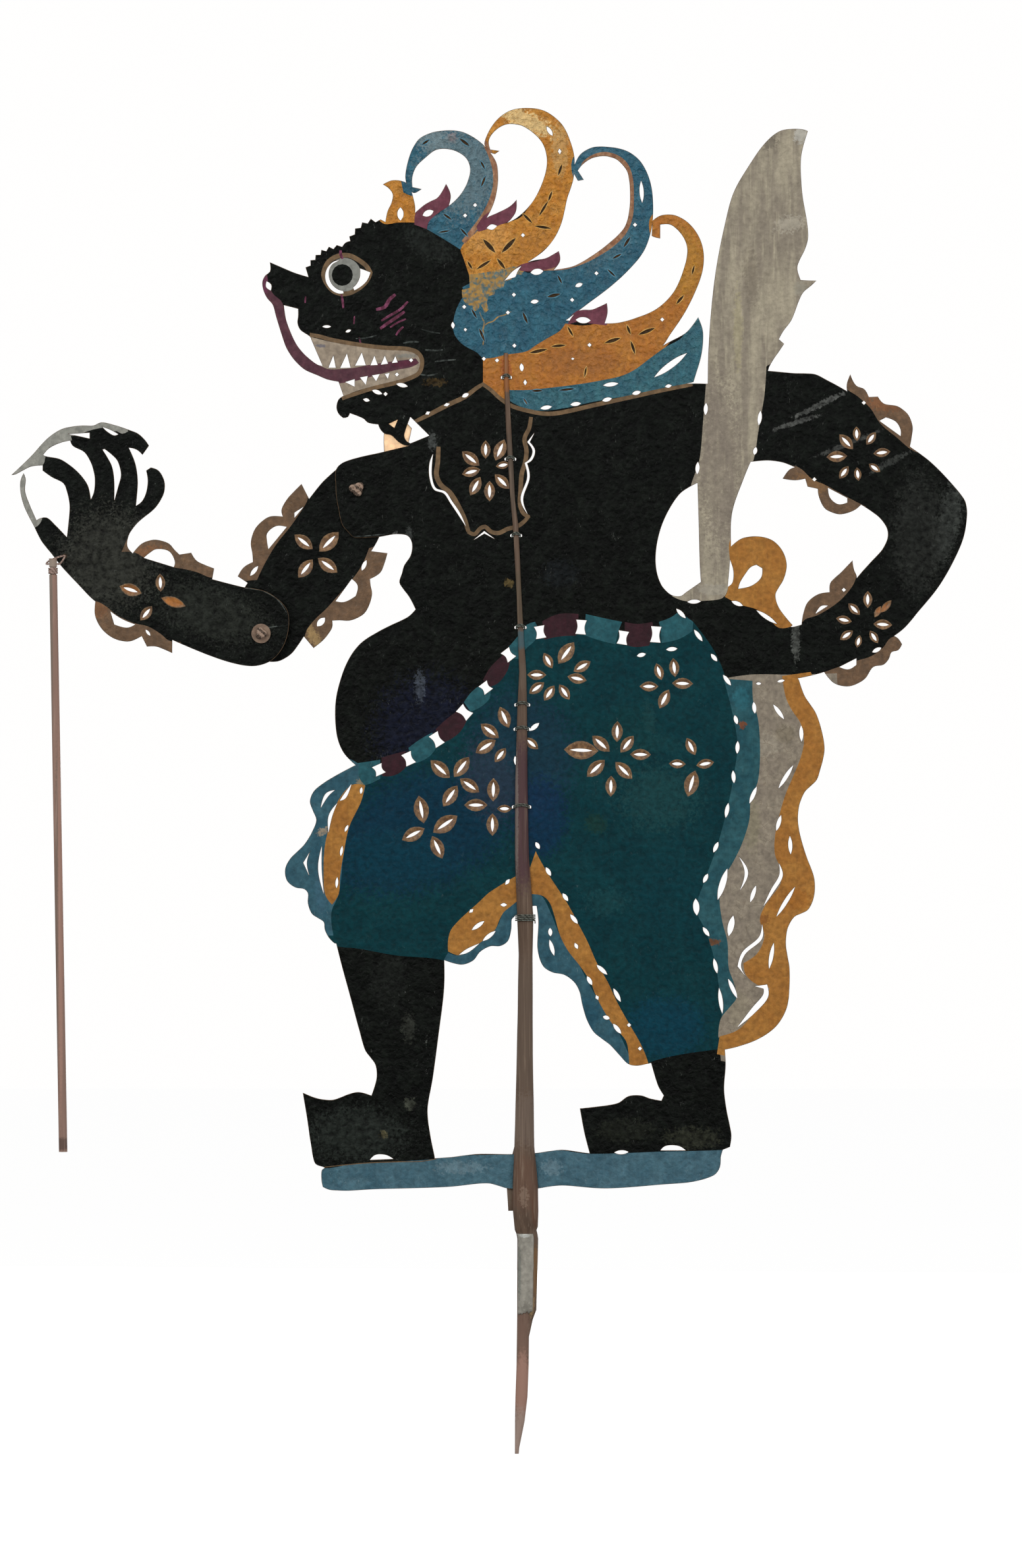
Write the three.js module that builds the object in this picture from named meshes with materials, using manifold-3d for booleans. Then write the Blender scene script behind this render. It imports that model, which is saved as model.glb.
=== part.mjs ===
import * as THREE from 'three';
import { mergeVertices } from 'three/addons/utils/BufferGeometryUtils.js';
import Module from 'manifold-3d';

// A flat, pierced hide puppet of a giant, upright and facing left, seen from the front (-Y).
// Millimetres, +Z up. The origin is the middle of the small flat tip of the rod's pointed foot.
// Outlines are picture positions on the front view, in pixels, and place() turns them into millimetres.

const OVERALL_HEIGHT = 851;
const CROWN_TOP_PX = 164;
const FOOT_PX = [784.3, 2206.5];
const PIXELS_PER_MM = (FOOT_PX[1] - CROWN_TOP_PX) / OVERALL_HEIGHT;

const HIDE_THICKNESS = 1.5;
const LAYER_GAP = 0.3;
const PATCH_THICKNESS = 0.6;
const OUTLINE_STEP = 6;
const CUT_OVERSHOOT = 1;

const SLIT_SHOULDER = 0.3;
const SHORT_SLIT_WIDTHS = 2;
const FINE_SLIT = 1.5;
const SLIT = 2.2;
const WIDE_SLIT = 3.4;
const DOT = 2.6;
const PETAL_WIDTH = 2.4;
const PETAL_OPEN_SHARE = 0.64;
const TOOTH_NOTCH = 2;
const BELT_GAP_END = 6.6;
const BELT_GAP_WAIST = 4.4;

const CORD_RADIUS = 1.2;
const CORD_HOLE_RADIUS = 1.5;
const SHOULDER_KNOT_RADIUS = 5.35;
const SHOULDER_KNOT_HEIGHT = 3;
const ELBOW_KNOT_RADIUS = 4.2;
const ELBOW_KNOT_HEIGHT = 2.6;
const ELBOW_TURNS_RADIUS = 2.6;
const BACK_KNOT_RADIUS = 3.6;
const BACK_KNOT_HEIGHT = 2.2;
const WASHER_RADIUS = 6.25;
const WASHER_THICKNESS = 1;
const KNOT_SIDES = 14;
const KNOT_PROFILE = [[0, 1], [0.6, 0.97], [0.93, 0.75], [1, 0.45], [0.93, 0.18], [0.7, 0]];
const CORD_HOLE_SIDES = 12;

const ROD_FACE = HIDE_THICKNESS / 2 + LAYER_GAP;
const ROD_DEPTH_SHARE = 0.85;
const ROD_SIDES = 16;
const THREAD_RADIUS = 0.6;
const THREAD_SIDES = 5;
const THREAD_HOLE_RADIUS = 1.15;
const THREAD_HOLE_SIDES = 6;
const WRIST_HOLE_SIDES = 8;
const TIE_CORNERS = 5;
const TIE_STEPS = 20;

const ARM_ROD_TOP_RADIUS = 2.5;
const ARM_ROD_END_RADIUS = 2.7;
const ARM_ROD_CLEARANCE = 0.6;
const ARM_ROD_SIDES = 16;
const BORE_RADIUS = 1;
const BORE_SIDES = 12;
const BORE_FROM_TOP = 3.5;
const GROOVE_TOP = 2;
const GROOVE_DEPTH = 0.6;
const GROOVE_SLOPE = 0.3;
const LASHING_TURNS = 3;
const LASHING_PITCH = 1.3;
const LASHING_THICKNESS = 1;
const LASHING_VALLEY = 0.6;

const LOOP_CLEARANCE = 1.3;
const LOOP_STANDOFF = 1.5;
const LOOP_STEPS = 44;
const STOPPER_RADIUS = 1.8;
const STOPPER_HEIGHT = 1.3;
const STOPPER_CLEARANCE = 0.65;

const LABEL_GAP = 0.3;
const LABEL_THICKNESS = 0.4;
const LABEL_STEPS = 8;
const LABEL_START = THREE.MathUtils.degToRad(56);
const LABEL_END = THREE.MathUtils.degToRad(150);

const SHOULDER_PX = [541.7, 742.3];
const ELBOW_PX = [396.6, 961.8];
const WRIST_PX = [98.9, 844.4];
const ARM_ROD_TOP_PX = [82, 848.6];
const ARM_ROD_END_PX = [97.5, 1747];

const wasm = await Module();
wasm.setup();

// Corner point of an outline; the other points lie on smooth stretches
function sharp(x, y) {
  return [x, y, true];
}

function place([x, y]) {
  return new THREE.Vector3((x - FOOT_PX[0]) / PIXELS_PER_MM, (FOOT_PX[1] - y) / PIXELS_PER_MM, 0);
}

// Smooth stretch through its points, with added points only on long spans
function smoothRun(points, closed) {
  if (points.length === 2) {
    return points;
  }
  const curve = new THREE.CatmullRomCurve3(points, closed, 'centripetal');
  const spans = closed ? points.length : points.length - 1;
  const result = [];
  for (let span = 0; span < spans; span += 1) {
    const length = points[span].distanceTo(points[(span + 1) % points.length]);
    const pieces = Math.max(1, Math.round(length / OUTLINE_STEP));
    for (let piece = 0; piece < pieces; piece += 1) {
      result.push(curve.getPoint((span + piece / pieces) / spans));
    }
  }
  if (!closed) {
    result.push(points.at(-1));
  }
  return result;
}

function outline(points) {
  const first = points.findIndex((point) => point[2]);
  if (first < 0) {
    return smoothRun(points.map(place), true);
  }
  const ordered = [...points.slice(first), ...points.slice(0, first), points[first]];
  const result = [];
  let run = [place(ordered[0])];
  for (const point of ordered.slice(1)) {
    run.push(place(point));
    if (point[2]) {
      result.push(...smoothRun(run, false).slice(0, -1));
      run = [place(point)];
    }
  }
  return result;
}

// Hair tips with a notch between each two; the sheet lies to the right of the walk
function serrated(tips) {
  const depth = TOOTH_NOTCH * PIXELS_PER_MM;
  return tips.flatMap(([x, y], index) => {
    if (index === tips.length - 1) {
      return [sharp(x, y)];
    }
    const [nextX, nextY] = tips[index + 1];
    const length = Math.hypot(nextX - x, nextY - y);
    const inX = -(nextY - y) / length;
    const inY = (nextX - x) / length;
    return [sharp(x, y), sharp((x + nextX) / 2 + inX * depth, (y + nextY) / 2 + inY * depth)];
  });
}

// Corner beside a line: a share of the way along it, then so far to its left
function besideLine([x1, y1, x2, y2], share, side) {
  const length = Math.hypot(x2 - x1, y2 - y1);
  const x = x1 + (x2 - x1) * share - ((y2 - y1) / length) * side;
  const y = y1 + (y2 - y1) * share + ((x2 - x1) / length) * side;
  return sharp(x, y);
}

// Knife slit from end to end, pointed at both ends
function almond([x1, y1, x2, y2], width) {
  const length = Math.hypot(x2 - x1, y2 - y1);
  const half = (width * PIXELS_PER_MM) / 2;
  const at = (share, side) => besideLine([x1, y1, x2, y2], share, side * half);
  if (length < SHORT_SLIT_WIDTHS * 2 * half) {
    return [at(0, 0), at(0.5, 1), at(1, 0), at(0.5, -1)];
  }
  const near = SLIT_SHOULDER;
  const far = 1 - SLIT_SHOULDER;
  return [at(0, 0), at(near, 1), at(far, 1), at(1, 0), at(far, -1), at(near, -1)];
}

// Punched dot
function dot([x, y]) {
  const half = (DOT * PIXELS_PER_MM) / 2;
  return [sharp(x - half, y), sharp(x, y - half), sharp(x + half, y), sharp(x, y + half)];
}

// The open slit inside a countersunk petal, whose rim ends are given
function petal([x1, y1, x2, y2]) {
  const trim = (1 - PETAL_OPEN_SHARE) / 2;
  const dx = (x2 - x1) * trim;
  const dy = (y2 - y1) * trim;
  return almond([x1 + dx, y1 + dy, x2 - dx, y2 - dy], PETAL_WIDTH);
}

// Narrow channel along a path, pointed at both ends
function channel(path, width) {
  const half = (width * PIXELS_PER_MM) / 2;
  const left = [];
  const right = [];
  for (let index = 1; index < path.length - 1; index += 1) {
    const dx = path[index + 1][0] - path[index - 1][0];
    const dy = path[index + 1][1] - path[index - 1][1];
    const length = Math.hypot(dx, dy);
    const [x, y] = path[index];
    left.push(sharp(x - (dy / length) * half, y + (dx / length) * half));
    right.unshift(sharp(x + (dy / length) * half, y - (dx / length) * half));
  }
  return [sharp(...path[0]), ...left, sharp(...path.at(-1)), ...right];
}

// Gap between two round beads of the belt: wide at both ends, narrow at the waist
function beadGap(ends) {
  const end = (BELT_GAP_END * PIXELS_PER_MM) / 2;
  const waist = (BELT_GAP_WAIST * PIXELS_PER_MM) / 2;
  const at = (share, half) => besideLine(ends, share, half);
  return [at(0, -end), at(0.5, -waist), at(1, -end), at(1, end), at(0.5, waist), at(0, end)];
}

// Small round hole for a cord or a thread
function roundHole([x, y], radius, sides) {
  const reach = radius * PIXELS_PER_MM;
  return Array.from({ length: sides }, (_, index) => {
    const angle = (2 * Math.PI * (index + 0.5)) / sides;
    return sharp(x + reach * Math.cos(angle), y + reach * Math.sin(angle));
  });
}

function slits(list, width = SLIT) {
  return list.map((ends) => almond(ends, width));
}

function dots(list) {
  return list.map(dot);
}

function petals(list) {
  return list.map(petal);
}

function mergedGeometry(geometry) {
  geometry.deleteAttribute('normal');
  geometry.deleteAttribute('uv');
  return mergeVertices(geometry);
}

function toSolid(geometry) {
  const merged = mergedGeometry(geometry);
  const mesh = new wasm.Mesh({
    numProp: 3,
    vertProperties: new Float32Array(merged.getAttribute('position').array),
    triVerts: new Uint32Array(merged.getIndex().array),
  });
  return new wasm.Manifold(mesh);
}

function toGeometry(solid) {
  const mesh = solid.getMesh();
  const geometry = new THREE.BufferGeometry();
  geometry.setAttribute('position', new THREE.BufferAttribute(mesh.vertProperties, 3));
  geometry.setIndex(new THREE.BufferAttribute(mesh.triVerts, 1));
  geometry.computeVertexNormals();
  return geometry;
}

function joined(solids) {
  return solids.reduce((whole, solid) => whole.add(solid));
}

// Flat solid in the drawing plane: local z runs from 0 to its thickness
function flatSolid(points, thickness, overshoot = 0) {
  const shape = new THREE.Shape(outline(points).map(({ x, y }) => new THREE.Vector2(x, y)));
  const depth = thickness + 2 * overshoot;
  const geometry = new THREE.ExtrudeGeometry(shape, { depth, bevelEnabled: false });
  geometry.translate(0, 0, -overshoot);
  return toSolid(geometry);
}

function sheet(regions, cuts, thickness = HIDE_THICKNESS) {
  const whole = joined(regions.map((points) => flatSolid(points, thickness)));
  if (cuts.length === 0) {
    return toGeometry(whole);
  }
  const holes = joined(cuts.map((points) => flatSolid(points, thickness, CUT_OVERSHOOT)));
  return toGeometry(whole.subtract(holes).asOriginal().simplify());
}

// Head: profile with brow hair, nose, open mouth, teeth, chin and beard

const BROW_HAIR = [
  [463.6, 405.8], [471, 395], [479, 387], [487.7, 379.3], [499, 374.5], [511, 372], [524.7, 368],
  [530, 359], [538.9, 346.9], [549.6, 337.5], [562.7, 332], [577.7, 333],
];

const HEAD = [
  sharp(409.5, 398), [428, 406], [447, 414], sharp(468, 420.5), ...serrated(BROW_HAIR),
  sharp(585, 337), [606, 334], [628, 336], [648, 348], [675, 364], sharp(690, 371), sharp(705, 380),
  sharp(712, 460), sharp(735, 540), sharp(735, 610), sharp(660, 680),
  sharp(613.7, 676), [604.5, 670.8], [593.3, 660.6], [584, 658.6], [576.9, 651.4], [573.9, 644.3],
  [557.6, 641.2], [552.4, 636.1], [541.2, 631], sharp(531, 627.3), [528, 633], [520.8, 634.5],
  [513.7, 628], [510.6, 618.8], [513.7, 606.5], sharp(521.2, 600.8), sharp(513.7, 579.4), [496.3, 575.9],
  [482, 569.8], [461.6, 560.6], [447.3, 547.3], [434, 526.9], [426.9, 506.5], [418.8, 480], [413.5, 462],
  [405.4, 452.7], [399.3, 439.3], [398.2, 427.3], [402.8, 417.9], sharp(409.5, 412.5),
];

const MOUTH = [
  [434, 484], [441.2, 504.5], [451.4, 524.9], [465.7, 541.2], [482, 553.5], sharp(489.6, 555.5),
  sharp(472.9, 516.7), sharp(470.8, 511.6), [455.5, 500.4], [451.4, 490.2], [452.4, 480],
  sharp(452.3, 468.8), sharp(430.9, 463.4),
];

const UPPER_TOOTH_GAPS = [
  [sharp(505.9, 539.6), sharp(498.4, 558.2), sharp(509.6, 558.2)],
  [sharp(526.5, 536.7), sharp(516.3, 558.6), sharp(532, 558.2)],
  [sharp(549, 535.1), sharp(538.8, 555.1), sharp(555.1, 554.5)],
  [sharp(568.2, 540), sharp(562.3, 554.5), sharp(573.2, 554)],
  [sharp(584, 540), sharp(578, 553.6), sharp(588.8, 552)],
  [sharp(600, 540.5), sharp(594.9, 551), sharp(603.4, 550)],
];

const LOWER_TOOTH_GAPS = [
  [sharp(523.9, 580), sharp(538.2, 575.5), sharp(538.2, 587)],
  [sharp(546.3, 572.9), sharp(558, 570.8), sharp(555.1, 584)],
  [sharp(564.7, 569.8), sharp(576.3, 567.8), sharp(570.8, 578.6)],
  [sharp(584, 567.8), sharp(591.2, 566), sharp(588.6, 574.9)],
];

const EYE_BACK = [
  sharp(516.1, 394.6), [505.4, 397.8], [497, 406.6], [493.6, 417.9], [495.7, 430], [503.8, 440.7],
  [513.9, 445.5], sharp(521.4, 445.2), sharp(520.6, 441.5), [512.6, 439.3], [503.8, 431.8], [499.5, 421.9],
  [499.2, 411.2], [503.8, 401.8], sharp(511.3, 397),
];

const EYE_FRONT = [
  sharp(546.6, 407.7), [554.1, 410.4], sharp(562.2, 413.6), [556.8, 425.9], [548.8, 434],
  sharp(538, 440.7), sharp(535.9, 436.6), [542, 430], [546.1, 420.6],
];

const CHIN_GAP = [
  sharp(622.9, 633), sharp(651.4, 661.2), sharp(622.9, 672.9), sharp(616.7, 668.8), sharp(613.7, 661.6),
  sharp(616.7, 649.4),
];

const BEARD_GAP = [sharp(590.2, 643.3), sharp(603.5, 637.1), sharp(598.4, 649.4)];

const NOSE_LOOP = [[404.5, 427, 411, 441]];
const NOSTRIL_SLITS = [[489.2, 495.7, 502.4, 495.7], [524.5, 504, 532.7, 500.8]];
const JAW_SLITS = [[564.7, 592.2, 580, 598], [601.4, 582.7, 618.8, 586.5], [551, 606, 561.2, 608.2]];
const JAW_DOTS = [[623.9, 546.7], [602.4, 568.4], [585.1, 598]];

const HEAD_CUTS = [
  MOUTH, ...UPPER_TOOTH_GAPS, ...LOWER_TOOTH_GAPS, EYE_BACK, EYE_FRONT, CHIN_GAP, BEARD_GAP,
  ...slits(NOSE_LOOP, WIDE_SLIT), ...slits(NOSTRIL_SLITS, FINE_SLIT), ...slits(JAW_SLITS), ...dots(JAW_DOTS),
];

// Crown: a horn, four flame curls, a tail and four small leaves between them

const HORN = [
  sharp(581, 280), [594, 274], [616, 277], [625, 292], [630, 313], sharp(629, 345), sharp(583, 350),
  [588, 321], [594, 308], [596, 295], [590, 286],
];

const CURL_1 = [
  sharp(617, 282), [615, 268], [618, 249], [624, 230], [637, 210], [656, 201], [677, 198], [701, 200],
  [725.5, 213], [742, 229], [754, 249], [756, 270.5], [752, 300], [744, 321], [731, 343], [717.5, 362],
  sharp(701, 380), sharp(690, 376), sharp(648, 354), sharp(648, 337.5), [672, 317], [683, 311], [699, 295],
  [709.5, 276], [713.5, 257], [708, 241], [693, 230], [675, 226], [661, 228], [645, 240], [632, 253],
  [626, 268], sharp(626, 284), sharp(640, 287), [629, 293], sharp(620, 290),
];

const CURL_2 = [
  sharp(738, 226), [735, 218], [740, 203], [754, 182], [775, 167.5], [803, 164], [828, 169], [853, 189],
  [865, 213], [872, 241], [870, 273], [861, 301], [853, 336], [842, 360.5], [824.5, 381.5], [796, 401],
  [779, 411], [757, 436], [735, 452], sharp(710, 476), sharp(690, 440), sharp(695, 375), sharp(702, 373),
  [726, 357], [758, 343], [782, 332], [807, 308], [824.5, 273], [830, 245], [824.5, 220], [810.5, 203],
  [789, 190], [768, 189], [751, 199], [742, 213], sharp(744, 227), sharp(758, 229), [751, 234],
  sharp(741, 231),
];

const CURL_3 = [
  sharp(872, 250), [881, 234], [898, 224], [923, 223], [951, 229], [972, 245], [986, 273], [991, 304],
  [989, 346], [977, 381.5], [951, 413], [923, 438], [895, 459], [870, 478], [856, 488.5], [828, 509.5],
  [796, 529], [754, 543], sharp(733, 541), sharp(700, 525), sharp(686, 497), [690, 475], sharp(702, 464),
  [740, 440], [768, 425], [793, 418], [824.5, 413], [845.5, 409], [870, 404], [898, 388.5], [926, 367.5],
  [947, 346], [954, 325], [956, 290], [951, 259], [937, 243], [916, 237], [898, 240.5], [884, 250],
  sharp(877, 259), sharp(886, 273), [877, 274.5], sharp(871, 264),
];

const CURL_4 = [
  sharp(990, 335), [1003, 327], [1021, 326], [1042, 336], [1059.5, 357], [1067.6, 381.5], [1066.5, 410],
  [1056, 441], [1038.5, 476], [1017, 508], [1003, 529], [979, 550], [951, 566], [916, 580], [860, 588.5],
  [810.5, 594], sharp(765, 592), sharp(733, 583), sharp(735, 540), [754, 538], [796, 524], [828, 504],
  sharp(854, 486), [870, 487], [898, 490], [937, 490], [968, 481.5], [996, 469], [1021, 445], [1037, 410],
  [1043, 378], [1035, 357], [1017, 341], sharp(1002, 341), sharp(1002, 362), [993, 360], sharp(989, 358),
];

const TAIL = [
  sharp(1059.5, 481.5), [1066.5, 501], [1065, 536], sharp(1052.5, 580), [1021, 587], [951, 603],
  [881, 617], [824.5, 624], [796, 618.5], [774, 604.5], sharp(745, 588), [774, 590], [860, 584],
  [916, 576], [951, 562], [979, 546], [1007, 524], [1042, 504],
];

const LEAVES = [
  [
    sharp(677, 279), [684, 296], sharp(681, 314), sharp(664, 329), sharp(655, 352), sharp(640, 354),
    sharp(626, 342), [630, 323], [644, 311], sharp(664, 300),
  ],
  [
    sharp(784, 303), [783, 321], [766, 342], sharp(728, 362), sharp(712, 374), [729, 337], [755, 323],
    [774, 313],
  ],
  [
    sharp(848, 381), [850, 395.5], [838.5, 413], sharp(807, 421), sharp(780, 424), [794, 400], [828, 392],
  ],
  [sharp(921, 460), [922, 475], sharp(917, 493), sharp(858, 500), [875, 472], [898, 470]],
];

const CROWN_SLITS = [
  [641.4, 327.1, 657.9, 320.1], [738.5, 346.4, 754.3, 342.9], [805.2, 413.8, 824.5, 411.3],
  [873.6, 485.5, 896.4, 486.5], [607.7, 314.7, 607.7, 334.8],
];

const CROWN_SLOTS = [
  [829.7, 192, 838.5, 206], [849, 225.4, 849.7, 234.2], [972.9, 274.5, 974.6, 307.8],
  [872.9, 434.8, 884.1, 430.6], [805.2, 458.7, 817.5, 456.9], [703.8, 500.8, 708.7, 500],
  [687, 488.5, 687.7, 499], [869, 542.8, 869.4, 546.4], [791.2, 551.6, 792.2, 563.9],
  [797, 576, 797, 585], [915.3, 585, 938.5, 582],
];

const TAIL_SLITS = [[992.8, 572.7, 1042.6, 535.8]];

const CROWN_DOTS = [
  [721, 311.3], [705.9, 327.1], [793.6, 357], [963.7, 341.2], [905.2, 414.8], [868.3, 455.2],
  [779.9, 447.4], [770.8, 474.4], [704.5, 465.7], [780.6, 524.6], [894.6, 523.6], [1005, 485],
  [754.3, 547], [734.3, 544.6],
];

const CROWN_CUTS = [
  ...slits(CROWN_SLITS, WIDE_SLIT), ...slits(CROWN_SLOTS), ...slits(TAIL_SLITS, WIDE_SLIT),
  ...dots(CROWN_DOTS),
];

// Torso with its collar and bib

const TORSO = [
  sharp(622, 676), sharp(573.3, 687.8), [541.7, 694.9], [518, 703.6], sharp(510, 712.7), [510, 750.3],
  [514, 774], [520, 797.7], sharp(537, 815.5), [575, 815], [601, 810.8], sharp(618.8, 813.5), [625, 824],
  [623.5, 842], [613, 859], [610, 870], [606, 884], [611.6, 893.7], [620.8, 905.9], sharp(630.6, 924.9),
  [620.8, 935], [581, 954.9], [547.3, 976.3], [529, 1000.8], [516.7, 1031.4], [509, 1068],
  [512, 1120.2], [522.9, 1144.7], sharp(539.7, 1161.5), sharp(560, 1175), sharp(640, 1140),
  sharp(700, 1085), sharp(760, 1010), sharp(820, 960), sharp(1040, 950), sharp(1100, 915),
  sharp(1100, 583), sharp(1053, 582), sharp(1021, 583), sharp(952, 597), sharp(843, 614), sharp(790, 608),
  sharp(776, 596), sharp(735, 575), sharp(650, 625),
];

const BACK_OVAL = [
  sharp(1058.5, 733), [1034.1, 747.5], [1012, 780], [1000, 812], [995.1, 844.5], [997.5, 870.9],
  [1006.3, 891.5], [1019.5, 903.2], [1032.7, 904.7], [1041.3, 898.8], sharp(1063.7, 883.3),
  [1062, 857.5], [1060.3, 792],
];

const COLLAR_DASHES = [
  [645.5, 629, 652.8, 625], [673.3, 615.7, 682.7, 612.8], [701.2, 602.5, 711.5, 597.5],
  [820, 620, 837.6, 617.2], [865.5, 614.3, 881.6, 612.2], [913.9, 608.4, 928.5, 604.6],
  [959.3, 598, 972.5, 594.6], [1009.2, 587, 1019.5, 585],
];

const BIB_CHANNELS = [
  [[657.2, 689], [653.7, 703.7], [653.7, 724.3], [660.1, 741.9], [674.8, 747.7], [685, 762.4], [696.8, 780],
    [707, 799]],
  [[718.8, 819.6], [735, 807.9], [751, 818.1]],
  [[811, 657], [802, 671], [810, 684], [806, 697], [798, 703], [802, 724], [792, 758], [801, 781]],
];

const BIB_PETALS = [
  [701.2, 685.5, 727.6, 706.7], [737, 668.5, 737, 696.4], [765.7, 667, 752, 699.3],
  [752.5, 708, 774, 704], [751, 720, 773, 742], [742.9, 730, 742.9, 761], [729, 724, 713.8, 752],
  [701, 720, 729, 712.5],
];

const BELT_GAPS = [
  [571.8, 1161.5, 578, 1175.3], [616.2, 1143.1, 623.9, 1160], [657.5, 1114, 668.2, 1130.9],
  [697.3, 1074.3, 712.6, 1088], [732.5, 1037.5, 741.7, 1049.8], [766.2, 987, 776.9, 1000.8],
  [818.2, 950.3, 821.3, 968.7], [882.5, 941.1, 881, 962.5], [946.8, 958, 943.7, 977.8],
  [996, 951, 994.4, 974.9],
];

const TORSO_CUTS = [
  BACK_OVAL, ...slits(COLLAR_DASHES), ...BIB_CHANNELS.map((path) => channel(path, FINE_SLIT)),
  ...petals(BIB_PETALS), ...BELT_GAPS.map(beadGap),
];

// Sword held upright in the rear hand, and the round knob over that hand

const SWORD = [
  sharp(1226, 199), [1219, 196.5], [1186, 198], [1163, 215], [1134, 255.5], [1113, 293], [1099, 345],
  [1087, 406.5], [1080, 463], [1075, 534], [1073, 605], [1064, 680], [1060, 727.5], [1060, 770],
  [1064, 841], [1063, 888], [1049, 902], [1040, 909], [1068, 914], sharp(1101, 907), sharp(1104, 902),
  [1109, 841], [1111, 779], [1130, 723], [1148.5, 675.5], [1158, 605], [1167, 558], [1182, 534],
  [1190, 522], [1182, 515], [1200.5, 487], [1219, 444], [1239, 426], [1215, 425], [1210, 406.5],
  [1226, 364], [1217, 288.5], [1216, 237],
];

const KNOB = [
  [1108.5, 830], [1124, 818], [1148, 814], [1172, 820], [1188, 837], [1194, 859], [1188, 882],
  [1177, 902], [1182.5, 923], sharp(1203, 949), sharp(1190, 960), sharp(1140, 935), sharp(1100, 915),
  sharp(1100, 840),
];

const KNOB_HOLE = [
  [1120.5, 893.6], [1139.5, 860.9], [1148, 857.5], [1156.7, 862.6], [1155, 876.4], [1141.2, 888.5],
];

const SWORD_NOTCH = [sharp(1108, 850), sharp(1113, 868), sharp(1111, 885), sharp(1104.5, 890.5)];

const SWORD_SLITS = [
  [1071.6, 611.3, 1070.6, 630.2], [1154.3, 623.3, 1151.5, 645.7], [1147.4, 678.4, 1144.6, 690.5],
  [1059.2, 701, 1057.9, 720],
];

const HILT_SLITS = [[1043, 913.6, 1063.7, 912.6], [1110.2, 912.6, 1127.4, 919.4], [1148, 926.3, 1179, 947]];
const HAND_SLITS = [[1147.3, 1037.6, 1155.2, 1037.6], [1179.4, 1034.8, 1190.8, 1032.4]];

const SWORD_CUTS = [
  KNOB_HOLE, SWORD_NOTCH, ...slits(SWORD_SLITS), ...slits(HILT_SLITS), ...slits(HAND_SLITS, FINE_SLIT),
];

// Rear arm, bent with its hand on the hip, and its scalloped armbands

const REAR_ARM = [
  sharp(1150, 562), [1167, 563], [1206.6, 566.5], [1237.6, 568.2], [1254.8, 576.8], [1285.8, 594],
  [1306.5, 609.5], [1330.6, 633.6], [1370.2, 669.8], [1409.8, 699], [1440.8, 730], [1464.9, 761],
  [1467.6, 774.8], [1463.2, 812.7], [1447.7, 850.6], [1423.6, 891.9], [1392.6, 929.8], [1371.9, 953.9],
  [1337.5, 978], [1296, 1000.4], [1258.3, 1017.6], [1220.4, 1027.9], [1179, 1034.8], [1144.6, 1039.3],
  sharp(1120.5, 1036.5), [1097, 1024], [1078, 995], [1053, 956], sharp(1026, 923), [1044.8, 916],
  [1068.9, 912.6], [1099.9, 910.8], [1120.5, 916], [1144.6, 926.3], [1165.3, 940], sharp(1179, 950.4),
  [1203.2, 951.5], [1227.3, 943.5], [1254.8, 929.8], [1279, 909], [1299.6, 878], [1323.7, 850.6],
  [1339.2, 833.4], [1347, 816], [1346, 802.4], [1335.7, 786.9], [1309.9, 768], [1292.7, 757.6],
  [1258.3, 738.7], [1234.2, 723.2], [1206.6, 709.4], [1189.4, 702.5], [1165.3, 699], sharp(1141.2, 700.8),
  sharp(1100, 700), sharp(1100, 575),
];

const ARMBANDS = [
  [
    sharp(1285.8, 597), sharp(1285, 583.7), sharp(1290.3, 568.2), [1299.6, 585.4], [1311.6, 590.6],
    [1318.5, 602.6], [1332.3, 602], [1340.9, 612.3], [1361.6, 616.4], [1378.8, 630.2], [1385, 647.4],
    sharp(1380.5, 680), sharp(1330, 660),
  ],
  [
    sharp(1214, 706), [1198, 712.8], sharp(1187.7, 726.6), [1206.6, 729], [1222, 726.6], [1225.6, 738.7],
    [1241, 742], [1242.8, 754.2], [1251.4, 771.4], [1275.5, 780.7], [1296, 774.8], sharp(1312, 762),
    sharp(1260, 722),
  ],
  [
    sharp(1300, 874), [1296, 864.4], sharp(1293.7, 850.6), [1275.5, 869.5], [1260, 885], [1259, 898.8],
    [1241, 902.2], [1225.6, 914.3], [1219.4, 929.8], sharp(1216, 950), sharp(1262, 945), sharp(1300, 905),
  ],
  [
    sharp(1352, 962), [1363, 969], sharp(1369, 978), [1363, 987], [1353, 990], [1349, 1000], [1340.9, 1009],
    [1325.4, 1012.4], [1313.4, 1029.6], [1289.3, 1041.7], [1265, 1036.5], sharp(1247, 1015), sharp(1290, 990),
  ],
];

const ARMBAND_HOLES = [
  [
    sharp(1334.7, 638.8), [1344.4, 633.6], [1359.9, 640.5], [1366.7, 652.6], sharp(1366.7, 661.9),
  ],
  [
    sharp(1256.5, 740.4), sharp(1285.8, 755.9), [1285.8, 762.8], [1272, 765.2], [1260, 755.9],
  ],
  [sharp(1237.6, 931.5), [1246.2, 920], sharp(1256.5, 919.4)],
  [sharp(1273.8, 1012.4), sharp(1299.6, 999.3), [1299.6, 1009], [1287.5, 1015.9]],
];

const REAR_ARM_DOTS = [[1311, 611.3], [1235.9, 727.6], [1280.6, 895.3]];
const REAR_ARM_SLITS = [[1323.7, 990, 1337.5, 983.2]];

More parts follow.
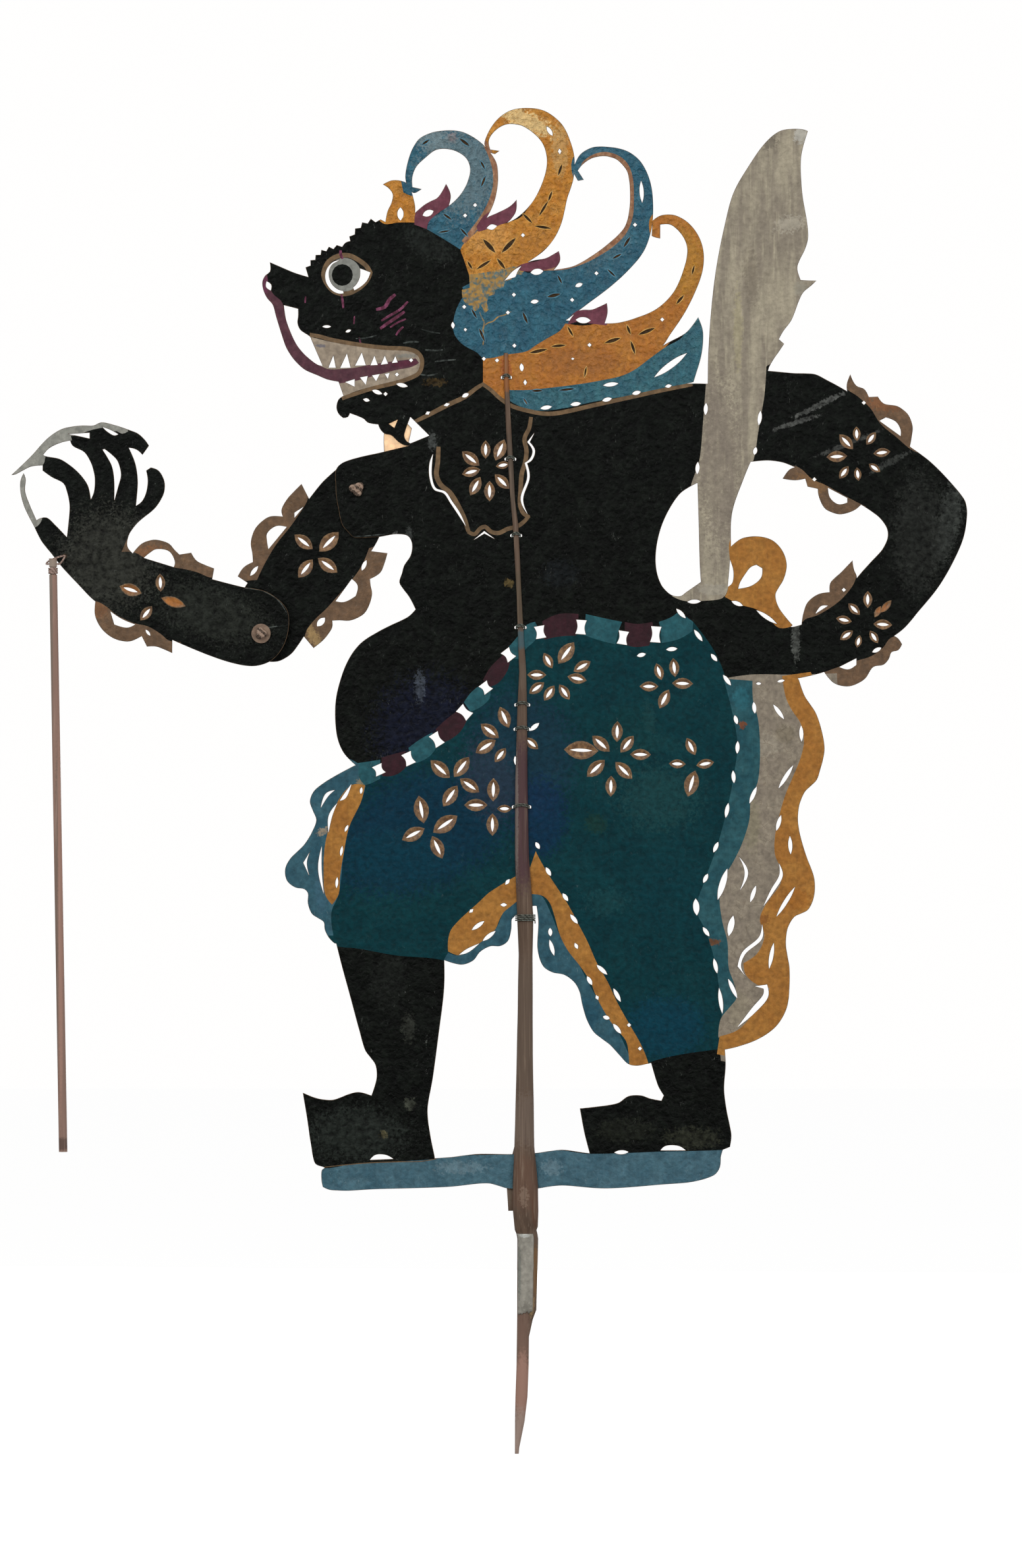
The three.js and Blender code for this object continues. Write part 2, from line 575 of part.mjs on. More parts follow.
const REAR_ARM_PETALS = [
  [1299.6, 647.4, 1300.6, 669.8], [1328.9, 656, 1315, 675], [1351.2, 685.3, 1325.4, 688.7],
  [1335.7, 716.3, 1318.5, 704.2], [1303, 730, 1300.3, 709.4], [1273.8, 726.6, 1287.5, 707.7],
  [1254, 693.9, 1285.8, 692.2], [1273.8, 659.5, 1294.4, 681.8], [1316.8, 897, 1316.8, 922.9],
  [1354, 948.7, 1325.4, 947], [1332.3, 976.3, 1320.2, 957.3], [1300.6, 983.2, 1304.8, 964.2],
  [1274.8, 971, 1294.4, 957.3], [1268.6, 938.4, 1292.7, 943.5], [1287.5, 916, 1304.8, 933.2],
];

const REAR_ARM_CUTS = [
  ...ARMBAND_HOLES, ...dots(REAR_ARM_DOTS), ...slits(REAR_ARM_SLITS), ...petals(REAR_ARM_PETALS),
];

// Belt, trousers, hip cloths and scarves down to the hems

const GARMENT = [
  sharp(538.6, 1161.7), [516.9, 1173], [491, 1188.5], [476, 1201.2], [470.3, 1216.5],
  [474.8, 1230.6], [480, 1244.6], [473.6, 1262.4], [460.8, 1282.9], [440.4, 1303.3], [432.8, 1318.6],
  [435.3, 1336.4], [448, 1347], [462, 1349.7], [467.2, 1355.6], [467.2, 1370.9], [473.6, 1387.4],
  [491.4, 1399.7], [492.7, 1410.4], [499, 1423.2], sharp(508, 1432), sharp(548, 1437), [583, 1446],
  [624, 1447], [657, 1450], sharp(674.6, 1457.6), [690.4, 1462.7], [703.2, 1464], [718.5, 1457.6],
  [728.7, 1444.8], [744, 1436.4], [759.3, 1435.9], [770.8, 1428.3], [775.9, 1410.4], [777, 1395],
  sharp(783.5, 1388.7), [796, 1380], sharp(809.2, 1375.2), sharp(814.3, 1375.2), [816.9, 1398.2],
  [815.6, 1439], [819.4, 1456.8], [825.8, 1468.3], [838.6, 1476], [856.4, 1479.8], [871.7, 1491.3],
  [879.4, 1505.3], [883.2, 1523.2], [890.9, 1548.7], [901, 1566.5], [925.3, 1585.7], [940.6, 1602.2],
  [953.4, 1615], [966, 1617.6], sharp(981.4, 1615), [1047, 1600], sharp(1095, 1594.3), [1114.9, 1590],
  [1150.5, 1577.3], [1178.2, 1557.5], [1194, 1529.9], [1197.9, 1502.2], [1197.9, 1466.6], [1192.8, 1435],
  [1196, 1407.3], [1205.8, 1391.5], [1225.6, 1381.6], [1235.5, 1359.8], [1235.5, 1332], [1225.6, 1304.5],
  [1215.7, 1272.8], [1211, 1245.2], [1213.8, 1219.5], [1221.7, 1201.7], [1239.4, 1183.9], [1245.4, 1166],
  [1251.3, 1138.4], [1247.4, 1110.7], [1237.5, 1081], [1221.7, 1057.3], sharp(1211.8, 1030.8),
  sharp(1200, 1020), sharp(1110, 1020), sharp(1060, 940), sharp(1020, 925), [950, 945], [880, 932],
  [820, 940], sharp(770, 975), sharp(700, 1065), sharp(640, 1125), sharp(580, 1150),
];

const HIP_DASHES = [
  [1026.3, 924, 1040.6, 938.3], [1053.4, 955.8, 1066, 973.3], [1078.9, 992.5, 1088.4, 1003.6],
  [1097.4, 1024.4, 1109.2, 1040.3], [1114.9, 1085.6, 1118.8, 1099.3], [1119.7, 1124.8, 1118.7, 1144],
  [1112.4, 1169.5, 1114, 1188.6], [1105.4, 1218.9, 1101.2, 1241.2], [1090, 1277.9, 1082.7, 1293.8],
  [1074.2, 1326.2, 1067.4, 1340], [1066.7, 1407.3, 1076.5, 1421.1], [1083.3, 1454.7, 1088.4, 1477.3],
  [1091.2, 1499.4, 1096.3, 1538.6],
];

const SCARF_SLITS = [
  [1143.8, 1065.2, 1145.7, 1083], [1148.5, 1193.8, 1137.4, 1219.5], [1173.4, 1069.2, 1190, 1091.7],
  [1203.9, 1161.3, 1181.3, 1196.9], [1147.3, 1344, 1138.6, 1369.7], [1215.7, 1100.8, 1216.5, 1125.7],
  [1185.3, 1237.2, 1178.2, 1261], [1198.7, 1268.9, 1199.9, 1296.6], [1206.6, 1346, 1178.2, 1391.5],
  [1174.2, 1431, 1167.1, 1470.5], [1105, 1485.6, 1118.9, 1515.2],
];

const SCARF_WIDE_SLITS = [
  [1103.8, 1318.3, 1089.2, 1365.8], [1112.9, 1389.5, 1105.8, 1421.1], [1055.6, 1363.8, 1057.6, 1389.5],
];

const SCARF_CHANNELS = [
  [[1121.6, 1300.5], [1132.7, 1324.2], [1122.8, 1351.9]],
  [[1182.1, 1310.4], [1185.3, 1328.2], [1172.2, 1351.9], [1158.4, 1375.6]],
  [[1156.4, 1402.5], [1154.4, 1423.1], [1128.7, 1446.8], [1122, 1466.6], [1131.9, 1482.4]],
];

const SCARF_HOOK = [
  [[1145.7, 1497], [1161.5, 1497.5], [1162, 1511], [1144, 1533], [1118.9, 1559.5]],
];

const FRONT_STRIP_CHANNELS = [
  [[533.5, 1189.7], [522, 1210.2], [515.7, 1215.3]],
  [[511.8, 1219], [501.5, 1238.5], [498.6, 1263.7]],
  [[488.4, 1284], [485.5, 1318.6], [491.4, 1356.8]],
  [[508, 1199.2], [496.5, 1206.3], [486.8, 1226.2]],
  [[469.7, 1294.3], [463, 1309.5], [469.2, 1328.8]],
];

const FRONT_STRIP_SLITS = [
  [548.8, 1194.8, 547.6, 1205], [528.4, 1252.2, 523.3, 1262.4], [519.5, 1284, 517, 1299.4],
  [511.8, 1331.3, 510.6, 1348],
];

const LOBE_SLITS = [
  [773.3, 1334.4, 767, 1342.8], [718.5, 1379.8, 712, 1385.4], [735, 1398, 716, 1411.7],
  [752, 1413, 732.5, 1428.3], [759.3, 1373.4, 769.5, 1373.4],
];

const LOBE_CHANNELS = [[[727.4, 1432], [708.3, 1443.6], [696.8, 1449.2]]];

const REAR_STRIP_SLITS = [
  [813, 1278.3, 818.7, 1288.5], [828.4, 1316.5, 836, 1329.3], [853.9, 1356, 862, 1367.6],
  [865.4, 1388, 876.8, 1402], [905.4, 1464.5, 921.5, 1479.3], [930.9, 1500.2, 941.9, 1520.6],
  [872.2, 1431.3, 876.8, 1440.3], [890.9, 1481.8, 898.5, 1495], [904.4, 1510.4, 908, 1517.6],
  [915, 1543, 925.3, 1546], [930.4, 1553.8, 942.7, 1569], [834.7, 1408.4, 835.5, 1421],
  [834, 1426.2, 841, 1450.5],
];

const REAR_STRIP_DOTS = [[954.6, 1555.8], [971.2, 1591.5]];

const TROUSER_PETALS = [
  [825.3, 991, 838.1, 1014.6], [871.2, 974.8, 847.3, 1007.5], [896.3, 1003.9, 870.3, 1019.2],
  [890.2, 1033, 861.1, 1026.8], [864.2, 1062, 848.8, 1039], [825.9, 1063.6, 841.2, 1040.6],
  [803, 1052.8, 825.9, 1036], [800, 1024.4, 829, 1024.4], [758.5, 1072.7, 772.3, 1104.9],
  [729.5, 1098.8, 757, 1120.2], [721.8, 1143, 752.4, 1123.2], [750.9, 1156.9, 767.7, 1135.5],
  [799.9, 1112.5, 822.2, 1094.2], [796.8, 1120, 816.7, 1137], [653.4, 1154, 682.8, 1180.8],
  [712, 1149, 689, 1179.5], [698, 1182, 727.4, 1202.5], [694.2, 1192.3, 672.6, 1224.2],
  [749, 1180.8, 748.3, 1216.5], [704.4, 1222, 740, 1222], [754.2, 1227.5, 777, 1227.5],
  [747.3, 1234.4, 747.3, 1268.8], [635.6, 1207.6, 643.2, 1249.7], [694.2, 1238.2, 657.2, 1263.7],
  [610, 1275.2, 644.5, 1257.3], [656, 1268.8, 671.3, 1303.3], [937, 1094.5, 936.3, 1126.4],
  [898.7, 1116.8, 925.2, 1140.8], [855.7, 1137.6, 908.3, 1139.8], [890.7, 1179, 917.8, 1153.5],
  [926.8, 1209.3, 927.4, 1177.4], [959.3, 1182.2, 933.8, 1156.7], [988, 1145.5, 956, 1144.9],
  [961.5, 1116.8, 941.8, 1142.3], [996, 1006.8, 1004, 1032.3], [1021.5, 998.9, 1024.7, 1027.6],
  [970.5, 1041.9, 999.2, 1041.9], [1019.9, 1037, 1051.8, 1037.8], [1015, 1046.7, 1000.8, 1075.4],
  [1042.2, 1120, 1055, 1146.2], [1015, 1159, 1040.6, 1159.9], [1056.6, 1162, 1083.7, 1156.7],
  [1055, 1169.5, 1043.8, 1209.3],
];

const TROUSER_SLITS = [
  [781.5, 1147.7, 784.6, 1163], [966.6, 995.7, 980, 992.5], [1011, 986, 1027.9, 984.5],
];

const GARMENT_CUTS = [
  ...slits(HIP_DASHES), ...slits(SCARF_SLITS), ...slits(SCARF_WIDE_SLITS, WIDE_SLIT),
  ...SCARF_CHANNELS.map((path) => channel(path, SLIT)), ...SCARF_HOOK.map((path) => channel(path, WIDE_SLIT)),
  ...FRONT_STRIP_CHANNELS.map((path) => channel(path, SLIT)), ...slits(FRONT_STRIP_SLITS, FINE_SLIT),
  ...slits(LOBE_SLITS), ...LOBE_CHANNELS.map((path) => channel(path, SLIT)), ...slits(REAR_STRIP_SLITS),
  ...dots(REAR_STRIP_DOTS), ...petals(TROUSER_PETALS), ...slits(TROUSER_SLITS),
];

// Legs, feet and the bar under them

const FRONT_LEG = [
  sharp(507.2, 1420), [518, 1463.4], [531, 1511], [546.2, 1567.4], [554.9, 1595.6], [569.2, 1615],
  [571.4, 1636.8], sharp(563.6, 1662.8), [544, 1657.6], [528.9, 1660.7], [505, 1669.3], [479, 1666.3],
  sharp(459.5, 1658.5), [466, 1697.5], [472.5, 1740.9], [479, 1766.9], sharp(492, 1772),
  sharp(500, 1785), sharp(655, 1780), sharp(659.9, 1757.4), [652.5, 1719], [649, 1684.5], [656.8, 1636.8],
  [665.5, 1571.8], [674.2, 1498], sharp(674.2, 1445),
];

const REAR_LEG = [
  sharp(984.2, 1600), [999.4, 1649.8], [1007.2, 1662.8], [1003.7, 1670.6], [986.4, 1667.2],
  [973.4, 1662.8], [953.9, 1663.7], [938.7, 1673.7], [908.3, 1679.3], sharp(880, 1682.4),
  [886.7, 1719.2], sharp(894.5, 1749.6), sharp(900, 1775), sharp(1090, 1770), sharp(1097, 1745.2),
  [1107.8, 1740.9], [1110, 1723.5], [1103.5, 1688.9], [1099, 1654.2], [1101.3, 1615], sharp(1099, 1580),
];

const BASE_BAR = [
  sharp(492, 1773), [570, 1765], [659.9, 1758], [687, 1756], [721.9, 1751.7], [778, 1751.7],
  [817, 1749.6], [852, 1745.2], [895, 1750.4], [960, 1752], [1025, 1750], sharp(1093.9, 1745.2),
  [1092.6, 1771.3], [1086, 1782], [1055.8, 1792.9], [1003.7, 1798], [917, 1803.8], [852, 1799.4],
  [830.3, 1801.6], [817, 1803.8], [769.6, 1803.8], [743.6, 1796.4], [678.5, 1801.6], [570, 1805],
  [513.7, 1807], [489.9, 1801.6], sharp(488.6, 1775.6),
];

const HEEL_GAPS = [
  [sharp(561.4, 1760.4), [570, 1753], [585.3, 1753], sharp(597, 1759)],
  [sharp(1002.4, 1746), [1010, 1739.5], [1030, 1739.5], sharp(1040.6, 1746)],
];

const FOOT_SLITS = [[932.2, 1749.3, 953.9, 1748.5]];
const FOOT_CUTS = [...HEEL_GAPS, ...slits(FOOT_SLITS)];

// Thin raw-hide patch behind the gap between beard and shoulder

const CHIN_PATCH = [
  sharp(583, 655), sharp(583, 690), sharp(618, 682), sharp(625, 650), sharp(608, 632), sharp(588, 636),
];

// Movable upper arm, from its round top over the shoulder knot down to the elbow

const UPPER_ARM = [
  sharp(510, 712.7), [490.3, 730.5], [466.6, 760], [435, 801.7], [403.3, 849], [371.7, 890.6],
  [360, 920], [362, 955], [375, 985], [400, 1003], [421, 1004], [442.9, 991.5], [462.6, 963.8],
  [486.4, 936], [525.9, 892.6], [553.6, 853], sharp(575.3, 815.5), [585, 780], [588, 745], [580, 720],
  [560, 702], [530, 702],
];

const UPPER_ARM_BANDS = [
  [
    sharp(469, 757), sharp(457.5, 734.4), [435, 758.2], [427, 774], [429, 783.9], [409.3, 783.9],
    [387.5, 801.7], [380.4, 825.4], [383.6, 853], [369.7, 861], sharp(360.6, 874.8), sharp(376, 885),
    sharp(420, 850),
  ],
  [
    sharp(560, 836), sharp(588, 839.5), [577.3, 868.9], [561.5, 878.8], [564.7, 900.5], [553.6, 930.2],
    [529.9, 942], [504.2, 942], [504.2, 951.9], [490.3, 971.7], sharp(475.7, 983.6), sharp(461, 966),
    sharp(500, 905),
  ],
];

const UPPER_ARM_HOLES = [
  [sharp(435, 799.7), [419, 798.5], [405.3, 809.6], sharp(407.3, 833.3)],
  [sharp(460.7, 769), sharp(446.8, 778), sharp(446.8, 785.8)],
  [sharp(533.8, 878.8), [542.5, 888.7], [539.7, 904.5], [522, 913.6], sharp(509.3, 912.4)],
];

const UPPER_ARM_SLITS = [[391.5, 859, 379.6, 874], [556, 850, 549, 866]];
const UPPER_ARM_WIDE_SLITS = [[493, 937.5, 481, 950.5]];

const UPPER_ARM_PETALS = [
  [446.8, 811.5, 474.5, 833.3], [514, 807.6, 484.4, 837.2], [452.7, 876.8, 474.5, 849],
  [512, 868.9, 482.4, 847],
];

// Movable forearm with its armband, hand and long nails

const FOREARM = [
  [193.8, 829.3], [205.6, 845], [233.3, 857], [276.8, 866.9], [320.3, 878.8], [371.7, 891.8],
  [399.4, 896.6], [423, 910.4], [436.9, 928.2], [438, 955.9], [429, 983.6], [411.2, 1003.3],
  [385.5, 1011.2], [355.9, 1007.3], [324.2, 997.4], [284.7, 981.6], [245, 963.8], [213.5, 948],
  [177.9, 932], [146.3, 914.3], [118.6, 886.7], [92.9, 859], [79, 841.2], [63.3, 821.4], [53.4, 801.7],
  sharp(51.4, 797.7), [37.6, 770], [31.6, 746.3], [31.6, 730.5], sharp(36.4, 718.6), [39.5, 726.5],
  [38.8, 746.3], [45.5, 766], sharp(56, 790), [60, 787.5], [71.2, 785.8], [85, 797.7], sharp(102, 815.5),
  [104.8, 789.8], [106, 766], [102, 746.3], [96.9, 734.4], [79, 724.6], sharp(65.2, 714.7),
  [65.2, 706.8], [47.4, 708.7], [23.7, 720.6], sharp(17.8, 721.5), [35.6, 704.8], [51.4, 689],
  [71.2, 667.2], [94.9, 651.4], [126.5, 646.3], [142.3, 646.3], [154.2, 641.5], [174, 645.5],
  [197.7, 653.4], [210, 658.5], [221.4, 669.2], sharp(226.6, 677), sharp(216.7, 690.9), [207.6, 683],
  sharp(196, 680), [205.6, 702.8], [209.6, 730.5], sharp(206.8, 768), [215, 762], sharp(221.4, 750.3),
  [224.6, 730.5], [222.2, 714.7], [229.3, 709.9], [241.2, 714.7], [249.9, 730.5], [249.9, 746.3],
  [237.2, 770], [209.6, 793.8], [195.7, 813.5],
];

const FINGER_GAPS = [
  [
    sharp(91, 673), [75, 681], sharp(66, 691), sharp(70.4, 692.9), [90.9, 696.9], [118.6, 716.6],
    [134.4, 738.4], sharp(138.4, 758.2), [143.1, 746.3], [144.3, 726.5], [138.4, 702.8], [128.5, 687],
    [110.7, 677], sharp(107, 669),
  ],
  [
    sharp(156.2, 683), [170, 706.8], [174, 730.5], sharp(174, 760), [179.9, 738.4], [183.9, 722.6],
    [177.9, 698.9], sharp(159, 682),
  ],
];

const NAIL_GAPS = [
  [sharp(104, 659.3), sharp(136.4, 657.3), sharp(136.4, 666), sharp(118.6, 662)],
  [sharp(156.2, 648.5), sharp(168, 653), sharp(179.9, 659.5), sharp(174, 661.3), sharp(162.1, 654.5)],
];

const FOREARM_BANDS = [
  [
    sharp(198, 845), [215.5, 825.4], [237.2, 819.5], [257, 825.4], [272.8, 842], [290.6, 839.2],
    [298.5, 851], sharp(325.4, 863), sharp(322, 882), sharp(260, 880), sharp(215, 862),
  ],
  [
    sharp(146.3, 905), [144.3, 932], [154.2, 953.9], [174, 969.7], [197.7, 973.7], [215.5, 965.8],
    [223.4, 981.6], [237.2, 981.6], sharp(261.8, 991.5), sharp(262, 965), sharp(200, 925),
  ],
];

const FOREARM_HOLES = [
  [sharp(218.7, 847), [237.2, 834], [257, 837.2], [265.7, 853], sharp(264.1, 861)],
  [sharp(168, 928.2), sharp(185.8, 940), sharp(205.6, 948), [193.8, 952.7], [174, 948]],
];

const FOREARM_SLITS = [[221.4, 956, 228.6, 965]];

const FOREARM_PETALS = [
  [181.9, 890, 215.5, 901], [243.2, 870.9, 244.4, 898.5], [213.5, 942, 231.3, 920.3],
];

// Split rod in front view: height, left edge and right edge of each station, in pixels

const ROD_SHAFT = [
  [536, 764.6, 771], [576, 764.8, 772.3], [650, 767.8, 776], [697, 770.4, 778.7], [760, 774.7, 781.8],
  [800, 778.3, 787], [905, 784, 791.7], [950, 785.3, 794.2], [1020, 787.8, 798.7], [1075, 785, 800],
  [1190, 781.5, 800.8], [1300, 781.2, 802.9], [1393, 784.5, 810], [1450, 786.8, 808.5],
  [1600, 784, 809], [1740, 780.3, 811.4],
];

const ROD_HANDLE = [
  [1800, 777.8, 817], [1838, 778, 817.5], [1866, 781, 816], [1880, 784.7, 817], [1988, 784.5, 814.6],
  [2003, 784.4, 808.9], [2029, 784.2, 803], [2072, 783.5, 802.6], [2120, 782, 800.8],
  [2157, 781.3, 796.3], [2197, 781.25, 788.2], [2206.5, 781.25, 787.35],
];

const ROD_BACK_END = [[1790, 768, 806], [1838, 771, 804]];
const ROD_SPLIT_END = 1844;
const ROD_WHOLE_START = 1866;
const ROD_SPLIT_RINGS = [
  [ROD_SPLIT_END, 778.4, 817.4], [(ROD_SPLIT_END + ROD_WHOLE_START) / 2, 779.6, 816.7],
];
const TIE_HEIGHTS = [573, 697, 813, 952.5, 1070, 1107, 1225, 1393];
const LABEL_HEIGHTS = [1872, 1880, 1988, 1996];

const SHAFT_STATIONS = [...ROD_SHAFT, ...ROD_HANDLE];

// Middle and half width of the split rod at a height on the picture, in millimetres
function rodAt(pixelY) {
  const next = SHAFT_STATIONS.findIndex(([height]) => height >= pixelY);
  const below = SHAFT_STATIONS[Math.max(next, 1)];
  const above = SHAFT_STATIONS[Math.max(next, 1) - 1];
  const share = (pixelY - above[0]) / (below[0] - above[0]);
  const left = above[1] + (below[1] - above[1]) * share;
  const right = above[2] + (below[2] - above[2]) * share;
  return { left, right, middle: (left + right) / 2, half: (right - left) / 2 / PIXELS_PER_MM };
}

// Triangles of a convex end, all from one corner on the round front
function fanCap(count) {
  const hub = Math.round((count * 3) / 4);
  const corner = (step) => (hub + step) % count;
  return Array.from({ length: count - 2 }, (_, index) => [hub, corner(index + 1), corner(index + 2)]);
}

// Corners of a ring or arc, one for each equal step of the angle
function arcPoints(steps, count, at) {
  return Array.from({ length: count }, (_, index) => at((2 * Math.PI * index) / steps));
}

// Closed skin over rings of equal count, lowest ring first, each counterclockwise from above
function loft(rings, cap = fanCap(rings[0].length)) {
  const count = rings[0].length;
  const corners = rings.flat();
  const faces = [];
  for (let ring = 0; ring < rings.length - 1; ring += 1) {
    for (let index = 0; index < count; index += 1) {
      const next = (index + 1) % count;
      const low = ring * count;
      const high = low + count;
      faces.push(low + index, low + next, high + next, low + index, high + next, high + index);
    }
  }
  const top = (rings.length - 1) * count;
  for (const [a, b, c] of cap) {
    faces.push(c, b, a, top + a, top + b, top + c);
  }
  const geometry = new THREE.BufferGeometry().setFromPoints(corners);
  geometry.setIndex(faces);
  geometry.computeVertexNormals();
  return geometry;
}

// Front half with its flat back, which closes to a whole round handle and foot below the split
function frontRodRing([pixelY, left, right]) {
  const middle = place([(left + right) / 2, pixelY]);
  const half = (right - left) / 2 / PIXELS_PER_MM;
  const whole = THREE.MathUtils.smoothstep(pixelY, ROD_SPLIT_END, ROD_WHOLE_START);
  const face = -ROD_FACE * (1 - whole);
  return arcPoints(ROD_SIDES, ROD_SIDES, (angle) => {
    const reach = half * ROD_DEPTH_SHARE * Math.sin(angle);
    const y = face + (reach > 0 ? whole * reach : reach);
    return new THREE.Vector3(middle.x + half * Math.cos(angle), y, middle.y);
  });
}

function backRodRing([pixelY, left, right]) {
  const middle = place([(left + right) / 2, pixelY]);
  const half = (right - left) / 2 / PIXELS_PER_MM;
  return arcPoints(ROD_SIDES, ROD_SIDES / 2 + 1, (angle) => {
    const y = ROD_FACE + half * ROD_DEPTH_SHARE * Math.sin(angle);
    return new THREE.Vector3(middle.x + half * Math.cos(angle), y, middle.y);
  });
}

function frontRod() {
  const stations = [...SHAFT_STATIONS, ...ROD_SPLIT_RINGS].sort((a, b) => b[0] - a[0]);
  return loft(stations.map(frontRodRing));
}

function backRod() {
  const stations = [...ROD_SHAFT, ...ROD_BACK_END].sort((a, b) => b[0] - a[0]);
  return loft(stations.map(backRodRing));
}

// Closed loop of thread along a path of points
function threadLoop(points, steps) {
  const curve = new THREE.CatmullRomCurve3(points, true, 'centripetal');
  return mergedGeometry(new THREE.TubeGeometry(curve, steps, THREAD_RADIUS, THREAD_SIDES, true));
}

const TIE_REACH = LAYER_GAP + THREAD_RADIUS;

// Thread tied round both halves of the rod, through a pair of holes in the hide
function rodTie(pixelY) {
  const { middle, half } = rodAt(pixelY);
  const centre = place([middle, pixelY]);
  const points = [1, -1].flatMap((side) => Array.from({ length: TIE_CORNERS }, (_, index) => {
    const angle = (Math.PI * index) / (TIE_CORNERS - 1);
    const across = side * (half + TIE_REACH) * Math.cos(angle);
    const out = side * (ROD_FACE + (half * ROD_DEPTH_SHARE + TIE_REACH) * Math.sin(angle));
    const flat = side * ROD_FACE;
    const atEnd = index === 0 || index === TIE_CORNERS - 1;
    return new THREE.Vector3(centre.x + across, atEnd ? flat : out, centre.y);
  }));
  return threadLoop(points, TIE_STEPS);
}

const TIE_HOLES = TIE_HEIGHTS.flatMap((pixelY) => {
  const { middle, half } = rodAt(pixelY);
  const reach = (half + TIE_REACH) * PIXELS_PER_MM;
  const at = (side) => roundHole([middle + side, pixelY], THREAD_HOLE_RADIUS, THREAD_HOLE_SIDES);
  return [at(-reach), at(reach)];
});

// Paper strip round part of the handle, with nothing on it
function blankLabel() {
  const rings = [...LABEL_HEIGHTS].reverse().map((pixelY) => {
    const { middle, half } = rodAt(pixelY);
    const centre = place([middle, pixelY]);
    const arc = (extra) => Array.from({ length: LABEL_STEPS + 1 }, (_, index) => {
      const angle = -THREE.MathUtils.lerp(LABEL_START, LABEL_END, index / LABEL_STEPS);
      const across = (half + extra) * Math.cos(angle);
      const out = (half * ROD_DEPTH_SHARE + extra) * Math.sin(angle);
      return new THREE.Vector3(centre.x + across, out, centre.y);
    });
    return [...arc(LABEL_GAP), ...arc(LABEL_GAP + LABEL_THICKNESS).reverse()];
  });
  const section = rings[0].map(({ x, y }) => new THREE.Vector2(x, y));
  return loft(rings, THREE.ShapeUtils.triangulateShape(section, []));
}

// Knotted cords and the washer, turned about the pivots' axes, which run along Y

const HIDE_FRONT = -HIDE_THICKNESS / 2;
const HIDE_BACK = HIDE_THICKNESS / 2;
const UPPER_ARM_FRONT = HIDE_BACK + LAYER_GAP;
const UPPER_ARM_BACK = UPPER_ARM_FRONT + HIDE_THICKNESS;
const FOREARM_BACK = HIDE_FRONT - STOPPER_CLEARANCE - STOPPER_HEIGHT - LAYER_GAP;
const FOREARM_FRONT = FOREARM_BACK - HIDE_THICKNESS;
const WASHER_BACK = FOREARM_FRONT - LAYER_GAP;
const WASHER_FRONT = WASHER_BACK - WASHER_THICKNESS;
const BACK_KNOT_START = UPPER_ARM_BACK + LAYER_GAP;
const ELBOW_KNOT_FRONT = WASHER_FRONT - LAYER_GAP - ELBOW_KNOT_HEIGHT;
const ARM_ROD_Y = ELBOW_KNOT_FRONT - ARM_ROD_CLEARANCE - ARM_ROD_END_RADIUS;

// Rounded knot profile from its tip to its flat seat, as radius and height pairs
function knotProfile(radius, height, seat, outward) {
  return KNOT_PROFILE.map(([across, up]) => [radius * across, seat + outward * height * up]);
}

function turned(profile) {
  const points = profile.map(([radius, height]) => new THREE.Vector2(radius, height));
  return mergedGeometry(new THREE.LatheGeometry(points, KNOT_SIDES));
}

function shoulderCord() {
  const seat = HIDE_FRONT - LAYER_GAP;
  const front = knotProfile(SHOULDER_KNOT_RADIUS, SHOULDER_KNOT_HEIGHT, seat, -1);
  const back = knotProfile(BACK_KNOT_RADIUS, BACK_KNOT_HEIGHT, BACK_KNOT_START, 1).reverse();
  return turned([...front, [CORD_RADIUS, seat], [CORD_RADIUS, BACK_KNOT_START], ...back]);
}

function elbowCord() {
  const seat = WASHER_FRONT - LAYER_GAP;
  const turnsFront = FOREARM_BACK + LAYER_GAP;
  const turnsBack = UPPER_ARM_FRONT - LAYER_GAP;
  const front = knotProfile(ELBOW_KNOT_RADIUS, ELBOW_KNOT_HEIGHT, seat, -1);
  const back = knotProfile(BACK_KNOT_RADIUS, BACK_KNOT_HEIGHT, BACK_KNOT_START, 1).reverse();
  const turns = [
    [CORD_RADIUS, turnsFront], [ELBOW_TURNS_RADIUS, turnsFront], [ELBOW_TURNS_RADIUS, turnsBack],
    [CORD_RADIUS, turnsBack],
  ];
  return turned([...front, [CORD_RADIUS, seat], ...turns, [CORD_RADIUS, BACK_KNOT_START], ...back]);
}

function elbowWasher() {
  return turned([
    [CORD_HOLE_RADIUS, WASHER_FRONT], [WASHER_RADIUS, WASHER_FRONT], [WASHER_RADIUS, WASHER_BACK],
    [CORD_HOLE_RADIUS, WASHER_BACK], [CORD_HOLE_RADIUS, WASHER_FRONT],
  ]);
}

// Slim rod of the hand, bored through near its top for the thread, with a groove below the bore

const armRodTop = place(ARM_ROD_TOP_PX);
const armRodEnd = place(ARM_ROD_END_PX);
const bore = new THREE.Vector3(armRodTop.x, armRodTop.y - BORE_FROM_TOP, 0);
const wrist = place(WRIST_PX);
const GROOVE_LENGTH = LASHING_TURNS * LASHING_PITCH + 2 * LAYER_GAP;

function armRodRing(height, radius) {
  const share = (height - armRodEnd.y) / (armRodTop.y - armRodEnd.y);
  const middle = THREE.MathUtils.lerp(armRodEnd.x, armRodTop.x, share);
  return arcPoints(ARM_ROD_SIDES, ARM_ROD_SIDES, (angle) => {
    const y = ARM_ROD_Y + radius * Math.sin(angle);
    return new THREE.Vector3(middle + radius * Math.cos(angle), y, height);
  });
}

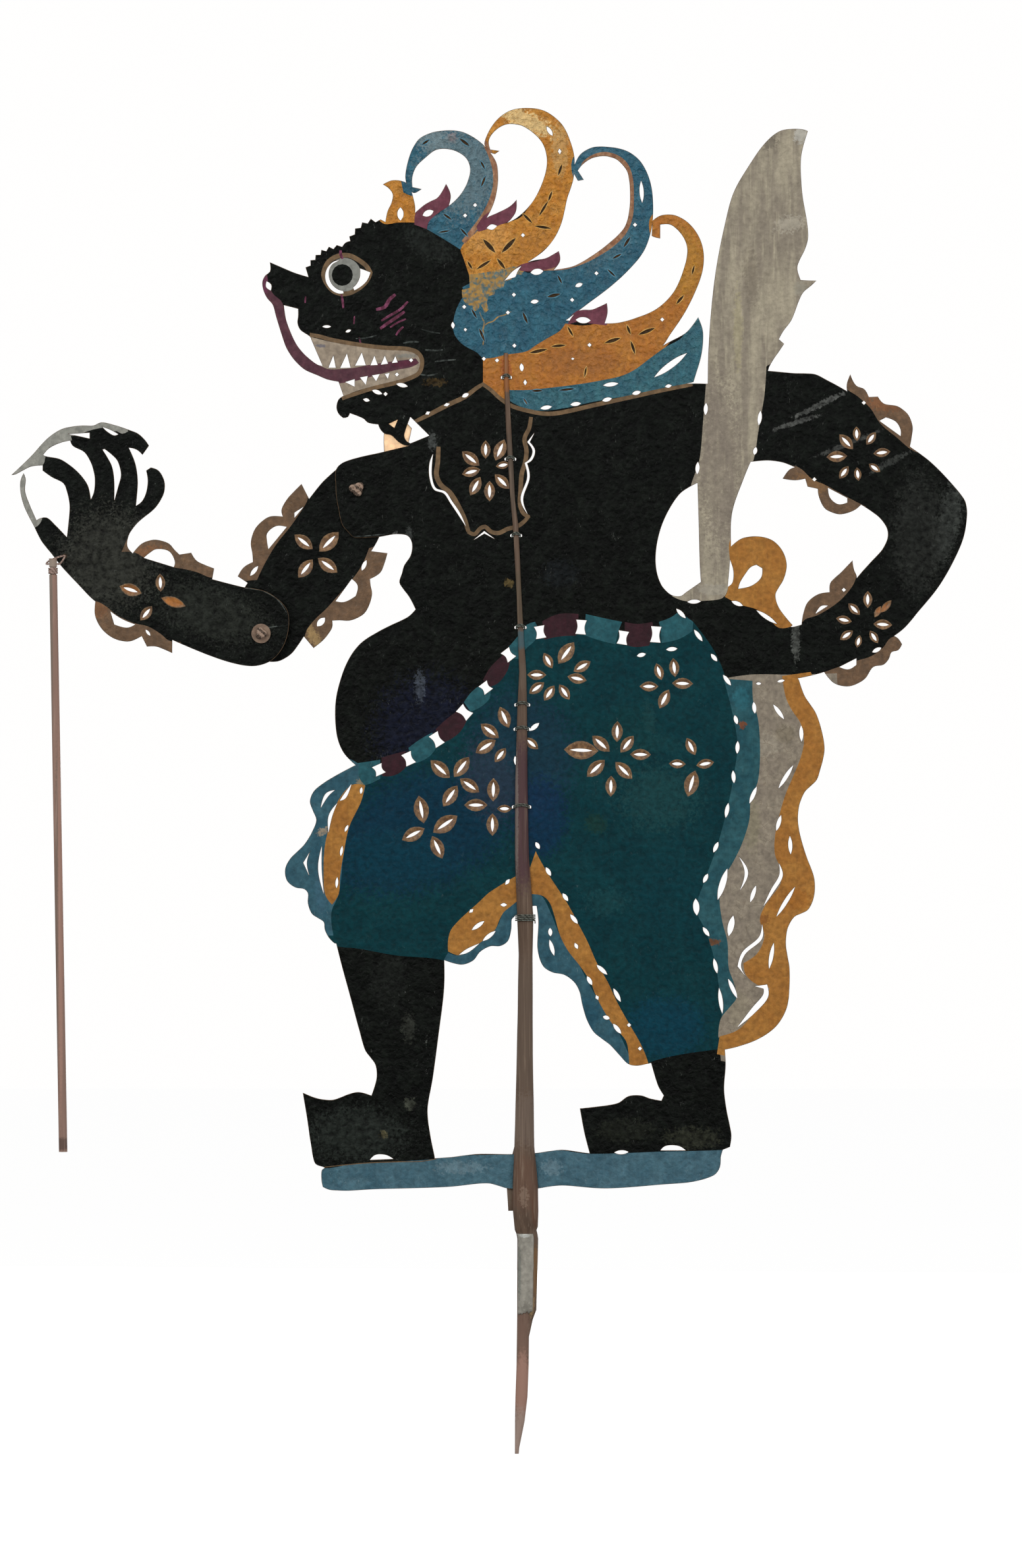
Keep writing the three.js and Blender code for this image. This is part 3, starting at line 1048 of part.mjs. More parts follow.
function armRod() {
  const grooveTop = bore.y - GROOVE_TOP;
  const grooveEnd = grooveTop - GROOVE_LENGTH;
  const grooveRadius = ARM_ROD_TOP_RADIUS - GROOVE_DEPTH;
  const rod = toSolid(loft([
    armRodRing(armRodEnd.y, ARM_ROD_END_RADIUS),
    armRodRing(grooveEnd - GROOVE_SLOPE, ARM_ROD_TOP_RADIUS),
    armRodRing(grooveEnd, grooveRadius),
    armRodRing(grooveTop, grooveRadius),
    armRodRing(grooveTop + GROOVE_SLOPE, ARM_ROD_TOP_RADIUS),
    armRodRing(armRodTop.y, ARM_ROD_TOP_RADIUS),
  ]));
  const drillLength = 2 * (ARM_ROD_TOP_RADIUS + CUT_OVERSHOOT);
  const drill = new THREE.CylinderGeometry(BORE_RADIUS, BORE_RADIUS, drillLength, BORE_SIDES);
  drill.rotateZ(Math.PI / 2);
  drill.translate(bore.x, ARM_ROD_Y, bore.y);
  return toGeometry(rod.subtract(toSolid(drill)));
}

// Turns of thread in the groove, which keep the rod from splitting below its bore
function armRodLashing() {
  const inner = ARM_ROD_TOP_RADIUS - GROOVE_DEPTH + LAYER_GAP;
  const outer = inner + LASHING_THICKNESS;
  const valley = inner + LASHING_THICKNESS * LASHING_VALLEY;
  const top = -GROOVE_TOP - LAYER_GAP;
  const start = top - LASHING_TURNS * LASHING_PITCH;
  const profile = [[inner, top], [inner, start]];
  for (let turn = 0; turn < LASHING_TURNS; turn += 1) {
    const low = start + turn * LASHING_PITCH;
    profile.push([valley, low], [outer, low + LASHING_PITCH / 2]);
  }
  profile.push([valley, top], [inner, top]);
  return turned(profile);
}

const LOOP_HALF_WIDTH = ARM_ROD_TOP_RADIUS + LOOP_CLEARANCE;
const LOOP_START_Y = FOREARM_FRONT - LOOP_STANDOFF;

// Left strand from the bore back round the rod's end, and right strand, as offsets from the bore
const LEFT_STRAND = [[-LOOP_HALF_WIDTH - 0.4, 2.6, 0.3], [-LOOP_HALF_WIDTH + 0.4, 4.9, 1.6], [1, 5.8, 3.8]];
const RIGHT_STRAND = [[LOOP_HALF_WIDTH + 1.4, 3.4, 1.4]];

// Thread loop through the rod's bore, tied to a stem and a stopper knot behind the hand
function wristLoop() {
  const at = ([across, back, up]) => new THREE.Vector3(bore.x + across, ARM_ROD_Y + back, bore.y + up);
  const inBore = [LOOP_HALF_WIDTH, LOOP_HALF_WIDTH / 2, -LOOP_HALF_WIDTH / 2, -LOOP_HALF_WIDTH];
  const knot = new THREE.Vector3(wrist.x, LOOP_START_Y, wrist.y);
  const ring = threadLoop([
    ...inBore.map((across) => at([across, 0, 0])), ...LEFT_STRAND.map(at), knot, ...RIGHT_STRAND.map(at),
  ], LOOP_STEPS);
  const seat = FOREARM_BACK + LAYER_GAP;
  const stopper = knotProfile(STOPPER_RADIUS, STOPPER_HEIGHT, seat, 1).reverse();
  const stem = turned([
    [0, LOOP_START_Y - THREAD_RADIUS / 2], [THREAD_RADIUS, LOOP_START_Y], [THREAD_RADIUS, seat], ...stopper,
  ]);
  stem.translate(wrist.x, 0, wrist.y);
  return toGeometry(toSolid(ring).add(toSolid(stem)));
}

// The puppet as a scene

const BODY_REGIONS = [
  HEAD, HORN, CURL_1, CURL_2, CURL_3, CURL_4, TAIL, ...LEAVES, TORSO, SWORD, KNOB, REAR_ARM, ...ARMBANDS,
  GARMENT, FRONT_LEG, REAR_LEG, BASE_BAR,
];

const shoulderHole = roundHole(SHOULDER_PX, CORD_HOLE_RADIUS, CORD_HOLE_SIDES);
const elbowHole = roundHole(ELBOW_PX, CORD_HOLE_RADIUS, CORD_HOLE_SIDES);
const wristHole = roundHole(WRIST_PX, THREAD_HOLE_RADIUS, WRIST_HOLE_SIDES);

const BODY_CUTS = [
  ...HEAD_CUTS, ...CROWN_CUTS, ...TORSO_CUTS, ...SWORD_CUTS, ...REAR_ARM_CUTS, ...GARMENT_CUTS, ...FOOT_CUTS,
  ...TIE_HOLES, shoulderHole,
];

const UPPER_ARM_CUTS = [
  ...UPPER_ARM_HOLES, ...slits(UPPER_ARM_SLITS), ...slits(UPPER_ARM_WIDE_SLITS, WIDE_SLIT),
  ...petals(UPPER_ARM_PETALS), shoulderHole, elbowHole,
];

const FOREARM_CUTS = [
  ...FINGER_GAPS, ...NAIL_GAPS, ...FOREARM_HOLES, ...slits(FOREARM_SLITS, FINE_SLIT),
  ...petals(FOREARM_PETALS), elbowHole, wristHole,
];

const puppet = new THREE.Group();

function part(name, geometry, color, roughness) {
  const material = new THREE.MeshStandardMaterial({ color, roughness, metalness: 0 });
  const mesh = new THREE.Mesh(geometry, material);
  mesh.name = name;
  puppet.add(mesh);
  return mesh;
}

// A flat piece stands upright with its back face at the given depth
function hidePart(name, geometry, back, color) {
  const mesh = part(name, geometry, color, 0.6);
  mesh.rotation.x = Math.PI / 2;
  mesh.position.y = back;
  return mesh;
}

hidePart('body_hide', sheet(BODY_REGIONS, BODY_CUTS), HIDE_BACK, 0x0b3a45);
const patchGeometry = sheet([CHIN_PATCH], [], PATCH_THICKNESS);
hidePart('chin_patch', patchGeometry, UPPER_ARM_FRONT + PATCH_THICKNESS, 0xe8a060);
hidePart('upper_arm_hide', sheet([UPPER_ARM, ...UPPER_ARM_BANDS], UPPER_ARM_CUTS), UPPER_ARM_BACK, 0x14170f);
hidePart('forearm_hide', sheet([FOREARM, ...FOREARM_BANDS], FOREARM_CUTS), FOREARM_BACK, 0x14170f);

part('main_rod_front', frontRod(), 0x6b5548, 0.55);
part('main_rod_back', backRod(), 0x6b5548, 0.55);
TIE_HEIGHTS.forEach((pixelY, index) => {
  part(`rod_tie_${index + 1}`, rodTie(pixelY), 0x8a7a62, 0.9);
});
part('blank_label', blankLabel(), 0x9a9c8c, 0.85);

const shoulder = place(SHOULDER_PX);
const elbow = place(ELBOW_PX);
part('shoulder_cord', shoulderCord(), 0x9a8a72, 0.9).position.set(shoulder.x, 0, shoulder.y);
part('elbow_cord', elbowCord(), 0x9a8a72, 0.9).position.set(elbow.x, 0, elbow.y);
part('elbow_washer', elbowWasher(), 0xb08a58, 0.7).position.set(elbow.x, 0, elbow.y);

part('wrist_loop', wristLoop(), 0x8a7a62, 0.9);
part('arm_rod', armRod(), 0x8a6a60, 0.5);
const lashing = part('arm_rod_lashing', armRodLashing(), 0x7a6a58, 0.9);
const along = new THREE.Vector3(armRodTop.x - armRodEnd.x, 0, armRodTop.y - armRodEnd.y).normalize();
lashing.quaternion.setFromUnitVectors(new THREE.Vector3(0, 1, 0), along);
lashing.position.set(bore.x, ARM_ROD_Y, bore.y);

export default puppet;
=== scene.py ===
"""Shadow puppet of painted hide: its looks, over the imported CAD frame.

The sheets are cut again from the outlines of their CAD nodes, with smooth curves, soft rims and painted
fields. The main rod, its ties, the knots, the washer and the label are worked finer than in the CAD. The arm
rod, its lashing and the wrist loop keep their CAD shape. Sizes are in metres, and outlines in pixels of the
picture.
"""

import logging
import math
from collections.abc import Iterable, Sequence
from dataclasses import dataclass, field
from enum import Enum

import bmesh
import bpy
from bpy.types import Material, NodeSocket, Object
from mathutils import Matrix, Vector, noise
from mathutils.geometry import delaunay_2d_cdt


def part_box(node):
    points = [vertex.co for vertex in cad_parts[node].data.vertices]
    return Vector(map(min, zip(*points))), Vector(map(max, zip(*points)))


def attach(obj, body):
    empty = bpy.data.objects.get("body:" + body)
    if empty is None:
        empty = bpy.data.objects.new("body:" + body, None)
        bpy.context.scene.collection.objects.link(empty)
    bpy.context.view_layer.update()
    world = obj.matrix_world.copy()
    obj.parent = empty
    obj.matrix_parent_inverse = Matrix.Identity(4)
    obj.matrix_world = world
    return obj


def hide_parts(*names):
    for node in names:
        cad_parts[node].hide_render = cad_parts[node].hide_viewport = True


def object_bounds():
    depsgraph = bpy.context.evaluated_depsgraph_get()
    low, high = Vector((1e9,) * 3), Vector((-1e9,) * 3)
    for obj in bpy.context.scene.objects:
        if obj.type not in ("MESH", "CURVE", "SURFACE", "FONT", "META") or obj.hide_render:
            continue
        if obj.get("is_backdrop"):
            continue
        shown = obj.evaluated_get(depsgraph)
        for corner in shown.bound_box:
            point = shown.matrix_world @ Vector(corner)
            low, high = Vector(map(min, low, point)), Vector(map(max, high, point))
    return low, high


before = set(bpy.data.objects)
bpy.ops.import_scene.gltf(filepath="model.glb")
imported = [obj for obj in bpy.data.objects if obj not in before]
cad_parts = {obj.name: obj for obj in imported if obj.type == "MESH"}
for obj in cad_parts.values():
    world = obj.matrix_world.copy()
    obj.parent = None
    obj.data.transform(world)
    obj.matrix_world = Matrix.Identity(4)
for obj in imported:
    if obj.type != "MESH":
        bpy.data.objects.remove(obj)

LOG = logging.getLogger("shadow_puppet")
Spot = tuple[float, float]
Triple = tuple[float, float, float]

MM = 0.001
TICK = 1e-7
TICKS_PER_METRE = 1e7
MERGE = 1e-6
LEVEL = 1e-5
FIELD_SPACING = 2.2 * MM
LINE_SPACING = 1.4 * MM
MOST_STEPS = 8
OVAL_SPOTS = 16
ALMOND_STEPS = 6
ALMOND_FULLNESS = 0.8
CUT_SHARES = (0.2, 0.35, 0.5, 0.65, 0.8)
CORNER = math.radians(52)
SLIT_CORNER = math.radians(56)
FOOT_PX = (784.3, 2206.5)
CROWN_TOP_PX = 164.0
OVERALL_HEIGHT = 851 * MM
METRES_PER_PIXEL = OVERALL_HEIGHT / (FOOT_PX[1] - CROWN_TOP_PX)
PICTURE_CENTRE_PX = (775.5, 1190.0)
PICTURE_HEIGHT_PX = 2380.0

# the finishes' noises: waves to the metre, a squeeze along the streaks, a turn in degrees, reliefs in metres
BRUSH_WAVES = 520.0
BRUSH_STRETCH = 0.09
GRAIN_WAVES = 950.0
MOTTLE_WAVES = 330.0
FLECK_WAVES = 900.0
FLECK_PLACE_WAVES = 60.0
FLECK_TURN = 70.0
BUCKLE_WAVES = 45.0
CRACK_CELLS = 260.0
TORN_WAVES = 700.0
FIBRE_WAVES = 900.0
BROAD_WAVES = 260.0
FLUFF_WAVES = 2200.0
PAINT_DEPTH = 0.35 * MM
WOOD_DEPTH = 0.3 * MM
TWINE_DEPTH = 0.2 * MM


def on_sheet(spot: Spot) -> Vector:
    """The place of a spot of the picture in the plane of the hide.

    Args:
        spot: the spot in pixels of the picture, across and down.

    Returns:
        The place in metres, as (x, z).
    """
    return Vector(((spot[0] - FOOT_PX[0]) * METRES_PER_PIXEL, (FOOT_PX[1] - spot[1]) * METRES_PER_PIXEL))


def linear(code: str) -> tuple[float, float, float, float]:
    """The linear colour of a six-figure sRGB code.

    Args:
        code: the colour as written, such as "8a6238".

    Returns:
        Red, green, blue and alpha, in linear light.
    """
    parts = [int(code[i : i + 2], 16) / 255 for i in (0, 2, 4)]
    red, green, blue = (p / 12.92 if p <= 0.04045 else ((p + 0.055) / 1.055) ** 2.4 for p in parts)
    return red, green, blue, 1.0


@dataclass(frozen=True)
class Blush:
    """A soft or ragged spot of another colour on a paint, placed in pixels of the picture."""

    x: float
    y: float
    across: float
    down: float
    colour: str
    strength: float = 0.6
    ragged: float = 0.4
    turn: float = 0.0


def spots(*rows: tuple[float | str, ...]) -> tuple[Blush, ...]:
    """Spots from rows of their values, in the order of the fields of Blush."""
    return tuple(Blush(*row) for row in rows)


class Graph:
    """The nodes of one finish, wired as they are added."""

    def __init__(self, name: str) -> None:
        """Start an empty finish with its shader and its object coordinates.

        Args:
            name: the material's name.
        """
        self.material = bpy.data.materials.new(name)
        self.material.use_nodes = True
        self.tree = self.material.node_tree
        self.tree.nodes.clear()
        self.shader = self.add("ShaderNodeBsdfPrincipled")
        self.output = self.add("ShaderNodeOutputMaterial")
        self.link(self.shader.outputs["BSDF"], self.output.inputs["Surface"])
        self.place = self.add("ShaderNodeTexCoord").outputs["Object"]

    def add(self, kind: str) -> bpy.types.Node:
        """Add one node of a kind."""
        return self.tree.nodes.new(kind)

    def link(self, source: NodeSocket, target: NodeSocket) -> None:
        """Join an output to an input."""
        self.tree.links.new(source, target)

    def feed(self, target: NodeSocket, value: NodeSocket | float | Sequence[float]) -> None:
        """Give an input a socket's value or a plain one.

        Args:
            target: the input.
            value: what it gets.
        """
        if isinstance(value, NodeSocket):
            self.link(value, target)
        else:
            target.default_value = value

    def stretched(self, x: float, y: float, z: float) -> NodeSocket:
        """The object coordinates, multiplied along each axis.

        Args:
            x: the factor along x.
            y: the factor along y.
            z: the factor along z.

        Returns:
            The new coordinates.
        """
        node = self.add("ShaderNodeVectorMath")
        node.operation = "MULTIPLY"
        self.link(self.place, node.inputs[0])
        node.inputs[1].default_value = (x, y, z)
        return node.outputs[0]

    def clouds(self, vector: NodeSocket, scale: float, detail: float = 3.0, twist: float = 0.0) -> NodeSocket:
        """A noise between 0 and 1.

        Args:
            vector: where the noise is read.
            scale: waves to the metre of the vector.
            detail: how many finer waves it has.
            twist: how far it folds back on itself.

        Returns:
            The noise's value.
        """
        node = self.add("ShaderNodeTexNoise")
        self.link(vector, node.inputs["Vector"])
        node.inputs["Scale"].default_value = scale
        node.inputs["Detail"].default_value = detail
        node.inputs["Distortion"].default_value = twist
        return node.outputs["Fac"]

    def cells(self, vector: NodeSocket, scale: float) -> NodeSocket:
        """The distance to the nearest border between cells of about 1/scale metres.

        Args:
            vector: where the cells are read.
            scale: cells to the metre.

        Returns:
            The distance, in cells.
        """
        node = self.add("ShaderNodeTexVoronoi")
        node.feature = "DISTANCE_TO_EDGE"
        self.link(vector, node.inputs["Vector"])
        node.inputs["Scale"].default_value = scale
        return node.outputs["Distance"]

    def step(self, value: NodeSocket, low: float, high: float, top: float = 1.0) -> NodeSocket:
        """A soft step of a value from 0 at low to top at high.

        Args:
            value: the value.
            low: where the step starts.
            high: where it ends.
            top: how high it is.

        Returns:
            The step.
        """
        node = self.add("ShaderNodeMapRange")
        node.interpolation_type = "SMOOTHSTEP"
        self.link(value, node.inputs["Value"])
        node.inputs["From Min"].default_value = low
        node.inputs["From Max"].default_value = high
        node.inputs["To Max"].default_value = top
        return node.outputs["Result"]

    def sum(self, kind: str, first: NodeSocket | float, second: NodeSocket | float) -> NodeSocket:
        """One step of arithmetic, of the kind that is named.

        Args:
            kind: Blender's name for the operation.
            first: its first value.
            second: its second.

        Returns:
            The result.
        """
        node = self.add("ShaderNodeMath")
        node.operation = kind
        self.feed(node.inputs[0], first)
        self.feed(node.inputs[1], second)
        return node.outputs[0]

    def mix(self, share: NodeSocket | float, first: object, second: object) -> NodeSocket:
        """Two colours mixed by a share of the second.

        Args:
            share: the share.
            first: the first colour.
            second: the second.

        Returns:
            The mixed colour.
        """
        node = self.add("ShaderNodeMix")
        node.data_type = "RGBA"
        self.feed(node.inputs[0], share)
        self.feed(node.inputs[6], first)
        self.feed(node.inputs[7], second)
        return node.outputs[2]

    def brighter(self, colour: NodeSocket, share: NodeSocket) -> NodeSocket:
        """A colour made brighter by a share of itself, or darker where the share is below 0.

        Args:
            colour: the colour.
            share: the share.

        Returns:
            The new colour.
        """
        node = self.add("ShaderNodeVectorMath")
        node.operation = "SCALE"
        self.link(colour, node.inputs[0])
        self.link(self.sum("ADD", share, 1.0), node.inputs["Scale"])
        return node.outputs[0]

    def bump(self, height: NodeSocket, strength: float, depth: float) -> None:
        """Give the shader a relief of a depth in metres.

        Args:
            height: the relief's height, from 0 to 1.
            strength: how far it shows.
            depth: the depth at a height of 1.
        """
        node = self.add("ShaderNodeBump")
        node.inputs["Strength"].default_value = strength
        node.inputs["Distance"].default_value = depth
        self.link(height, node.inputs["Height"])
        self.link(node.outputs["Normal"], self.shader.inputs["Normal"])

    def spot(self, middle: Vector, across: float, up: float, turn: float, ragged: float) -> NodeSocket:
        """A soft oval in the plane of the hide, 1 inside and 0 outside.

        Args:
            middle: the oval's middle, as (x, z).
            across: half its width in metres.
            up: half its height in metres.
            turn: how far it is turned, in degrees anticlockwise.
            ragged: how far a noise tears its border, from 0 to 1.

        Returns:
            The oval's share at each place.
        """
        node = self.add("ShaderNodeMapping")
        node.vector_type = "TEXTURE"
        self.link(self.place, node.inputs["Vector"])
        node.inputs["Location"].default_value = (middle.x, 0.0, middle.y)
        node.inputs["Rotation"].default_value = (0.0, -math.radians(turn), 0.0)
        node.inputs["Scale"].default_value = (across, 1.0, up)
        flat = self.add("ShaderNodeVectorMath")
        flat.operation = "MULTIPLY"
        self.link(node.outputs[0], flat.inputs[0])
        flat.inputs[1].default_value = (1.0, 0.0, 1.0)
        size = self.add("ShaderNodeVectorMath")
        size.operation = "LENGTH"
        self.link(flat.outputs[0], size.inputs[0])
        speck = self.sum("SUBTRACT", self.clouds(self.place, TORN_WAVES, 5.0, 0.5), 0.5)
        inside = self.step(size.outputs["Value"], 1.15, 0.25)
        torn = self.sum("ADD", inside, self.sum("MULTIPLY", speck, 3.0 * ragged))
        return self.sum("MULTIPLY", self.step(torn, 0.3, 0.85), self.step(inside, 0.0, 0.2))

    def blushed(self, tone: NodeSocket, blushes: Sequence[Blush]) -> NodeSocket:
        """A colour with every spot painted over it, in their order.

        Args:
            tone: the colour below.
            blushes: the spots.

        Returns:
            The colour with its spots.
        """
        for blush in blushes:
            middle = on_sheet((blush.x, blush.y))
            across = blush.across * METRES_PER_PIXEL
            up = blush.down * METRES_PER_PIXEL
            share = self.spot(middle, across, up, blush.turn, blush.ragged)
            tone = self.mix(self.sum("MULTIPLY", share, blush.strength), tone, linear(blush.colour))
        return tone


@dataclass(frozen=True)
class Paint:
    """A brushed paint on hide: two tones, brush streaks, grain, pale flecks that are partly scuffs and partly
    painted glints, and fine cracks.

    Colours are sRGB codes. patch, streaks, scuffs_and_glints, mottle, cracks and through are shares from 0 to
    1, patch_size is in metres and streak_turn in degrees. stretch squeezes the height of the patches, and
    dents deepen the relief.
    """

    base: str
    second: str
    scuff_and_glint: str
    patch: float = 0.5
    patch_size: float = 12 * MM
    streaks: float = 0.25
    streak_turn: float = 0.0
    scuffs_and_glints: float = 0.15
    mottle: float = 0.3
    dents: float = 0.4
    stretch: float = 1.0
    cracks: float = 0.0
    crack_colour: str = "3a2a18"
    rough: float = 0.5
    specular: float = 0.2
    relief: float = 0.5
    through: float = 0.0
    blushes: tuple[Blush, ...] = ()

    def make(self, name: str) -> Material:
        """Make the paint's material.

        Args:
            name: the material's name.

        Returns:
            The finished material.
        """
        g = Graph(name)
        soft = g.clouds(g.stretched(1.0, 1.0, self.stretch), 1.0 / self.patch_size, 4.0, 0.4)
        tone = g.mix(g.step(soft, 0.38, 0.66, self.patch), linear(self.base), linear(self.second))
        turned = g.add("ShaderNodeMapping")
        g.link(g.place, turned.inputs["Vector"])
        turned.inputs["Rotation"].default_value = (0.0, math.radians(self.streak_turn), 0.0)
        turned.inputs["Scale"].default_value = (1.0, 1.0, BRUSH_STRETCH)
        brush = g.clouds(turned.outputs[0], BRUSH_WAVES, 3.0)
        tone = g.mix(g.step(brush, 0.5, 0.78, self.streaks), tone, linear(self.second))
        grain = g.clouds(g.place, GRAIN_WAVES, 4.0)
        tone = g.mix(g.step(grain, 0.5, 0.72, 0.35), tone, linear(self.base))
        fine = g.clouds(g.place, MOTTLE_WAVES, 5.0, 0.3)
        tone = g.blushed(tone, self.blushes)
        tone = g.brighter(tone, g.sum("MULTIPLY", g.sum("SUBTRACT", fine, 0.5), 4.0 * self.mottle))
        if self.cracks:
            edge = g.cells(g.place, CRACK_CELLS)
            line = g.sum("MULTIPLY", g.step(edge, 0.05, 0.0, self.cracks), g.step(soft, 0.45, 0.62))
            tone = g.mix(line, tone, linear(self.crack_colour))
        # pale flecks along a turned grain: real scuffs, and painted glints of gloss on the black skin and on
        # the petal walls and lips
        if self.scuffs_and_glints:
            scuff_and_glint_mapping = g.add("ShaderNodeMapping")
            g.link(g.place, scuff_and_glint_mapping.inputs["Vector"])
            turn = math.radians(self.streak_turn + FLECK_TURN)
            scuff_and_glint_mapping.inputs["Rotation"].default_value = (0.0, turn, 0.0)
            scuff_and_glint_mapping.inputs["Scale"].default_value = (1.0, 1.0, 0.4)
            fleck = g.clouds(scuff_and_glint_mapping.outputs[0], FLECK_WAVES, 6.0, 1.2)
            where = g.step(g.clouds(g.place, FLECK_PLACE_WAVES, 4.0), 0.45, 0.7)
            share = g.sum("MULTIPLY", g.step(fleck, 0.62, 0.76, self.scuffs_and_glints), where)
            tone = g.mix(share, tone, linear(self.scuff_and_glint))
        g.link(tone, g.shader.inputs["Base Color"])
        dull = g.step(brush, 0.3, 0.8, 0.25)
        g.link(g.sum("ADD", dull, self.rough - 0.1), g.shader.inputs["Roughness"])
        g.shader.inputs["Specular IOR Level"].default_value = self.specular
        wave = g.clouds(g.place, BUCKLE_WAVES, 2.0)
        height = g.sum("ADD", g.sum("MULTIPLY", grain, 0.5), g.sum("MULTIPLY", brush, 0.6))
        height = g.sum("ADD", height, g.sum("MULTIPLY", wave, 5.0))
        height = g.sum("ADD", height, g.sum("MULTIPLY", fine, 4.0 * self.dents))
        g.bump(height, self.relief, PAINT_DEPTH)
        if self.through:
            self.let_light_through(g, tone)
        return g.material

    def let_light_through(self, g: Graph, tone: NodeSocket) -> None:
        """Let a share of the light behind pass through bare hide.

        Args:
            g: the finish so far.
            tone: the colour that the light takes on.
        """
        glow = g.add("ShaderNodeBsdfTranslucent")
        g.link(tone, glow.inputs["Color"])
        both = g.add("ShaderNodeMixShader")
        both.inputs[0].default_value = self.through
        g.link(g.shader.outputs["BSDF"], both.inputs[1])
        g.link(glow.outputs[0], both.inputs[2])
        g.link(both.outputs[0], g.output.inputs["Surface"])


class Finish(Enum):
    """The finishes of the puppet's hide."""

    SKIN = "skin_black"
    BLUE = "crown_blue"
    TAIL_BLUE = "band_blue"
    GOLD = "crown_gold"
    ORANGE = "crown_ochre"
    CLOTH_GOLD = "cloth_ochre"
    PLUM = "plum"
    TONGUE = "tongue_plum"
    BEAD_BLUE = "bead_blue"
    BEAD_PLUM = "bead_plum"
    TROUSER = "trouser_teal"
    DRAPE = "drape_blue"
    SCARF_TEAL = "scarf_teal"
    SCARF_GREY = "scarf_grey"
    BASE_BLUE = "base_blue"
    BLADE = "blade_grey"
    TEETH = "teeth_grey"
    IRIS = "iris_grey"
    NAIL = "nail_hide"
    BAND = "armband_hide"
    TAN_LINE = "tan_line"
    COPPER = "copper_stripe"
    CHIPPED = "chipped_ochre"
    SCRATCH = "rose_scratch"
    PETAL = "petal_wall"
    PETAL_LIP = "petal_lip"
    GROOVE = "cut_groove"
    LIP_BLUE = "cut_lip_blue"
    LIP_GOLD = "cut_lip_gold"
    PATCH = "patch_hide"
    RIM = "hide_rim"
    WORN = "worn_line"


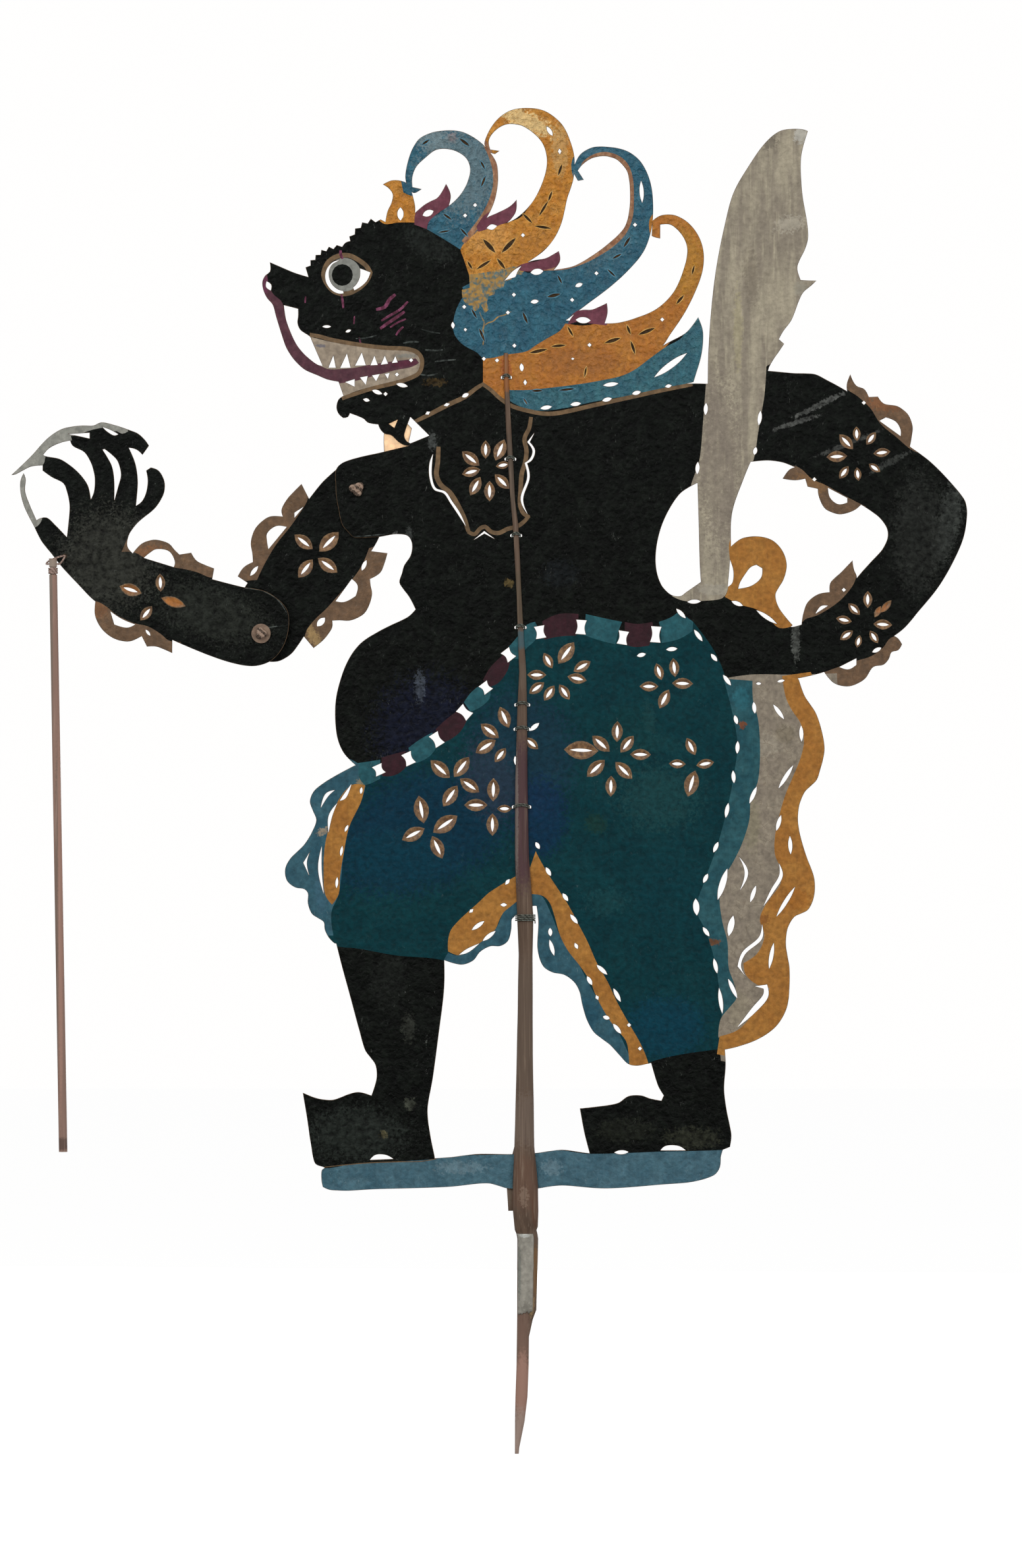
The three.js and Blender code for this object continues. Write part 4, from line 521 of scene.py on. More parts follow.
PAINTS = {
    Finish.SKIN: Paint(
        "040604", "151915", "7c807a", 0.6, 9 * MM, 0.2, 24.0, 0.5,
        mottle=0.9, dents=1.6, rough=0.42, specular=0.07, relief=0.6,
        blushes=spots(
            (650, 1110, 120, 120, "14182a", 0.7, 0.55), (637, 1040, 11, 34, "6b7480", 0.3, 0.95),
            (600, 812, 6, 8, "8a8c88", 0.4, 0.9), (772, 885, 11, 9, "6a5a38", 0.7, 0.9),
            (660, 580, 24, 9, "4a3b22", 0.7, 0.9), (656, 670, 10, 19, "6f7370", 0.35, 0.95),
            (621, 812, 8, 15, "6f7370", 0.25, 0.9), (1208, 970, 9, 52, "6a6d68", 0.5, 0.9),
            (1440, 790, 26, 95, "4a4e4a", 0.5, 0.8, -12), (1395, 810, 60, 130, "282a27", 0.7, 0.8),
            # the four thin slanted grey streaks on this line and the next are painted highlights, a sheen
            # across the black of the rear arm
            (1245, 614, 62, 6, "7c7e7a", 0.4, 0.95, 26), (1206, 642, 55, 5, "7c7e7a", 0.35, 0.95, 18),
            (1285, 674, 70, 5, "70726e", 0.3, 0.95, 22), (1350, 702, 45, 7, "60635f", 0.3, 0.95, 28),
            (650, 372, 60, 26, "5a625c", 0.1, 0.95, -30), (590, 1490, 40, 60, "1c1f1c", 0.6, 0.7),
            (620, 1560, 14, 30, "5a5d54", 0.25, 0.95), (540, 1722, 110, 60, "262b27", 0.8, 0.8),
            (582, 1722, 9, 9, "6a6244", 0.5, 0.9), (622, 1676, 12, 14, "6a6e60", 0.3, 0.95),
            (1050, 1728, 60, 24, "3a3c30", 0.5, 0.9), (950, 1715, 60, 26, "20231c", 0.7, 0.8),
            (850, 870, 40, 30, "14181a", 0.8, 0.8), (165, 850, 110, 110, "3c3d37", 0.6, 0.9),
            (320, 930, 130, 60, "292c27", 0.7, 0.9, -18),
        ),
    ),
    Finish.BLUE: Paint(
        "205a70", "3f7f92", "a9b4ac", 0.4, 9 * MM, 0.35, 30.0, 0.5,
        cracks=0.25, crack_colour="1f3f4a", mottle=0.3, dents=2.6, rough=0.4, specular=0.4, relief=1.0,
        blushes=spots(
            (686, 209, 12, 12, "a58a88", 0.9, 0.7), (655, 212, 46, 24, "92a6aa", 0.7, 0.8, -20),
            (700, 260, 90, 100, "748a90", 0.7, 0.7), (900, 330, 90, 110, "5a7d8a", 0.6, 0.7),
            (905, 232, 60, 10, "4f8094", 0.5, 0.6),
        ),
    ),
    Finish.TAIL_BLUE: Paint(
        "2a6272", "4a858c", "a9b4ac", 0.4, 8 * MM, 0.3, 80.0, 0.6,
        cracks=0.2, crack_colour="1f3f4a", mottle=0.3, dents=2.6, rough=0.4, specular=0.4, relief=1.0,
    ),
    Finish.GOLD: Paint(
        "c88024", "e6a648", "f0cc90", 0.5, 8 * MM, 0.5, 35.0, 0.6,
        cracks=0.5, crack_colour="6f4418", mottle=0.3, dents=2.6, rough=0.4, specular=0.4, relief=1.0,
        blushes=spots(
            (800, 185, 64, 22, "ffdc98", 0.85, 0.8, -25), (850, 225, 18, 60, "deb878", 0.5, 0.8),
            (745, 362, 50, 36, "ecac5c", 0.5, 0.8), (805, 372, 60, 26, "c08030", 0.6, 0.7, 30),
        ),
    ),
    Finish.ORANGE: Paint(
        "b46e24", "ca8a36", "e6b878", 0.5, 18 * MM, 0.3, 75.0, 0.4,
        cracks=0.15, crack_colour="6f4010", mottle=0.28, dents=2.0, rough=0.42, specular=0.35, relief=0.9,
        blushes=spots(
            (1040, 400, 40, 80, "bc862c", 0.7, 0.6), (880, 550, 90, 30, "a2652a", 0.7, 0.7),
            (768, 560, 12, 26, "a85a2a", 0.8, 0.6),
        ),
    ),
    Finish.CLOTH_GOLD: Paint(
        "a87030", "c08a42", "d8aa62", 0.5, 22 * MM, 0.35, 10.0, 0.35,
        cracks=0.12, crack_colour="6a4418", dents=0.8,
        blushes=spots(
            (1210, 1365, 30, 22, "a2601a", 0.5, 0.6), (1160, 1395, 12, 9, "7d4a22", 0.6, 0.8),
        ),
    ),
    Finish.PLUM: Paint("683442", "844c5a", "b09a96", 0.5, 8 * MM, 0.3, 45.0, 0.3, specular=0.22),
    Finish.TONGUE: Paint(
        "4f2a36", "664048", "94767a", 0.6, 7 * MM, 0.35, 80.0, 0.35,
        specular=0.22,
        blushes=spots((615, 552, 26, 7, "5c2438", 0.8, 0.5, 8), (404, 432, 9, 18, "6e3050", 0.6, 0.4)),
    ),
    Finish.BEAD_BLUE: Paint("1e535c", "2f6870", "7fa6a8", 0.5, 8 * MM, 0.3, 60.0, 0.3),
    Finish.BEAD_PLUM: Paint("2b1018", "3f1b25", "80606a", 0.5, 6 * MM, 0.3, 60.0, 0.3),
    Finish.TROUSER: Paint(
        "02333a", "0c3f44", "6f8488", 0.5, 20 * MM, 0.3, 8.0, 0.3,
        mottle=0.35, dents=0.8, specular=0.1,
        blushes=spots(
            (640, 1260, 220, 130, "062f45", 0.8, 0.5, 20), (790, 1150, 120, 150, "1a3448", 0.6, 0.55),
            (745, 1185, 60, 90, "303a4a", 0.5, 0.7, 20), (820, 1240, 60, 90, "0a2c50", 0.6, 0.5),
            (960, 1110, 60, 60, "0c3a3c", 0.5, 0.6), (985, 1090, 14, 40, "1c4648", 0.5, 0.8, 8),
            (1020, 1350, 90, 90, "053840", 0.6, 0.6), (1000, 1210, 90, 70, "204a4b", 0.5, 0.9),
            (920, 1370, 40, 30, "2a5a5c", 0.22, 0.95), (1000, 1130, 50, 20, "1a4a4c", 0.3, 0.9),
            (1010, 1560, 90, 70, "063d50", 0.7, 0.5), (905, 1250, 26, 20, "1c3a2c", 0.5, 0.8, -30),
            (600, 1300, 120, 60, "063f4c", 0.4, 0.7),
        ),
    ),
    Finish.DRAPE: Paint(
        "2b5564", "46707c", "9fb0ae", 0.5, 10 * MM, 0.3, 10.0, 0.4,
        blushes=spots(
            (550, 1187, 16, 12, "9a8a68", 0.7, 0.8, 30), (490, 1262, 14, 8, "a5937a", 0.8, 0.8, 30),
            (488, 1350, 16, 50, "41687a", 0.6, 0.6), (890, 1540, 30, 40, "164a5e", 0.5, 0.6),
        ),
    ),
    Finish.SCARF_TEAL: Paint(
        "22505a", "3a6a70", "8aa49e", 0.5, 12 * MM, 0.3, 8.0, 0.35,
        specular=0.15,
        blushes=spots(
            (1127, 1100, 8, 9, "8a4a1c", 0.75, 0.8), (1078, 1430, 20, 7, "7a4a24", 0.8, 0.9),
            (1125, 1060, 18, 26, "2e6c78", 0.7, 0.6),
        ),
    ),
    Finish.SCARF_GREY: Paint(
        "8b8071", "a49986", "c8bfae", 0.6, 9 * MM, 0.4, 5.0, 0.5,
        cracks=0.5, crack_colour="6a5a48", rough=0.55, relief=0.7,
        blushes=spots(
            (1168, 1130, 30, 26, "a59c8b", 0.6, 0.9), (1140, 1250, 20, 60, "918a70", 0.6, 0.7),
            (1120, 1530, 24, 40, "9c927c", 0.6, 0.7), (1190, 1115, 22, 20, "7d735f", 0.6, 0.8),
        ),
    ),
    Finish.BASE_BLUE: Paint(
        "3c6271", "587e8b", "9fb4b8", 0.5, 12 * MM, 0.35, 85.0, 0.5,
        mottle=0.28, dents=0.8, rough=0.45, specular=0.28, relief=0.6,
        blushes=spots(
            (700, 1772, 55, 14, "7f97a0", 0.4, 0.9), (838, 1772, 22, 18, "7f98a2", 0.4, 0.9),
            (500, 1785, 24, 22, "2f5a68", 0.5, 0.6), (1000, 1768, 60, 16, "466f7c", 0.4, 0.9),
        ),
    ),
    Finish.BLADE: Paint(
        "948a7a", "bcb29a", "d2cab6", 0.75, 7 * MM, 0.8, 4.0, 0.4,
        mottle=0.2, dents=1.0, stretch=0.16, rough=0.55, relief=0.6,
        blushes=spots(
            (1215, 205, 16, 18, "c2bfb4", 0.8, 0.6), (1200, 340, 34, 18, "c6beac", 0.5, 0.9, 10),
            (1140, 420, 16, 60, "857b6a", 0.5, 0.9), (1120, 500, 10, 90, "b4aa86", 0.5, 0.9),
            (1092, 700, 46, 190, "857a6e", 0.6, 0.8), (1080, 895, 34, 14, "a9a293", 0.7, 0.8),
            (1170, 215, 20, 14, "5e584e", 0.5, 0.95, 40), (1215, 440, 14, 20, "a5a090", 0.6, 0.8),
        ),
    ),
    Finish.TEETH: Paint(
        "9a8b79", "b5a590", "d8ccba", 0.6, 6 * MM, 0.3, 10.0, 0.3,
        specular=0.25,
        blushes=spots((487, 525, 12, 4, "6a6870", 0.85, 0.4, -4), (615, 540, 22, 5, "84857e", 0.7, 0.6)),
    ),
    Finish.IRIS: Paint("8a8b84", "9c9d95", "c4c4bc", 0.5, 8 * MM, 0.2, 0.0, 0.2, relief=0.3),
    Finish.NAIL: Paint(
        "a3a39a", "b9b8ae", "dddcd4", 0.6, 6 * MM, 0.4, 60.0, 0.3,
        cracks=0.3, crack_colour="7a786c", specular=0.25, through=0.25,
    ),
    Finish.BAND: Paint(
        "6d553f", "87684c", "c89a68", 0.6, 6 * MM, 0.4, 30.0, 0.8,
        cracks=0.35, crack_colour="4a3826", rough=0.45, specular=0.3, relief=0.8, through=0.12,
        blushes=spots(
            (1345, 610, 40, 22, "94603a", 0.7, 0.8), (1230, 735, 40, 26, "8f6a42", 0.7, 0.8),
            (230, 845, 40, 24, "94643e", 0.7, 0.8), (150, 925, 20, 20, "94643e", 0.6, 0.8),
            (475, 965, 12, 26, "b99a66", 0.7, 0.8, 30),
        ),
    ),
    Finish.TAN_LINE: Paint(
        "6a543b", "84694a", "b89a72", 0.6, 4 * MM, 0.3, 30.0, 0.5,
        specular=0.25, relief=0.6,
    ),
    Finish.COPPER: Paint(
        "8a5c3e", "b48a66", "e4c09a", 0.7, 3 * MM, 0.4, 60.0, 0.8,
        rough=0.4, specular=0.35, relief=0.9,
    ),
    Finish.CHIPPED: Paint(
        "b28a48", "3f6e78", "8a7a68", 0.9, 2.2 * MM, 0.25, 40.0, 0.6,
        cracks=0.4, crack_colour="6f6a60", rough=0.55, relief=0.8,
    ),
    Finish.SCRATCH: Paint(
        "552638", "8f4d6c", "c490ac", 0.9, 3 * MM, 0.8, 40.0, 0.6,
        rough=0.6, specular=0.15, relief=0.7,
    ),
    # the pale gold flecks of the petal wall and lip are painted glints, light caught on the carved walls;
    # their browns are the bare hide's own colour
    Finish.PETAL: Paint(
        "684a32", "a07a50", "f4cc94", 0.7, 2 * MM, 0.3, 20.0, 0.95,
        rough=0.4, specular=0.35, relief=0.8,
        blushes=spots(
            (1338, 923, 16, 14, "a8682e", 0.8, 0.6), (263, 914, 24, 12, "b4702e", 0.8, 0.6),
            (200, 894, 24, 12, "9c6432", 0.7, 0.6),
        ),
    ),
    Finish.PETAL_LIP: Paint(
        "6e543c", "96744e", "f0cc98", 0.6, 2 * MM, 0.3, 20.0, 0.9,
        rough=0.4, specular=0.35, relief=0.8,
    ),
    Finish.GROOVE: Paint(
        "2e2214", "5e4426", "8a7048", 0.5, 2 * MM, 0.2, 20.0, 0.4,
        rough=0.6, specular=0.15,
    ),
    # the lips of the crown's cuts are painted lighter than the curls round them: a painted highlight, the
    # light that each cut's lip catches
    Finish.LIP_BLUE: Paint(
        "47829a", "6ea2b2", "b8d4da", 0.6, 3 * MM, 0.3, 20.0, 0.6,
        rough=0.4, specular=0.35, relief=0.7,
    ),
    Finish.LIP_GOLD: Paint(
        "d09a44", "ecc078", "f8e0ac", 0.6, 3 * MM, 0.3, 20.0, 0.6,
        rough=0.4, specular=0.35, relief=0.7,
    ),
    Finish.PATCH: Paint(
        "ffe8cc", "fff0da", "fff0d8", 0.5, 6 * MM, 0.3, 20.0, 0.2,
        mottle=0.2, relief=0.4, through=0.8,
    ),
    Finish.RIM: Paint("5a4632", "7a6248", "b8946a", 0.6, 3 * MM, 0.2, 0.0, 0.5, specular=0.25),
    Finish.WORN: Paint("1c201e", "585e5a", "8a908c", 0.9, 3 * MM, 0.5, 20.0, 0.6, rough=0.6, specular=0.12),
}


@dataclass(frozen=True)
class Field:
    """A painted field: its finish and its border in pixels of the picture."""

    finish: Finish
    border: tuple[Spot, ...]

    def borders(self) -> list[list[Vector]]:
        """The field's border in the plane of the hide, rounded between its corners."""
        return [rounded([on_sheet(p) for p in self.border], FIELD_SPACING)]


@dataclass(frozen=True)
class Line:
    """A painted line: its spine and its width in pixels, thinner at the ends by the taper."""

    finish: Finish
    spine: tuple[Spot, ...]
    width: float
    closed: bool = False
    taper: float = 0.7

    def borders(self) -> list[list[Vector]]:
        """The line's border in the plane of the hide.

        Returns:
            One border, or two halves where the line is closed.
        """
        points = [on_sheet(p) for p in self.spine]
        half = self.width * METRES_PER_PIXEL / 2
        if self.closed:
            ring = rounded(points, LINE_SPACING)
            outer = [p + side(ring, i, True) * half for i, p in enumerate(ring)]
            inner = [p - side(ring, i, True) * half for i, p in enumerate(ring)]
            middle = len(ring) // 2
            one = outer[: middle + 1] + inner[middle::-1]
            other = outer[middle:] + outer[:1] + inner[:1] + inner[: middle - 1 : -1]
            return [one, other]
        run = eased(points, LINE_SPACING)
        last = len(run) - 1
        swell = [math.sqrt(max(0.0, math.sin(math.pi * i / last))) for i in range(last + 1)]
        grow = [self.taper + (1 - self.taper) * s for s in swell]
        left = [p + side(run, i, False) * half * grow[i] for i, p in enumerate(run)]
        right = [p - side(run, i, False) * half * grow[i] for i, p in enumerate(run)]
        return [left + right[::-1]]


@dataclass(frozen=True)
class Cut:
    """A knife cut that doesn't go through: its ends and its width in pixels, with a flat lip round it in a
    paint of its own, on the crown a lighter one that is a painted highlight.
    """

    start: Spot
    end: Spot
    width: float
    lip: Finish
    floor: Finish = Finish.GROOVE
    depth: float = 0.45 * MM


def between(points: Sequence[Vector], share: float, start_turns: bool, end_turns: bool) -> Vector:
    """A place between the middle two of four points, on a centripetal curve.

    Args:
        points: the four points.
        share: how far along, from 0 at the second point to 1 at the third.
        start_turns: whether the second point is a corner.
        end_turns: whether the third point is a corner.

    Returns:
        The place on the curve.
    """
    p0, p1, p2, p3 = points
    d1 = max((p1 - p0).length, TICK) ** 0.5
    d2 = max((p2 - p1).length, TICK) ** 0.5
    d3 = max((p3 - p2).length, TICK) ** 0.5
    lead = ((p1 - p0) / d1 - (p2 - p0) / (d1 + d2) + (p2 - p1) / d2) * d2
    follow = ((p2 - p1) / d2 - (p3 - p1) / (d2 + d3) + (p3 - p2) / d3) * d2
    if start_turns and end_turns:
        return p1.lerp(p2, share)
    if start_turns:
        lead = (p2 - p1) * 1.5 - follow * 0.5
    if end_turns:
        follow = (p2 - p1) * 1.5 - lead * 0.5
    a = 2 * share**3 - 3 * share**2 + 1
    b = share**3 - 2 * share**2 + share
    c = share**3 - share**2
    return p1 * a + lead * b + p2 * (1 - a) + follow * c


def turn_at(points: Sequence[Vector], i: int) -> float:
    """How far a closed border turns at one of its points, in radians.

    Args:
        points: the border's points.
        i: which point.

    Returns:
        The turn, 0 or more.
    """
    before = points[i] - points[i - 1]
    after = points[(i + 1) % len(points)] - points[i]
    if before.length < TICK or after.length < TICK:
        return 0.0
    return abs(before.angle_signed(after, 0.0))


def rounded(points: Sequence[Vector], spacing: float, corner: float = CORNER) -> list[Vector]:
    """A closed border with smooth runs between its corners.

    Args:
        points: the border's points, as (x, z).
        spacing: how far apart the points on the curve are.
        corner: the turn from which a point stays sharp, in radians.

    Returns:
        The finer border.
    """
    count = len(points)
    sharp = [turn_at(points, i) > corner for i in range(count)]
    result = []
    for i in range(count):
        four = [points[(i + k) % count] for k in (-1, 0, 1, 2)]
        steps = max(1, min(MOST_STEPS, round((four[2] - four[1]).length / spacing)))
        for k in range(steps):
            result.append(between(four, k / steps, sharp[i], sharp[(i + 1) % count]))
    return result


def eased(points: Sequence[Vector], spacing: float) -> list[Vector]:
    """An open line with smooth runs through its points.

    Args:
        points: the line's points, as (x, z).
        spacing: how far apart the points on the curve are.

    Returns:
        The finer line, with both ends.
    """
    ends = [points[0] * 2 - points[1], *points, points[-1] * 2 - points[-2]]
    result = []
    for i in range(1, len(ends) - 2):
        four = ends[i - 1 : i + 3]
        steps = max(1, round((four[2] - four[1]).length / spacing))
        result.extend(between(four, k / steps, False, False) for k in range(steps))
    return [*result, points[-1]]


def side(points: Sequence[Vector], i: int, closed: bool) -> Vector:
    """The unit direction to the left of a line at one of its points.

    Args:
        points: the line's points.
        i: which point.
        closed: whether the line's ends meet.

    Returns:
        The direction, as (x, z).
    """
    last = len(points) - 1
    before = points[i - 1] if closed or i else points[0]
    after = points[(i + 1) % len(points)] if closed or i < last else points[last]
    along = (after - before).normalized()
    return Vector((-along.y, along.x))


def almond(start: Vector, end: Vector, width: float) -> list[Vector]:
    """The border of a pointed oval from one point to another.

    Args:
        start: one tip.
        end: the other tip.
        width: the width at the middle.

    Returns:
        Twelve points round it, anticlockwise.
    """
    along = end - start
    across = Vector((-along.y, along.x)).normalized() * width / 2
    shares = [k / ALMOND_STEPS for k in range(ALMOND_STEPS)]
    swells = [math.sin(math.pi * s) ** ALMOND_FULLNESS for s in shares]
    lower = [start + along * s - across * swell for s, swell in zip(shares, swells)]
    upper = [end - along * s + across * swell for s, swell in zip(shares, swells)]
    return lower + upper


def oval(x: float, y: float, across: float, down: float) -> tuple[Spot, ...]:
    """The spots of an upright oval: its middle, its half width and its half height, in pixels."""
    turns = [2 * math.pi * k / OVAL_SPOTS for k in range(OVAL_SPOTS)]
    return tuple((x + across * math.cos(turn), y + down * math.sin(turn)) for turn in turns)


def lines(finish: Finish, *rows: tuple[tuple[Spot, ...], float]) -> tuple[Line, ...]:
    """Lines of one finish from rows of their spine and their width."""
    return tuple(Line(finish, spine, width) for spine, width in rows)


